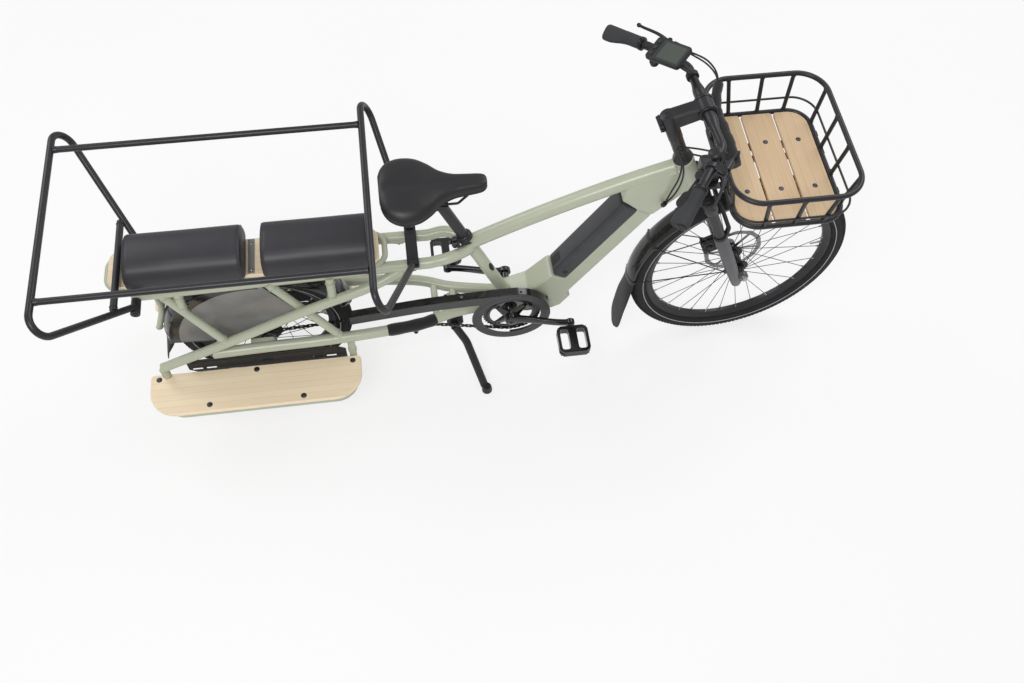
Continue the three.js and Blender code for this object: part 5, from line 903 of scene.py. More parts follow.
# Display with its screen and buttons
CASE_FOOT = V(56, 152, 757)
CASE = STEERING @ moved(CASE_FOOT) @ Matrix.Rotation(math.atan2(-BAR_RUN.y, -BAR_RUN.x), 4, "Z")
case = Shape(CASE)
plan = rounded(rectangle(-51.5, 51.5, -34, 34), 9, 6, loop=True)
levels = ((0.88, 0.84, 0.3), (0.97, 0.95, 2.2), (1, 1, 6), (1, 1, 12), (0.985, 0.975, 14.2),
          (0.965, 0.945, 14.8))
case.skin([[V(p.x * long, p.y * wide, z) for p in plan] for long, wide, z in levels])
case.make("display_case", "steering", "plastic", "display", angle=30)
glass = Shape(CASE)
glass.prism(flat(rounded(rectangle(-48, 29, -30.5, 30.5), 5, 5, loop=True), "xy"), 14.2, 15, "xy")
glass.mat = 1
glass.prism(flat(rounded(rectangle(-42, 20, -25, 25), 2, 3, loop=True), "xy"), 14.9, 15.08, "xy")
glass.make("display_screen", "steering", ["screen", "panel"], "display", angle=30)
arm = Shape(STEERING)
arm.lathe(collar(BAR_INNER, 16.1, 7, 0.9), V(91, 106, 708), V(0, 1, 0.03), 36)
arm.hull(column(V(91, 106, 721), 7, 12, (0,)) + column(CASE_FOOT, 14, 12, (0.5, 2)))
arm.make("display_arm", "steering", "plastic", "display", bevel=0.8, angle=40)
for row in range(3):
    button = Shape(CASE)
    button.lathe([(0, 11.6), (5.5, 11.6), (5.5, 15.9), (4.8, 16.6), (0, 16.9)], (40.5, 19 - 19 * row, 0), Z,
                 28)
    name = "display_button_%d" % (row + 1)
    button.make(name + "_detailed", name, "grip", name, angle=40)


# Cables: the points are those of the solids
LEFT_RESERVOIR = off(36, -30.3)
CABLE_RADIUS = 2.3
SLEEVE = [(145, 92, 660), (124, 50, 659), (110, 2, 661), (108, -50, 664), (106, -110, 664), (101, -165, 661)]
LEADS = [
    [LEFT_RESERVOIR, (110, 168, 712), (134, 138, 696), (146, 112, 676), (144, 88, 660)],
    [(92, 150, 754), (112, 142, 742), (138, 126, 716), (149, 106, 686), (142, 84, 661)],
    [mirror(LEFT_RESERVOIR), (112, -172, 712), (122, -160, 700), (116, -158, 680), (104, -150, 662)],
    [(100, -140, 664), (70, -108, 668), (34, -74, 664), (-2, -40, 652), (-6, -35, 638), (-6, -35, 622.3)],
    [(101, -150, 660), (66, -120, 660), (28, -84, 654), (-4, -46, 646), (-6, -42, 634), (-6, -42, 622.3)],
]
FRAME_LEADS = [((-6, -35), [(-8, -36, 570), (-26, -39, 528), (-56, -42, 488)]),
               ((-6, -42), [(-7, -44, 560), (-22, -46, 520), (-50, -47, 480)])]
GROMMET = (-84, -46, 452)


def frames_along(path):
    """Each point of a path with its number, its direction, and a level direction across it."""
    last = len(path) - 1
    for i, p in enumerate(path):
        run = (path[min(i + 1, last)] - path[max(i - 1, 0)]).normalized()
        yield i, p, run, run.cross(Z).normalized()


sleeve = Shape(STEERING)
sleeve_path = flow(SLEEVE, 8)
rings = []
for i, p, run, across in frames_along(sleeve_path):
    swell = 1 + 0.05 * math.sin(i * 0.9) + 0.03 * math.sin(i * 2.3)
    wide = (12.5 + 6 * ease(i / len(sleeve_path) * 1.6)) * swell
    up = across.cross(run) * 10.5
    rings.append([p + across * wide * math.cos(a) + up * math.sin(a) for a in angles(24)])
sleeve.skin(rings)
sleeve.make("cable_sleeve_wrap", "steering", "neoprene", "cable_sleeve", angle=60)
leads = Shape(STEERING)
for lead in LEADS:
    leads.tube(flow(lead, 8), CABLE_RADIUS, 12)
for lead in (LEADS[0], LEADS[2]):
    start, after = Vector(lead[0]), Vector(lead[1])
    leads.rod(start, start + (after - start).normalized() * 12, 3.6, 14, 3)
leads.make("control_leads", "steering", "jacket", "cable_sleeve", angle=60)
down = Shape(TILTED)
for start, points in FRAME_LEADS:
    top = turn(STEERED, "Z") @ V(*start, 622)
    down.tube(flow([top, top - Z * 22, *points, GROMMET], 8), CABLE_RADIUS, 12)
down.tube(flow([(-80, -47, 458), GROMMET, (-88, -42, 445)], 4), 6.6, 20)
down.make("frame_leads", "frame", "jacket", "frame_cables", angle=60)


# Front frame and battery
SEAT_ANGLE, BATTERY_ANGLE = math.radians(68.05), math.radians(58.8)
SEAT_UP = V(-math.cos(SEAT_ANGLE), 0, math.sin(SEAT_ANGLE))
BATTERY_UP = V(math.cos(BATTERY_ANGLE), 0, math.sin(BATTERY_ANGLE))
BATTERY_DOWN = V(BATTERY_UP.z, 0, -BATTERY_UP.x)
FRAME_HALF = 39
BED_LOW, BED_HIGH, BED_DEPTH, LIP_DEPTH = -148.3, 193.3, 48.3, 97


def on_seat(s):
    return CRANK + SEAT_UP * s


def on_battery(t, depth, y=0.0):
    """A place along the battery, below its upper face and off its middle."""
    return V(-500, y, 535) + BATTERY_UP * t + BATTERY_DOWN * depth


def casting_outline():
    """The crank casting from its nose back and up, then the bed that the battery stands on."""
    shares = ((0.945, 1), (1, 0.51), (0.85, -0.59), (0.71, -0.9), (0.3, -1), (0.03, -0.76), (-0.11, 0),
              (-0.11, 0.88),
              (0.3, 1.61))
    corners = [CRANK + V(x * 182, 0, z * 41) for x, z in shares]
    corners += [on_battery(*p) for p in ((BED_LOW, 0), (BED_LOW, BED_DEPTH), (BED_HIGH + 2, BED_DEPTH),
                                         (BED_HIGH + 2, LIP_DEPTH))]
    radii = [7] * 7 + [16, 34, 13, 0, 0, 0]
    outline = []
    for i, (corner, radius) in enumerate(zip(corners, radii)):
        near = [corners[i - 1], corner, corners[(i + 1) % len(corners)]]
        outline += rounded(near, radius, 6)[1:-1] if radius else [corner]
    return flat(outline)


body = Shape()
body.prism(casting_outline(), -FRAME_HALF, FRAME_HALF)
body.make("frame_lower", "frame", "sage", "front_frame", bevel=9, angle=30, segments=5)

body = Shape()
corners = []
for p, half in ((on_battery(BED_HIGH, BED_DEPTH), FRAME_HALF), (on_battery(BED_HIGH, LIP_DEPTH), FRAME_HALF),
                (on_battery(BED_HIGH, 0), 24), (on_battery(BED_HIGH + 48, -21), 19),
                (on_axis(452), 24), (on_axis(536), 24)):
    corners += [p - Y * half, p + Y * half]
body.hull(corners)
body.make("frame_gusset", "frame", "sage", "front_frame", bevel=6, angle=30, segments=4)

body = Shape()
head_axis = (on_axis(1) - on_axis(0)).normalized()
body.lathe([(20, 432), (27, 432), (28, 433), (28, 441), (27, 443), (27, 545), (28, 547), (28, 555), (27, 556),
            (20, 556)], on_axis(0), head_axis)
foot, head = on_seat(306), on_axis(533)
top_run = (head - foot).normalized()
shares = (0, 0.04, 0.2, 0.4, 0.6, 0.8)
top_tube = flow([foot.lerp(head, s) + Z * 56 * s * (1 - s) for s in shares] + [foot.lerp(head, 0.985)], 5)
body.tube(top_tube, 21, 40)
body.lathe([(15.7, 60), (17.8, 60), (17.8, 343), (17.2, 345), (15.7, 345)], CRANK, SEAT_UP, 48)
body.rod(on_seat(10), on_seat(70), 17.8, 40)
body.lathe(collar(12.4, 25, FRAME_HALF, 2, 1.5), CRANK, Y, 56)
body.weld(head - top_run * 25.5, top_run, 22.2)
for s, radius, bead in ((318, 18.6, 1.8), (291, 18.6, 1.8), (52, 19, 2)):
    body.weld(on_seat(s), SEAT_UP, radius, bead)
body.make("frame_tubes", "frame", "sage", "front_frame", angle=40)

body = Shape()
for side in BOTH:
    body.lathe([(0, 0), (13, 0), (22, 0), (22, 1.2), (14, 2), (0, 2)], CRANK + Y * side * FRAME_HALF,
               Y * side, 40)
outward = (V(SEAT_UP.z, 0, -SEAT_UP.x) * 0.85 - Y * 0.5).normalized()
sideways = outward.cross(SEAT_UP)
plug = []
for share, lift in ((1, 15.9), (1, 18.6), (0.85, 19.4)):
    plug += [on_seat(176) + SEAT_UP * 18 * share * math.cos(a)
             + sideways * 7.5 * share * math.sin(a) + outward * lift
             for a in angles(24)]
body.hull(plug)
body.make("frame_fittings", "frame", "alloy_black", "front_frame", bevel=0.3)

case = Shape()
half_section = [(0, 22), (0.8, 25.5), (3.2, 29.5), (9, 36), (11, 37.6), (14, 38), (47.8, 38)]
section = half_section + [(depth, -y) for depth, y in half_section[::-1]]
ends = ((-147.8, 15, 0.93), (-144, 6, 0.975), (-138, 0.6, 1), (-60, 0, 1), (60, 0, 1), (184, 0.6, 1),
        (189, 6, 0.975),
        (192.8, 15, 0.93))
case.skin([[on_battery(t, max(depth, inset), y * shrink) for depth, y in section] for t, inset,
           shrink in ends])
case.make("battery_case_detailed", "frame", "battery", "battery", bevel=0.8, angle=24)

trim = Shape()
for side in BOTH:
    low_edge = [on_battery(t, d, side * y) for t in (-128, 176) for d,
                y in ((2.0, 27.8), (3.4, 29.5), (5.0, 31.5))]
    trim.hull(low_edge + [on_battery(t, d, side * y) for t in (-128, 176) for d,
                          y in ((2.8, 26.2), (5.8, 29.9))])
trim.hull([on_battery(t, depth, y) for t in (-134, -96) for y in (-14, 14) for depth in (-0.6, 1)])
trim.rod(on_battery(160, 24, 38.6), on_battery(160, 24, 36), 9, 32)
trim.rod(on_battery(-120, 30, -38.4), on_battery(-120, 30, -36), 8, 32)
trim.make("battery_trim", "frame", "plastic", "battery", bevel=0.4)


# Rear frame
BASE, HALF_WIDTH, DECK_TUBE = 1420, 110, 541


def tail(x, y, z):
    """A place from shares of the wheelbase, the half width and the deck tubes' height."""
    return V(-x * BASE, y * HALF_WIDTH, z * DECK_TUBE)


RACK = [tail(*p)
        for p in ((0.574, 0.182, 1.013), (0.611, 0.409, 1.022), (0.648, 0.427, 1), (1.208, 0.564, 1))]
STAY = [tail(*p) for p in ((0.508, 0.236, 0.499), (0.539, 0.273, 0.499), (0.611, 0.427, 0.51),
                           (0.687, 0.727, 0.518), (0.845, 0.909, 0.523), (1, 0.964, 0.527), (1.099, 1,
                                                                                             0.527))]
DIAGONAL = [tail(*p)
            for p in ((0.697, 0.455, 0.98), (0.768, 0.727, 0.924), (0.909, 0.909, 0.806), (1.063, 1, 0.619),
                               (1.206, 1.091, 0.462))]
STRUTS = [(tail(*a), tail(*b), inset) for a, b, inset in (((0.958, 0.591, 0.998), (0.842, 0.891, 0.536), 19),
                                                         ((1.158, 0.591, 0.998), (1.063, 1, 0.619), 19),
                                                         ((0.842, 0.582, 0.998), (0.842, 0.836, 0.865), 16.5),
                                                         ((1.127, 0.582, 0.998), (1.126, 0.727, 0.869),
                                                          16.5))]


def run_out(shape, path, radius, length, end):
    """A short closed end beyond a tube's last point."""
    shape.rod(path[-1], path[-1] + (path[-1] - path[-2]).normalized() * length, radius, 28, end)


rear = Shape()
for side in BOTH:
    rack, stay, diagonal = ([V(p.x, p.y * side, p.z) for p in line] for line in (RACK, STAY, DIAGONAL))
    straight = [rack[2].lerp(rack[3], share) for share in (0, 0.05, 0.99, 1)]
    rear.tube(flow([on_seat(306) + V(8, 0, 4), *rack[:3]], 6)[:-1] + straight, 16, 28)
    rear.tube(flow(stay, 6), 16, 28)
    run_out(rear, stay, 14, 2, 11)
    rear.tube(flow(diagonal, 6), 14, 28)
    run_out(rear, diagonal, 13, 2.5, 10)
    for a, b, inset in STRUTS:
        a, b = V(a.x, a.y * side, a.z), V(b.x, b.y * side, b.z)
        rear.rod(a, b, 12, 24)
        run = (b - a).normalized()
        rear.weld(a + run * 17.5, run, 12.6, 1.7)
        rear.weld(b - run * inset, run, 12.6, 1.7)
    rear.weld(diagonal[0].lerp(diagonal[1], 0.1), diagonal[1] - diagonal[0], 14.8, 1.7)
    dropout = ((-1445, 238), (-1395, 238), (-1395, 262), (-1380, 292), (-1460, 292), (-1445, 262))
    rear.prism(soft_outline(dropout, 8, 4), side * 78, side * 94)
for x, half, z in ((-914.5, 57, 278), (-860.5, 46, 275), (-1699, 62, 541)):
    rear.rod((x, -half, z), (x, half, z), 10, 24)
back_foot = tail(1.209, 0, 0.527)
rear.tube(flow([tail(1.197, 0, 1), tail(1.186, 0, 0.734), back_foot], 8), 9, 20)
rear.rod(back_foot, back_foot - Z * 2, 11, 20)
rear.tube(rounded(rectangle(-1777, -1040, -54, 54, 562), 38, 10, loop=True), 8, 24, closed=True)
for x in (-1100, -1240, -1560, -1680):
    for side in BOTH:
        rear.rod((x, side * 55, 545), (x, side * 54, 560), 7, 18)
rear.lathe(collar(8.4, 15, 26), STAND_PIVOT, Y, 40)
rear.make("rear_frame_tubes", "frame", "sage", "rear_frame", angle=40)

hanger = Shape()
cheek = soft_outline(((-888, 262), (-838, 262), (-834, 186), (-848, 168), (-874, 168), (-884, 186)), 7, 4)
for side in BOTH:
    hanger.prism(cheek, side * 26.4, side * 29.4)
    hanger.rod((-840, side * 29, 240), (-840, side * 33, 240), 5, 16)
    for k in range(10):
        x, sway, z = -842 + k * 0.4, math.sin(k * 2.1) * 2, 238 - k * 4
        hanger.rod((x, side * 33 + sway, z), (x, side * 33 - sway, z - 2), 3.2, 10)
hanger.make("stand_hanger", "frame", "black", "rear_frame", bevel=0.5)

plates = Shape()
plates.hull(block((-872, -850), (-20, 20), (196, 272)) + block((-878, -845), (-30, 30), (268,)))
plates.hull(block((-988, -972), (-80, -72), (234, 278)))
plates.make("rear_frame_brackets", "frame", "sage", "rear_frame", bevel=2.5)

parts = Shape()
parts.rod(REAR_AXLE - Y * 100, REAR_AXLE + Y * 100, 6, 24)
for side in BOTH:
    parts.prism(circle(9.5, 6, REAR_AXLE.x, REAR_AXLE.z), side * 94, side * 100)
    parts.rod(REAR_AXLE + Y * side * 93.6, REAR_AXLE + Y * side * 95, 12, 28)
    for x in (-1395, -1440):
        parts.bolt(V(x, side * 94, 280), Y * side, 4, 1.4)
parts.rod(IDLER - Y * 56, IDLER - Y * 74, 4, 18)
parts.bolt(IDLER - Y * 80, -Y, 6, 2)
cheek = ((-1526, 266), (-1522, 261), (-1488, 261), (-1482, 268), (-1482, 290), (-1488, 295.5), (-1522, 295.5),
         (-1528, 290))
parts.hull(wall(cheek, (49.5, 52.2)))
parts.hull(wall(cheek, (55.8, 62)))
parts.hull(block((-1516, -1494), (60, 86), (270, 288)))
parts.lathe([(0, 62), (13, 62), (14, 64), (14, 74), (12, 78), (0, 78)], (-1505, 0, 279), Y, 32)
parts.rod((-1505, 86, 279), (-1505, 101, 279), 5, 20)
parts.make("rear_axle_and_caliper", "frame", "alloy_black", "rear_frame", bevel=0.8)

wrap = Shape()
path = flow([mirror(p) for p in STAY], 24)[61:83]
wrap.tube(path, [16.2, *[18 + 0.5 * math.sin(k * 0.8) for k in range(len(path) - 2)], 16.2], 28)
wrap.make("chainstay_wrap", "frame", "neoprene", "rear_frame", angle=50)


# Deck and footboards
def board(name, outline, low, high, look_name, replaced, edge=2.0):
    shape = Shape()
    shape.prism(flat(outline, "xy"), low, high, "xy")
    shape.make(name, "frame", look_name, replaced, bevel=edge, angle=30, segments=3)


def corner_rounded(corners, steps):
    """A loop of (x, y, radius) corners with each corner made round by its own radius."""
    path = []
    for i, (x, y, radius) in enumerate(corners):
        before, after = corners[i - 1], corners[(i + 1) % len(corners)]
        path += rounded([V(*before[:2], 0), V(x, y, 0), V(*after[:2], 0)], radius, steps)[1:-1]
    return path


def washer(shape, p, radius, edge, height):
    """A flat washer let into a board, with its edge taken off."""
    shape.lathe([(0, -1), (radius, -1), (radius, height / 2), (edge, height), (0, height)], p, Z, 24)


DECK_LOW, DECK_TOP = 570.3, 582.3
deck = rounded(rectangle(-DECK_REAR, -1055, -60, 60), 30, 10, loop=True)
board("rack_deck_board", deck, DECK_LOW, DECK_TOP, "bamboo", "rack_deck")
screws = Shape()
screws.box(-1403, -1386, -56, 56, DECK_TOP, DECK_TOP + 2.7)
for y in (-44, 44):
    screws.bolt(V(-1394.5, y, DECK_TOP + 2.7), Z, 5, 1.4)
screws.mat = 1
for x, y in ((-1740, 0), (-1752, 28), (-1752, -28)):
    screws.bolt(V(x, y, DECK_TOP), Z, 5, 1.4)
screws.make("rack_deck_fittings", "frame", ["disc", "dark_steel"], "rack_deck", bevel=0.3)


# Footboards from front to rear and from the inner to the outer edge, and the tubes that carry them
FOOT_FRONT, FOOT_REAR, FOOT_IN, FOOT_OUT, FOOT_LOW, FOOT_TOP = -1150, -1760, 114, 250, 188, 200
REST_Y, REST_Z, REST_RADIUS = 238, 177.5, 11
REST_TOPS = ((-1712, DIAGONAL[-1]), (-1172, STAY[4]))
for side, hand in HANDS:
    corners = [(FOOT_REAR, side * FOOT_IN, 12), (FOOT_REAR, side * FOOT_OUT, 80),
               (FOOT_FRONT, side * FOOT_OUT, 80),
               (FOOT_FRONT, side * FOOT_IN, 12)]
    board("footboard_%s_board" % hand, corner_rounded(corners, 12), FOOT_LOW, FOOT_TOP, "bamboo",
          "footboard_" + hand, 2.5)
    screws = Shape()
    for along, across in ((0.04, 0.12), (0.5, 0.1), (0.96, 0.12), (0.28, 0.86), (0.72, 0.84)):
        p = V(mix(FOOT_FRONT, FOOT_REAR, along), side * mix(FOOT_IN, FOOT_OUT, across), FOOT_TOP)
        washer(screws, p, 8.5, 7.8, 0.5)
        screws.bolt(p, Z, 5.5, 1.5)
    screws.make("footboard_%s_screws" % hand, "frame", "dark_steel", "footboard_" + hand)
    tube = Shape()
    for x, top in REST_TOPS:
        post = V(x, side * top.y, 0)
        bend = [post + Z * (top.z - 8), post + Z * REST_Z, V(x, side * (top.y + REST_Y) / 2, REST_Z)]
        tube.tube(rounded(bend, 22, 8), REST_RADIUS, 24)
        tube.rod(post + Z * (top.z - 10), post + Z * (top.z - 17), 13.4, 24, 12.6)
        tube.rod(post + Z * 208, post + Z * 222, 12.6, 24)
    outer = [V(x, side * y, REST_Z) for x,
             y in ((-1712, 150), (-1712, REST_Y), (-1172, REST_Y), (-1172, 150))]
    tube.tube(rounded(outer, 55, 14), REST_RADIUS, 24)
    tube.make("footrest_tube_%s_round" % hand, "frame", "sage", "footrest_tube_" + hand, angle=40)


# Guard rail
RAIL_REAR, RAIL_FRONT, RAIL_Z = -1853, -1074, 800


def hoop(shape, name, replaced, foot, corner):
    shape.tube(rounded([foot, corner, mirror(corner), mirror(foot)], 40, 12), 9.2, 28)
    shape.make(name, "frame", "black", replaced, bevel=0.5, angle=40)


front = Shape()
front.box(-983, -951, -72, 72, 556.4, 564.1)
for y in (-46, 46):
    front.bolt(V(-967, y, 564.1), Z, 5.5, 2)
for side in BOTH:
    front.rod((-967, side * 58, 560), (-967, side * 66, 562), 12, 24)
    for x in (-985, -950):
        front.rod((x, side * 47, 520), (x, side * 47, 556), 3, 12)
    front.tube(rounded([V(x, side * 47, z) for x, z in ((-985, 521), (-967, 512), (-950, 521))], 6, 3), 3, 10)
hoop(front, "front_hoop_round", "rail_hoop_front", V(-967, 60, 560.1), V(-1065, 405, RAIL_Z))

rear = Shape()
rear.rod((-1741, -144, 600), (-1741, 144, 600), 9.5, 28)
for side in BOTH:
    rear.lathe([(0, 78), (12.5, 78), (13, 79), (13, 123), (12, 124), (0, 124)], (-1704, 0, 541.5), Y * side,
               32)
    rear.bolt(V(-1704, side * 124, 541.5), Y * side, 7, 3)
    rear.weld((-1741, side * 134, 600), Y, 9.6, 1.4)
hoop(rear, "rear_hoop_round", "rail_hoop_rear", V(-1704, 104, 550), V(-1862, 352, RAIL_Z))

for side, hand in HANDS:
    rail = Shape()
    ends = [V(x, side * 235, RAIL_Z) for x in (RAIL_REAR, RAIL_FRONT)]
    rail.rod(*ends, 8.5, 28)
    for end, way in zip(ends, (1, -1)):
        rail.rod(end, end + X * way * 9, 9.6, 28, 8.8)
    for x in (-1800, -1120):
        rail.bolt(V(x, side * 235, RAIL_Z + 8.2), Z, 3.4, 1.4)
    rail.make("rail_side_%s_round" % hand, "frame", "black", "rail_side_" + hand, angle=40)


# Rear mudguard, covers and heel guards
mudguard("rear_mudguard_detailed", "frame", None, REAR_AXLE, 280, (18, 178), 90, guard_section(45, 24),
         V(-1723, 0, 176))
bands = Shape()
bands.hull(block((-1427, -1413), (-7, 7), (538, 569.5)))
guard_bands(bands, REAR_AXLE, 280.8, 1.02, guard_section(45, 24, 3.2), (30, 60, 120, 150, 172))
bands.make("rear_mudguard_bands", "frame", "black", "rear_mudguard", bevel=0.4)


def wheel_cover(side, hand):
    """A smoked sheet over the wheel's upper rear, with a thin dark edge, an arch band and six studs."""
    arc = [polar(266, math.radians(84 + 94 * k / 32)) for k in range(33)]
    outline = [REAR_AXLE + p for p in arc + [V(-109, 0, -8), V(-10.6, 0, 34.6), V(119.7, 0, 106.4)]]
    sheet = Shape()
    sheet.prism(flat(outline), side * 45.6, side * 47.6)
    sheet.make("wheel_cover_%s_sheet" % hand, "frame", "smoked", "wheel_cover_" + hand, bevel=0.4, angle=30)
    trim = Shape()
    ring = [p + Y * side * 47 for p in outline]
    trim.tube(ring, 2.6, 10, closed=True)
    for a, b in zip(arc, arc[1:]):
        trim.add([REAR_AXLE + p * share + Y * side * out for p in (a, b) for share in (1, 0.9)
                  for out in (47.5, 49)],
                 BOX_FACES)
    for place in (0, 8, 16, 24, 32, 34):
        trim.rod(ring[place] - Y * side, ring[place] + Y * side * 2, 6, 20)
    trim.make("wheel_cover_%s_edge" % hand, "frame", "gloss", "wheel_cover_" + hand, bevel=0.3, angle=40)


def heel_guard(side, hand):
    """A slotted plate on two tabs, with a rib and three bolts."""
    inner, outer = side * 104.2, side * 106.6
    heel = Shape()
    shares = ((0, 0.25), (0.12, 0), (0.88, 0), (1, 0.45), (1, 1), (0.06, 1), (0, 0.8))
    plan = soft_outline([(-1190 - x * 460, 160 + z * 90) for x, z in shares], 5, 4)
    slots = []
    for x, long, low, high in ((-1436, 32, 210, 226), (-1640, 30, 196, 206), (-1600, 30, 196, 206),
                               (-1250, 30, 196, 206), (-1290, 28, 196, 206), (-1540, 80, 178, 186),
                               (-1380, 80, 178, 186)):
        slots.append(soft_outline([(x, low), (x + long, low), (x + long, high), (x, high)], 3.5, 3))
    heel.prism(plan, inner, outer, "xz", slots)
    for x in (-1259, -1502.8):
        heel.box(x - 10, x + 10, inner, outer, 248, 268)
        heel.rod((x, side * 100, 262), (x, side * 108, 262), 6, 20)
    heel.hull(block((-1640, -1200), (side * 107,), (236, 240)) + block((-1636, -1204), (side * 109,), (238,)))
    for x in (-1630, -1210, -1420):
        heel.bolt(V(x, outer, 230), Y * side, 4.5, 1.6)
    heel.make("heel_guard_%s_detailed" % hand, "frame", "plastic", "heel_guard_" + hand, bevel=0.6)


for side, hand in HANDS:
    wheel_cover(side, hand)
    heel_guard(side, hand)


# Basket: each level has its rear and front x, its half width and its height
BASKET_TOP, BASKET_LOW = (-170, 161, 210, 883), (-140, 145, 191, 762)
WIRE_Z = 800
rear_top, front_top, half_top, z_top = BASKET_TOP
rear_low, front_low, half_low, z_low = BASKET_LOW


def basket_loop(rear_x, front_x, half, z, corner, steps):
    return rounded(rectangle(rear_x, front_x, -half, half, z), corner, steps, loop=True)


def post(shape, a, b):
    """A basket post with a weld bead at each end."""
    shape.rod(a, b, 5.5, 20)
    run = (b - a).normalized()
    shape.weld(a + run * 7.2, run, 5.6, 1.3)
    shape.weld(b - run * 7.2, run, 5.6, 1.3)


basket = Shape()
basket.tube(basket_loop(*BASKET_TOP, 75, 14), 7, 24, closed=True)
basket.tube(basket_loop(*BASKET_LOW, 60, 14), 7, 24, closed=True)
rise = (WIRE_Z - z_low) / (z_top - z_low)
wire_rear, wire_front, wire_half = (mix(low, top, rise) for low, top in zip(BASKET_LOW[:3], BASKET_TOP[:3]))
wire = basket_loop(wire_rear - 6.5, wire_front + 6.5, wire_half + 6.5, WIRE_Z, mix(60, 75, rise), 12)
basket.tube(wire, 3, 14, closed=True)
for share in (0.24, 0.52, 0.78):
    for side in BOTH:
        post(basket, V(mix(rear_low, front_low, share), side * half_low, z_low),
             V(mix(rear_top, front_top, share), side * half_top, z_top))
for shares, low_x, top_x in (((-0.72, -0.24, 0.24, 0.72), front_low, front_top),
                             ((-0.72, -0.42, 0.42, 0.72), rear_low, rear_top)):
    for share in shares:
        post(basket, V(low_x, share * half_low, z_low), V(top_x, share * half_top, z_top))
basket.make("basket_tubes", "frame", "black", "basket_frame", angle=40)

BATTEN_LOW = 748.5
bracket = Shape()
for side in BOTH:
    bracket.hull(block((-186, 141), (side * 31, side * 47), (BATTEN_LOW, 757.7)))
    for x in (-120, 0, 120):
        bracket.bolt(V(x, side * 39, BATTEN_LOW), -Z, 5, 2)
mast = []
for x, half, low, high in ((-196, 26, 750, 798), (-186, 31, 750, 798), (-152, 31, 750, 798),
                           (-150, 27, 754, 794)):
    mast += block((x,), (-half, half), (low, high))
bracket.hull(mast)
for y in (-20, 20):
    for z in (762, 786):
        bracket.bolt(V(-150, y, z), X, 5, 2.4)
for y in (-98, -36, 36, 98):
    bracket.hull(block((134, 150), (y - 9, y + 9), (754, 757)) + block((153,), (y - 9, y + 9), (757, 766)))
bracket.make("basket_bracket", "frame", "black", "basket_frame", bevel=1.2)

PLANKS, PLANK_REAR, PLANK_FRONT, PLANK_GAP = 3, -131, 136, 6
PLANK_HALF, PLANK_LOW, PLANK_TOP = 182, 758.3, 768.3
width = (PLANK_FRONT - PLANK_REAR - 2 * PLANK_GAP) / PLANKS
screws = Shape()
for i in range(PLANKS):
    x0 = PLANK_REAR + i * (width + PLANK_GAP)
    x1 = x0 + width
    rear_round, front_round = 51 if i == 0 else 7, 51 if i == PLANKS - 1 else 7
    corners = [(x0, -PLANK_HALF, rear_round), (x1, -PLANK_HALF, front_round),
               (x1, PLANK_HALF, front_round), (x0, PLANK_HALF, rear_round)]
    board("basket_plank_%d" % (i + 1), corner_rounded(corners, 8), PLANK_LOW, PLANK_TOP, "planks",
          "basket_floor", 1.6)
    for side in BOTH:
        p = V(x0 + width / 2, side * 80, PLANK_TOP)
        washer(screws, p, 7, 6.4, 0.6)
        screws.bolt(p, Z, 4.6, 1.5)
screws.make("basket_floor_screws", "frame", "dark_steel", "basket_floor")
battens = Shape()
for side in BOTH:
    battens.box(-122, 127, side * 70, side * 90, BATTEN_LOW, 758.4)
battens.make("basket_floor_battens", "frame", "black", "basket_floor", bevel=0.8)


# Seat post and clamp
HEAD_BLOCK = on_seat(503)
post_shape = Shape()
post_shape.lathe([(0, 215.5), (14, 215.5), (15.4, 217), (15.4, 498), (0, 498)], CRANK, SEAT_UP, 44)
post_shape.lathe(collar(0, 15.4, 15, 1.4, 1.5), HEAD_BLOCK, Y, 40)
for low, high, fore in ((0, 6.6, 20), (7.4, 14.7, 22)):
    plate = []
    for z, cut in ((low, 1.4), (low + 1.6, 0), (high - 1.6, 0), (high, 1.4)):
        long, wide = fore - cut, 25.2 + 0.6 * cut
        plate += [HEAD_BLOCK + p for p in block((-long, long), (-wide, wide), (z,))]
    post_shape.hull(plate)
for p in block((-14, 14), (-11, 11), (14.5,)):
    post_shape.bolt(HEAD_BLOCK + p, Z, 4.6, 3)
for s in (360, 384, 408, 432, 456):
    mark = on_seat(s) + V(0.92718, 0, 0.37461) * 15.1
    post_shape.rod(mark - Y * 2.5, mark + Y * 2.5, 0.35, 6)
post_shape.make("seatpost_detailed", "seatpost", "black", "seatpost", bevel=0.7)

CLAMP_LOW, CLAMP_HIGH = 332.2, 344
clamp = Shape(SEAT)
clamp.lathe(collar(18.3, 22.8, 5.9, 1.2, 1.2), Z * (CLAMP_LOW + CLAMP_HIGH) / 2, Z, 48)
clamp.lathe([(18.3, CLAMP_HIGH), (21.4, CLAMP_HIGH), (19, 349), (15.8, 351), (15.8, 346)], segments=48)
for side in BOTH:
    clamp.hull(block((-35, -19), (side * 0.5, side * 7.8), (332.3, 343.8)))
clamp.rod((-30, -20.3, 332), (-30, -20.3, CLAMP_HIGH), 3, 18)
clamp.hull(block((-36, -27), (-22, -6.2), (332, 335)))
clamp.make("seat_clamp_detailed", "frame", "black", "seat_clamp", bevel=0.8)

lever = Shape(SEAT)
lever.rod((-30, -20.3, 335.4), (-30, -20.3, CLAMP_HIGH), 7, 28)
lever_path = flow([(-30, -20.3, 339.6), (-22, -28.6, 339.6), (-4, -29.6, 339.6), (18, -29.6, 339.6)], 8)
rings = []
for i, p, run, across in frames_along(lever_path):
    s = i / (len(lever_path) - 1)
    wide, high = 2.6 + 0.4 * s, 2.7 + 0.5 * s
    rings.append([p + across * wide * math.cos(a) + Z * (0.5 + high * math.sin(a)) for a in angles(16)])
lever.skin(rings)
lever.make("seat_clamp_lever_detailed", "seat_clamp_lever", "black", "seat_clamp_lever", bevel=0.5, angle=45)


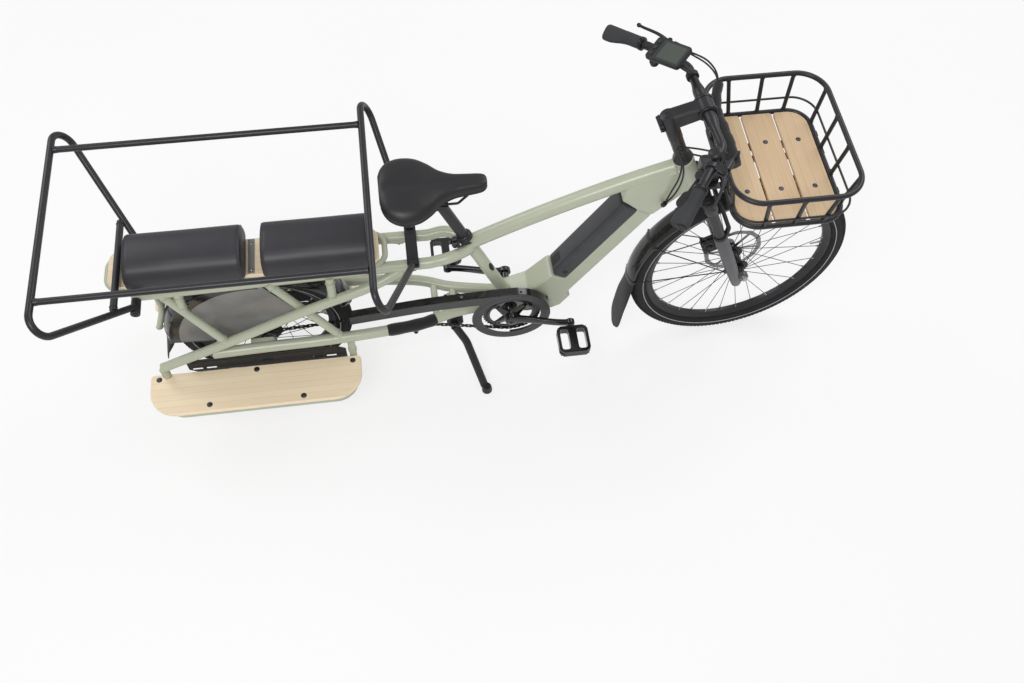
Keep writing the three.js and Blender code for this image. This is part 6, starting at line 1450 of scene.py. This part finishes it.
# Saddle, from its tail to its nose: shares of its length with its width, its lower and its upper edge
SADDLE_FOOT = HEAD_BLOCK + V(-151, 0, 43.5)
SADDLE_LONG, SADDLE_HALF, SADDLE_DEEP = 275, 104, 49
ROD_LOW, ROD_HIGH = 754.4, SADDLE_FOOT.z + 14
stations = smooth_table([(0, 0.42, 0.5, 0.8), (0.03, 0.68, 0.25, 0.9), (0.09, 0.88, 0.1, 0.97),
                         (0.2, 1, 0, 1),
                         (0.34, 0.96, 0, 0.98), (0.46, 0.76, 0.04, 0.92), (0.56, 0.5, 0.1, 0.88),
                         (0.68, 0.33, 0.16, 0.86), (0.82, 0.27, 0.2, 0.87), (0.93, 0.24, 0.26, 0.86),
                         (0.98, 0.19, 0.36, 0.82), (1, 0.1, 0.5, 0.74)], 5)
profile = smooth_table([(0, 1), (0.45, 0.975), (0.8, 0.84), (0.965, 0.54), (1, 0.24), (0.93, 0.03),
                        (0.5, 0.12),
                        (0, 0.18)], 5)
section = [*profile, *[(-y, z) for y, z in profile[::-1][1:-1]]]


def saddle_ring(station):
    """The saddle's outline at one station, with a shallow groove along the middle of its top."""
    along, wide, low, high = station
    ring = []
    for y, z in section:
        groove = 0.12 * wide * max(0, 1 - abs(y) * 3) ** 2 if z > 0.9 else 0
        up = low + z * (1 - groove) * (high - low)
        ring.append(SADDLE_FOOT + V(along * SADDLE_LONG, y * wide * SADDLE_HALF, up * SADDLE_DEEP))
    return ring


cover = Shape()
cover.skin([saddle_ring(station) for station in stations])
cover.make("saddle_cover", "seatpost", "saddle", "saddle", angle=70)
seam = Shape()
for place in (21, 25):
    for way in (1, -1):
        rings = [saddle_ring(station) for station in stations[2:-1]]
        seam.tube([ring[way * place] + Y * way * 0.2 for ring in rings], 1.0, 8)
seam.make("saddle_piping", "seatpost", "saddle", "saddle", angle=70)
under = Shape()
for side in BOTH:
    rod_path = [V(SADDLE_FOOT.x + along * SADDLE_LONG, side * wide * 21, z) for along, wide, z in
                ((0.9, 0.3, ROD_HIGH), (0.72, 1, ROD_LOW), (0.36, 1, ROD_LOW), (0.16, 1.6, ROD_HIGH))]
    under.tube(rounded(rod_path, 12, 6), 3.5, 16)
under.make("saddle_rods", "seatpost", "alloy_black", "saddle", angle=50)


# Kickstand
stand = Shape()
for side in BOTH:
    knee, foot = STAND_PIVOT + Y * side * 40, V(-779, side * 172, 0)
    ankle = knee.lerp(foot, 1 - 13 / STAND_PIVOT.z)
    stand.tube(rounded([knee, knee.lerp(ankle, 0.26) + V(11, 0, 3), ankle], 90, 14), 12.4, 32)
    stand.lathe([(0, 0), (14, 0), (16, 2), (16, 10), (14.4, 20), (12.6, 27), (0, 27)], foot, Z, 40)
    stand.rod(knee - Y * side * 8, knee + Y * side * 6, 13, 28)
stand.rod(STAND_PIVOT - Y * 40, STAND_PIVOT + Y * 40, 8, 28)
stand.make("kickstand_detailed", "kickstand", "black", "kickstand", bevel=0.5, angle=40)


# Chain: links along the belt line of the drive, whose wheels have a centre, radius, teeth and turning way
BELT_Y, PITCH = -62, 12.7
RING_RADIUS, COG_RADIUS, IDLER_RADIUS = 85, 36.6, 22.5
BELT = [(CRANK, RING_RADIUS, 1), (REAR_AXLE, COG_RADIUS, 1), (IDLER, IDLER_RADIUS, -1)]


def belt_angle(a, b):
    """The direction of the straight run from one wheel of the belt to the next."""
    (from_centre, from_radius, from_way), (to_centre, to_radius, to_way) = a, b
    gap = to_centre - from_centre
    lean = math.asin((from_way * from_radius - to_way * to_radius) / math.hypot(gap.x, gap.z))
    return math.atan2(gap.z, gap.x) + lean


def belt_line(step=math.pi / 60):
    path = []
    for i, (centre, radius, way) in enumerate(BELT):
        start = belt_angle(BELT[i - 1], BELT[i])
        sweep = (belt_angle(BELT[i], BELT[(i + 1) % len(BELT)]) - start) * way % (2 * math.pi)
        steps = math.ceil(sweep / step)
        for k in range(steps + 1):
            a = start + way * sweep * k / steps - math.pi / 2
            path.append(centre + Y * BELT_Y + polar(way * radius, a))
    return path


def evenly(loop, pitch):
    """An even number of places along a closed line, about a pitch apart."""
    lengths = [0.0]
    for a, b in zip(loop, loop[1:] + loop[:1]):
        lengths.append(lengths[-1] + (b - a).length)
    count = 2 * round(lengths[-1] / pitch / 2)
    places, i = [], 0
    for k in range(count):
        want = lengths[-1] * k / count
        while lengths[i + 1] < want:
            i += 1
        share = (want - lengths[i]) / max(1e-6, lengths[i + 1] - lengths[i])
        places.append(loop[i].lerp(loop[(i + 1) % len(loop)], share))
    return places


def link(shape, a, b, near, far):
    """Two waisted plates from one pin to the next."""
    run = (b - a).normalized()
    waist = V(run.z, 0, -run.x) * 2.9
    tilt = math.atan2(run.z, run.x)
    half_turn = [math.pi * (0.5 + j / 5) for j in range(6)]
    rim_points = [a + polar(4, tilt + t) for t in half_turn] + [a.lerp(b, 0.5) + waist]
    rim_points += [b + polar(4, tilt + t - math.pi) for t in half_turn] + [a.lerp(b, 0.5) - waist]
    for side in BOTH:
        shape.skin([[p + Y * side * y for p in rim_points] for y in (near, far)])


pins = evenly(belt_line(), PITCH)
chain = Shape()
for k, (a, b) in enumerate(zip(pins, pins[1:] + pins[:1])):
    link(chain, a, b, *((2.7, 3.6) if k % 2 else (1.7, 2.6)))
    chain.rod(a - Y * 3.9, a + Y * 3.9, 1.9, 10)
    chain.rod(a - Y * 1.7, a + Y * 1.7, 3.7, 12)
chain.make("chain_links", "frame", "dark_steel", "chain", angle=40)


def teeth(shape, radius, count, half, centre, hole, windows=()):
    outline = []
    for k in range(count):
        for share, depth in ((-0.34, 4.8), (-0.2, 2.6), (-0.07, 0.6), (0.07, 0.6), (0.2, 2.6), (0.34, 4.8)):
            outline.append(centre + polar(radius - depth, 2 * math.pi * (k + share) / count))
    shape.prism(flat(outline), BELT_Y - half, BELT_Y + half, "xz",
                [circle(hole, 48, centre.x, centre.z), *windows])


def sprocket(name, look_name, centre, radius, count, hole, windows, hub, sides):
    """A toothed wheel with round windows of (number, reach, radius, sides) and a hub."""
    number, reach, window, window_sides = windows
    places = [centre + polar(reach, a) for a in angles(number)]
    shape = Shape()
    teeth(shape, radius, count, 1.1, centre, hole, [circle(window, window_sides, p.x, p.z) for p in places])
    shape.lathe(collar(*hub, 4, 0.5), centre + Y * BELT_Y, Y, sides)
    shape.make(name + "_detailed", name, look_name, name, bevel=0.25)


sprocket("rear_cog", "steel", REAR_AXLE, COG_RADIUS, 18, 12, (6, 21, 4, 12), (6.5, 12.5), 40)
sprocket("chain_idler", "dark_steel", IDLER, IDLER_RADIUS, 11, 8, (5, 13, 2.4, 10), (4.4, 8.5), 32)

ring = Shape()
teeth(ring, RING_RADIUS, 42, 1.3, CRANK, 66)
ring.mat = 1
for k in range(4):
    a = math.pi * (2 * k + 1) / 4
    out, across = polar(1, a), polar(1, a + math.pi / 2)
    for arm in (((6, 15, -80, -67), (30, 9, -76, -66.2), (56, 7, -69, -63.5)),
                ((54, 7, -66.5, -63.4), (70, 9, -66.5, -63.4))):
        ring.hull([CRANK + out * reach + across * w + Y * y
                   for reach, half, *ys in arm for w in (-half, half) for y in ys])
    ring.bolt(CRANK + out * 66 - Y * 66.5, -Y, 4.6, 1.6)
ring.lathe([(63, -66), (70, -66), (71, -65), (71, -63.2), (63, -63.2)], CRANK, Y, 72)
ring.make("chainring_detailed", "crankset", ["dark_steel", "gloss"], "crank_right", bevel=0.35)


# Cranks and pedals
CRANK_LONG = 170


def crank(side, hand):
    """An arm that swings outward, with a boss at each end and the pedal's spindle."""
    shape = Shape(moved(CRANK) @ (turn(180, "Y") if side > 0 else Matrix.Identity(4)))
    outward = Y * side
    pedal_end = X * CRANK_LONG
    rings, steps = [], 24
    for k in range(steps + 1):
        s = k / steps
        middle = X * CRANK_LONG * s + outward * (87.5 + 30 * ease(s * 0.98))
        half, thick = 15 - 3.5 * ease(s * 1.4), 7.5 - 0.5 * s
        ring = []
        for a in angles(24):
            across, up = (math.copysign(abs(v) ** 0.6, v) for v in (math.cos(a), math.sin(a)))
            ring.append(middle + V(0, thick * across, half * up))
        rings.append(ring)
    shape.skin(rings)
    boss = [(0, 80), (18, 80), (19, 81), (19, 94), (17, 95.5), (8.5, 95.5), (8, 93.5), (0, 93.5)]
    shape.lathe(boss, (0, 0, 0), outward, 44)
    eye = [(0, 110), (12.5, 110), (13.5, 111), (13.5, 124), (12.5, 125), (0, 125)]
    shape.lathe(eye, pedal_end, outward, 36)
    shape.rod(pedal_end + outward * 112, pedal_end + outward * 224, 6.6, 24)
    if side > 0:
        shape.rod((0, -80, 0), (0, 82, 0), 12, 32)
    else:
        shape.lathe([(12.4, -64), (20, -64), (20, -82), (12.4, -82)], (0, 0, 0), Y, 44)
    shape.make("crank_%s_arm" % hand, "crankset", "gloss", "crank_" + hand, bevel=0.3, angle=45)


def pedal(side, hand):
    """A cage of two plates with pins, a spindle case and a reflector at each end."""
    shape = Shape(moved(CRANK - X * side * CRANK_LONG))
    corners = [(-46, 148), (-34, 136), (34, 136), (46, 148), (46, 214), (34, 226), (-34, 226), (-46, 214)]
    plan = soft_outline([(x, side * y) for x, y in corners], 8, 3)
    windows = [soft_outline([(end * x, side * y) for x, y in ((12, 147), (37, 147), (37, 215), (12, 215))], 7,
                            3)
               for end in BOTH]
    for low, high in ((-12.4, -3.2), (3.2, 12.4)):
        shape.prism(plan, low, high, "xy", windows)
    shape.prism([(x * 0.93, y) for x, y in plan], -3.4, 3.4, "xy", windows)
    shape.lathe([(7.2, 137), (11.5, 137), (12, 139), (12, 223), (10.5, 225.5), (7.2, 225.5)], axis=Y * side,
                segments=32)
    pins = [(x, y, 13.64) for x in (-41, -25, 25, 41) for y in (142, 220)]
    pins += [(x, y, 13.6) for x in (-42, 42) for y in (162, 181, 200)]
    for x, y, reach in pins:
        for way in BOTH:
            shape.rod((x, side * y, way * 12), (x, side * y, way * reach), 1.5, 10)
    shape.mat = 1
    for way in BOTH:
        shape.hull(block((way * 42.5,), (side * 162, side * 200), (-6, 6))
                   + block((way * 45.8,), (side * 164, side * 198), (-4.6, 4.6)))
    shape.make("pedal_%s_cage" % hand, "pedal_" + hand, ["gloss", "orange"], "pedal_" + hand, bevel=0.5,
               angle=40)


for side, hand in HANDS:
    crank(side, hand)
    pedal(side, hand)


# Chain guard: a flat face with a rim round the chainring and a lid along the chain
GUARD_RADIUS, GUARD_FACE, GUARD_BACK = 117, -77, -53
FACE, LID, SCREW = 0, 1, 2
guard = Shape()
crest = flow([(-695, 0, 386), (-790, 0, 384.5), (-933, 0, 377), (-1050, 0, 363.5), (-1165, 0, 349)], 6)
round_end = [CRANK + polar(GUARD_RADIUS, math.radians(90 - 310 * k / 80)) for k in range(1, 81)]
below = [p - Z * 38 for p in crest if p.x < -790]
guard.prism(flat(crest[::-1] + round_end + below), GUARD_FACE, GUARD_FACE + 2.4, "xz",
            [circle(88, 96, CRANK.x, CRANK.z)])
guard.mat = LID
for p, q in zip(crest, crest[1:]):
    guard.add([v + V(0, y, -depth) for v in (p, q) for y in (GUARD_FACE, GUARD_BACK) for depth in (0, 2.4)],
              BOX_FACES)
rim_section = [(GUARD_RADIUS - 2.4, GUARD_FACE), (GUARD_RADIUS, GUARD_FACE), (GUARD_RADIUS, GUARD_BACK),
               (GUARD_RADIUS - 2.4, GUARD_BACK)]
half_turn = [math.radians(90 - 180 * k / 48) for k in range(49)]
guard.skin([[CRANK + polar(r, a, y) for r, y in rim_section] for a in half_turn])
guard.mat = FACE
guard.lathe([(101, -77.4), (104, -78.2), (107, -77.4), (107, -76.4), (101, -76.4)], CRANK, Y, 96)
guard.mat = SCREW
for x, z in ((-665, 386.4), (-840, 381.6)):
    guard.bolt(V(x, -65, z), Z, 4.2, 1.6)
guard.mat = FACE
tab = CRANK + polar(115.7, math.radians(15))
guard.box(tab.x - 6, tab.x + 1, -55, -39.3, tab.z - 6, tab.z + 6)
guard.make("chain_guard_detailed", "frame", ["guard_face", "gloss", "steel"], "chain_guard", bevel=0.5,
           angle=40)


# Cushions: a firm block whose cover is blown out a little by cloth simulation, then piped and sewn
PAD_LOW, PAD_HIGH, PAD_HALF = 582.9, 79, 80.5
BLOWN_MOST, BLOWN_TOP = 0.006, 0.6645
AIR = {"quality": 5, "mass": 0.4, "tension_stiffness": 30, "compression_stiffness": 30, "shear_stiffness": 12,
       "bending_stiffness": 4, "use_pressure": True, "uniform_pressure_force": 4, "vertex_group_mass": "held"}


def remeshed(pad):
    """The pad with its surface cut into small even faces."""
    remesh = pad.modifiers.new("even", "REMESH")
    remesh.mode = "VOXEL"
    remesh.voxel_size = 0.0055
    graph = bpy.context.evaluated_depsgraph_get()
    mesh = bpy.data.meshes.new_from_object(pad.evaluated_get(graph))
    old = pad.data
    pad.modifiers.clear()
    pad.data = mesh
    bpy.data.meshes.remove(old)


def air_moves(pad, low):
    """How far air moves each point of the cover, whose lowest rim is held."""
    held = pad.vertex_groups.new(name="held")
    held.add([v.index for v in pad.data.vertices if v.co.z < low + 0.008], 1.0, "REPLACE")
    start = [v.co.copy() for v in pad.data.vertices]
    cloth = pad.modifiers.new("cover", "CLOTH")
    for key, value in AIR.items():
        setattr(cloth.settings, key, value)
    cloth.settings.effector_weights.gravity = 0
    cloth.collision_settings.use_collision = False
    for number in range(1, 21):
        bpy.context.scene.frame_set(number)
    graph = bpy.context.evaluated_depsgraph_get()
    ends = [v.co.copy() for v in pad.evaluated_get(graph).data.vertices]
    pad.modifiers.remove(cloth)
    pad.vertex_groups.clear()
    return start, [b - a for a, b in zip(start, ends)]


def blow_out(pad):
    """Moves the cover as the air does, evened out between neighbours and held below a most."""
    low = min(v.co.z for v in pad.data.vertices)
    start, moves = air_moves(pad, low)
    near = [[] for _ in moves]
    for edge in pad.data.edges:
        a, b = edge.vertices
        near[a].append(b)
        near[b].append(a)
    for _ in range(30):
        moves = [(move + sum((moves[j] for j in near[i]), Vector())) / (1 + len(near[i]))
                 for i, move in enumerate(moves)]
    for vert, a, move in zip(pad.data.vertices, start, moves):
        vert.co = a + move * (min(1, BLOWN_MOST / move.length) if move.length > 1e-9 else 0)
        vert.co.z = max(low, min(vert.co.z, BLOWN_TOP))
    bpy.context.scene.frame_set(1)


def cushion(name, node, rear_x, front_x):
    """The pad's length is given in shares with its width and height, its section in shares across and up."""
    stations = smooth_table([(0, 0.89, 0.7), (0.01, 0.95, 0.88), (0.03, 0.98, 0.96), (0.1, 0.985, 0.97),
                             (0.5, 0.985, 0.975), (0.9, 0.985, 0.97), (0.97, 0.98, 0.96), (0.99, 0.95, 0.88),
                             (1, 0.89, 0.7)], 3)
    profile = smooth_table([(0, 1), (0.3, 0.985), (0.56, 0.93), (0.78, 0.81), (0.92, 0.62), (0.985, 0.38),
                            (0.985, 0.14), (0.93, 0)], 3)
    section = [*profile, *[(-y, z) for y, z in profile[::-1][:-1]]]
    shape = Shape()
    shape.skin([[V(mix(rear_x + 3, front_x - 3, along), y * wide * PAD_HALF, PAD_LOW + z * high * PAD_HIGH)
                 for y, z in section] for along, wide, high in stations])
    pad = shape.make(name, "frame", "vinyl", node, angle=180)
    remeshed(pad)
    blow_out(pad)
    smoother = pad.modifiers.new("smooth", "SUBSURF")
    smoother.levels = smoother.render_levels = 1
    pad.data.shade_smooth()
    return pad


def line_over(pad, x, lift):
    """A line across a cushion at x, laid on its own surface by rays from above."""
    graph = bpy.context.evaluated_depsgraph_get()
    graph.update()
    surface_of = pad.evaluated_get(graph)
    line = []
    for k in range(61):
        way = polar(1, math.radians(-8 + 196 * k / 60)).yxz
        origin = (V(x, 0, 606) + way * 140 + SHIFT) * MM
        hit, place, normal, _ = surface_of.ray_cast(pad.matrix_world.inverted() @ origin, -way)
        if hit:
            line.append(place / MM - SHIFT + normal * lift)
    return flow(line, 3)


def sewn(node, pad, rear_x, front_x):
    """Piping round each end of a cushion and a row of stitches beside it."""
    shape = Shape()
    for x in (rear_x + 9, front_x - 9):
        shape.tube(line_over(pad, x, 0.2), 1.3, 10)
    shape.mat = 1
    for x in (rear_x + 14, front_x - 14):
        line = line_over(pad, x, 0.25)
        for p, q in zip(line[::2], line[1::2]):
            shape.rod(p, q, 0.55, 6)
    shape.make(node + "_seams", "frame", ["vinyl", "thread"], node, angle=60)


for node, rear_x, front_x in (("cushion_front", -1365, -1070), ("cushion_rear", -1720, -1405)):
    sewn(node, cushion(node + "_pad", node, rear_x, front_x), rear_x, front_x)

# Finishes of the CAD solids that stay in view
dress(["rail_side_right", "rail_side_left"], "black")


# Floor, light and background
WORLD_LIGHT, FLOOR_GLOW, FLOOR_HALF = 0.55, 0.72, 20


def camera_share(tree, most):
    """A mix of two shaders: the first for plain light, the second, up to a share, for the camera."""
    path = tree.add("LightPath")
    seen = tree.maths("MAXIMUM", path.outputs["Is Camera Ray"], path.outputs["Is Transmission Ray"])
    return tree.add("MixShader", Fac=tree.span(seen, 0, most))


def white_world():
    """White to the camera, plain grey light otherwise."""
    tree = Tree(bpy.data.worlds.new("studio"), empty=True)
    both = camera_share(tree, 1)
    for socket, strength in ((1, WORLD_LIGHT), (2, 1.0)):
        light = tree.add("Background", Color=(1, 1, 1, 1), Strength=strength)
        tree.feed(both.inputs[socket], light.outputs[0])
    tree.add("OutputWorld", Surface=both.outputs[0])
    return tree.block


def white_floor():
    """A pale matt floor that glows to the camera, so that little but its shadow is seen."""
    tree = Tree(bpy.data.materials.new("floor"), empty=True)
    both = camera_share(tree, FLOOR_GLOW)
    mottle = tree.ramp(tree.noise(0.8, 4), [(0.3, (0.86, 0.86, 0.86)), (0.7, (0.90, 0.90, 0.90))])
    tree.feed(both.inputs[1], tree.add("BsdfDiffuse", Color=mottle).outputs[0])
    tree.feed(both.inputs[2], tree.add("Emission").outputs[0])
    tree.add("OutputMaterial", Surface=both.outputs[0])
    return tree.block


bpy.context.scene.world = white_world()
floor_mesh = bpy.data.meshes.new("floor")
corners = rectangle(-FLOOR_HALF, FLOOR_HALF, -FLOOR_HALF, FLOOR_HALF)
floor_mesh.from_pydata(corners, [], [[0, 1, 2, 3]])
floor_mesh.materials.append(white_floor())
floor = bpy.data.objects.new("floor", floor_mesh)
bpy.context.scene.collection.objects.link(floor)


def lamp(name, place, aim, size, power):
    data = bpy.data.lights.new(name, "AREA")
    data.shape = "DISK"
    data.size = size
    data.energy = power
    light = bpy.data.objects.new(name, data)
    facing = (Vector(aim) - Vector(place)).to_track_quat("-Z", "Y")
    light.matrix_world = moved(place) @ facing.to_matrix().to_4x4()
    bpy.context.scene.collection.objects.link(light)


lamp("key", (-1.2, -2.6, 4.2), (0, 0, 0.4), 2.0, 85)
lamp("fill", (2.6, 1.6, 3.6), (0.2, 0, 0.4), 2.4, 45)
lamp("rear", (-2.8, 2.4, 3.2), (-0.3, 0, 0.4), 2.2, 32)
bpy.context.scene.view_settings.view_transform = "Standard"
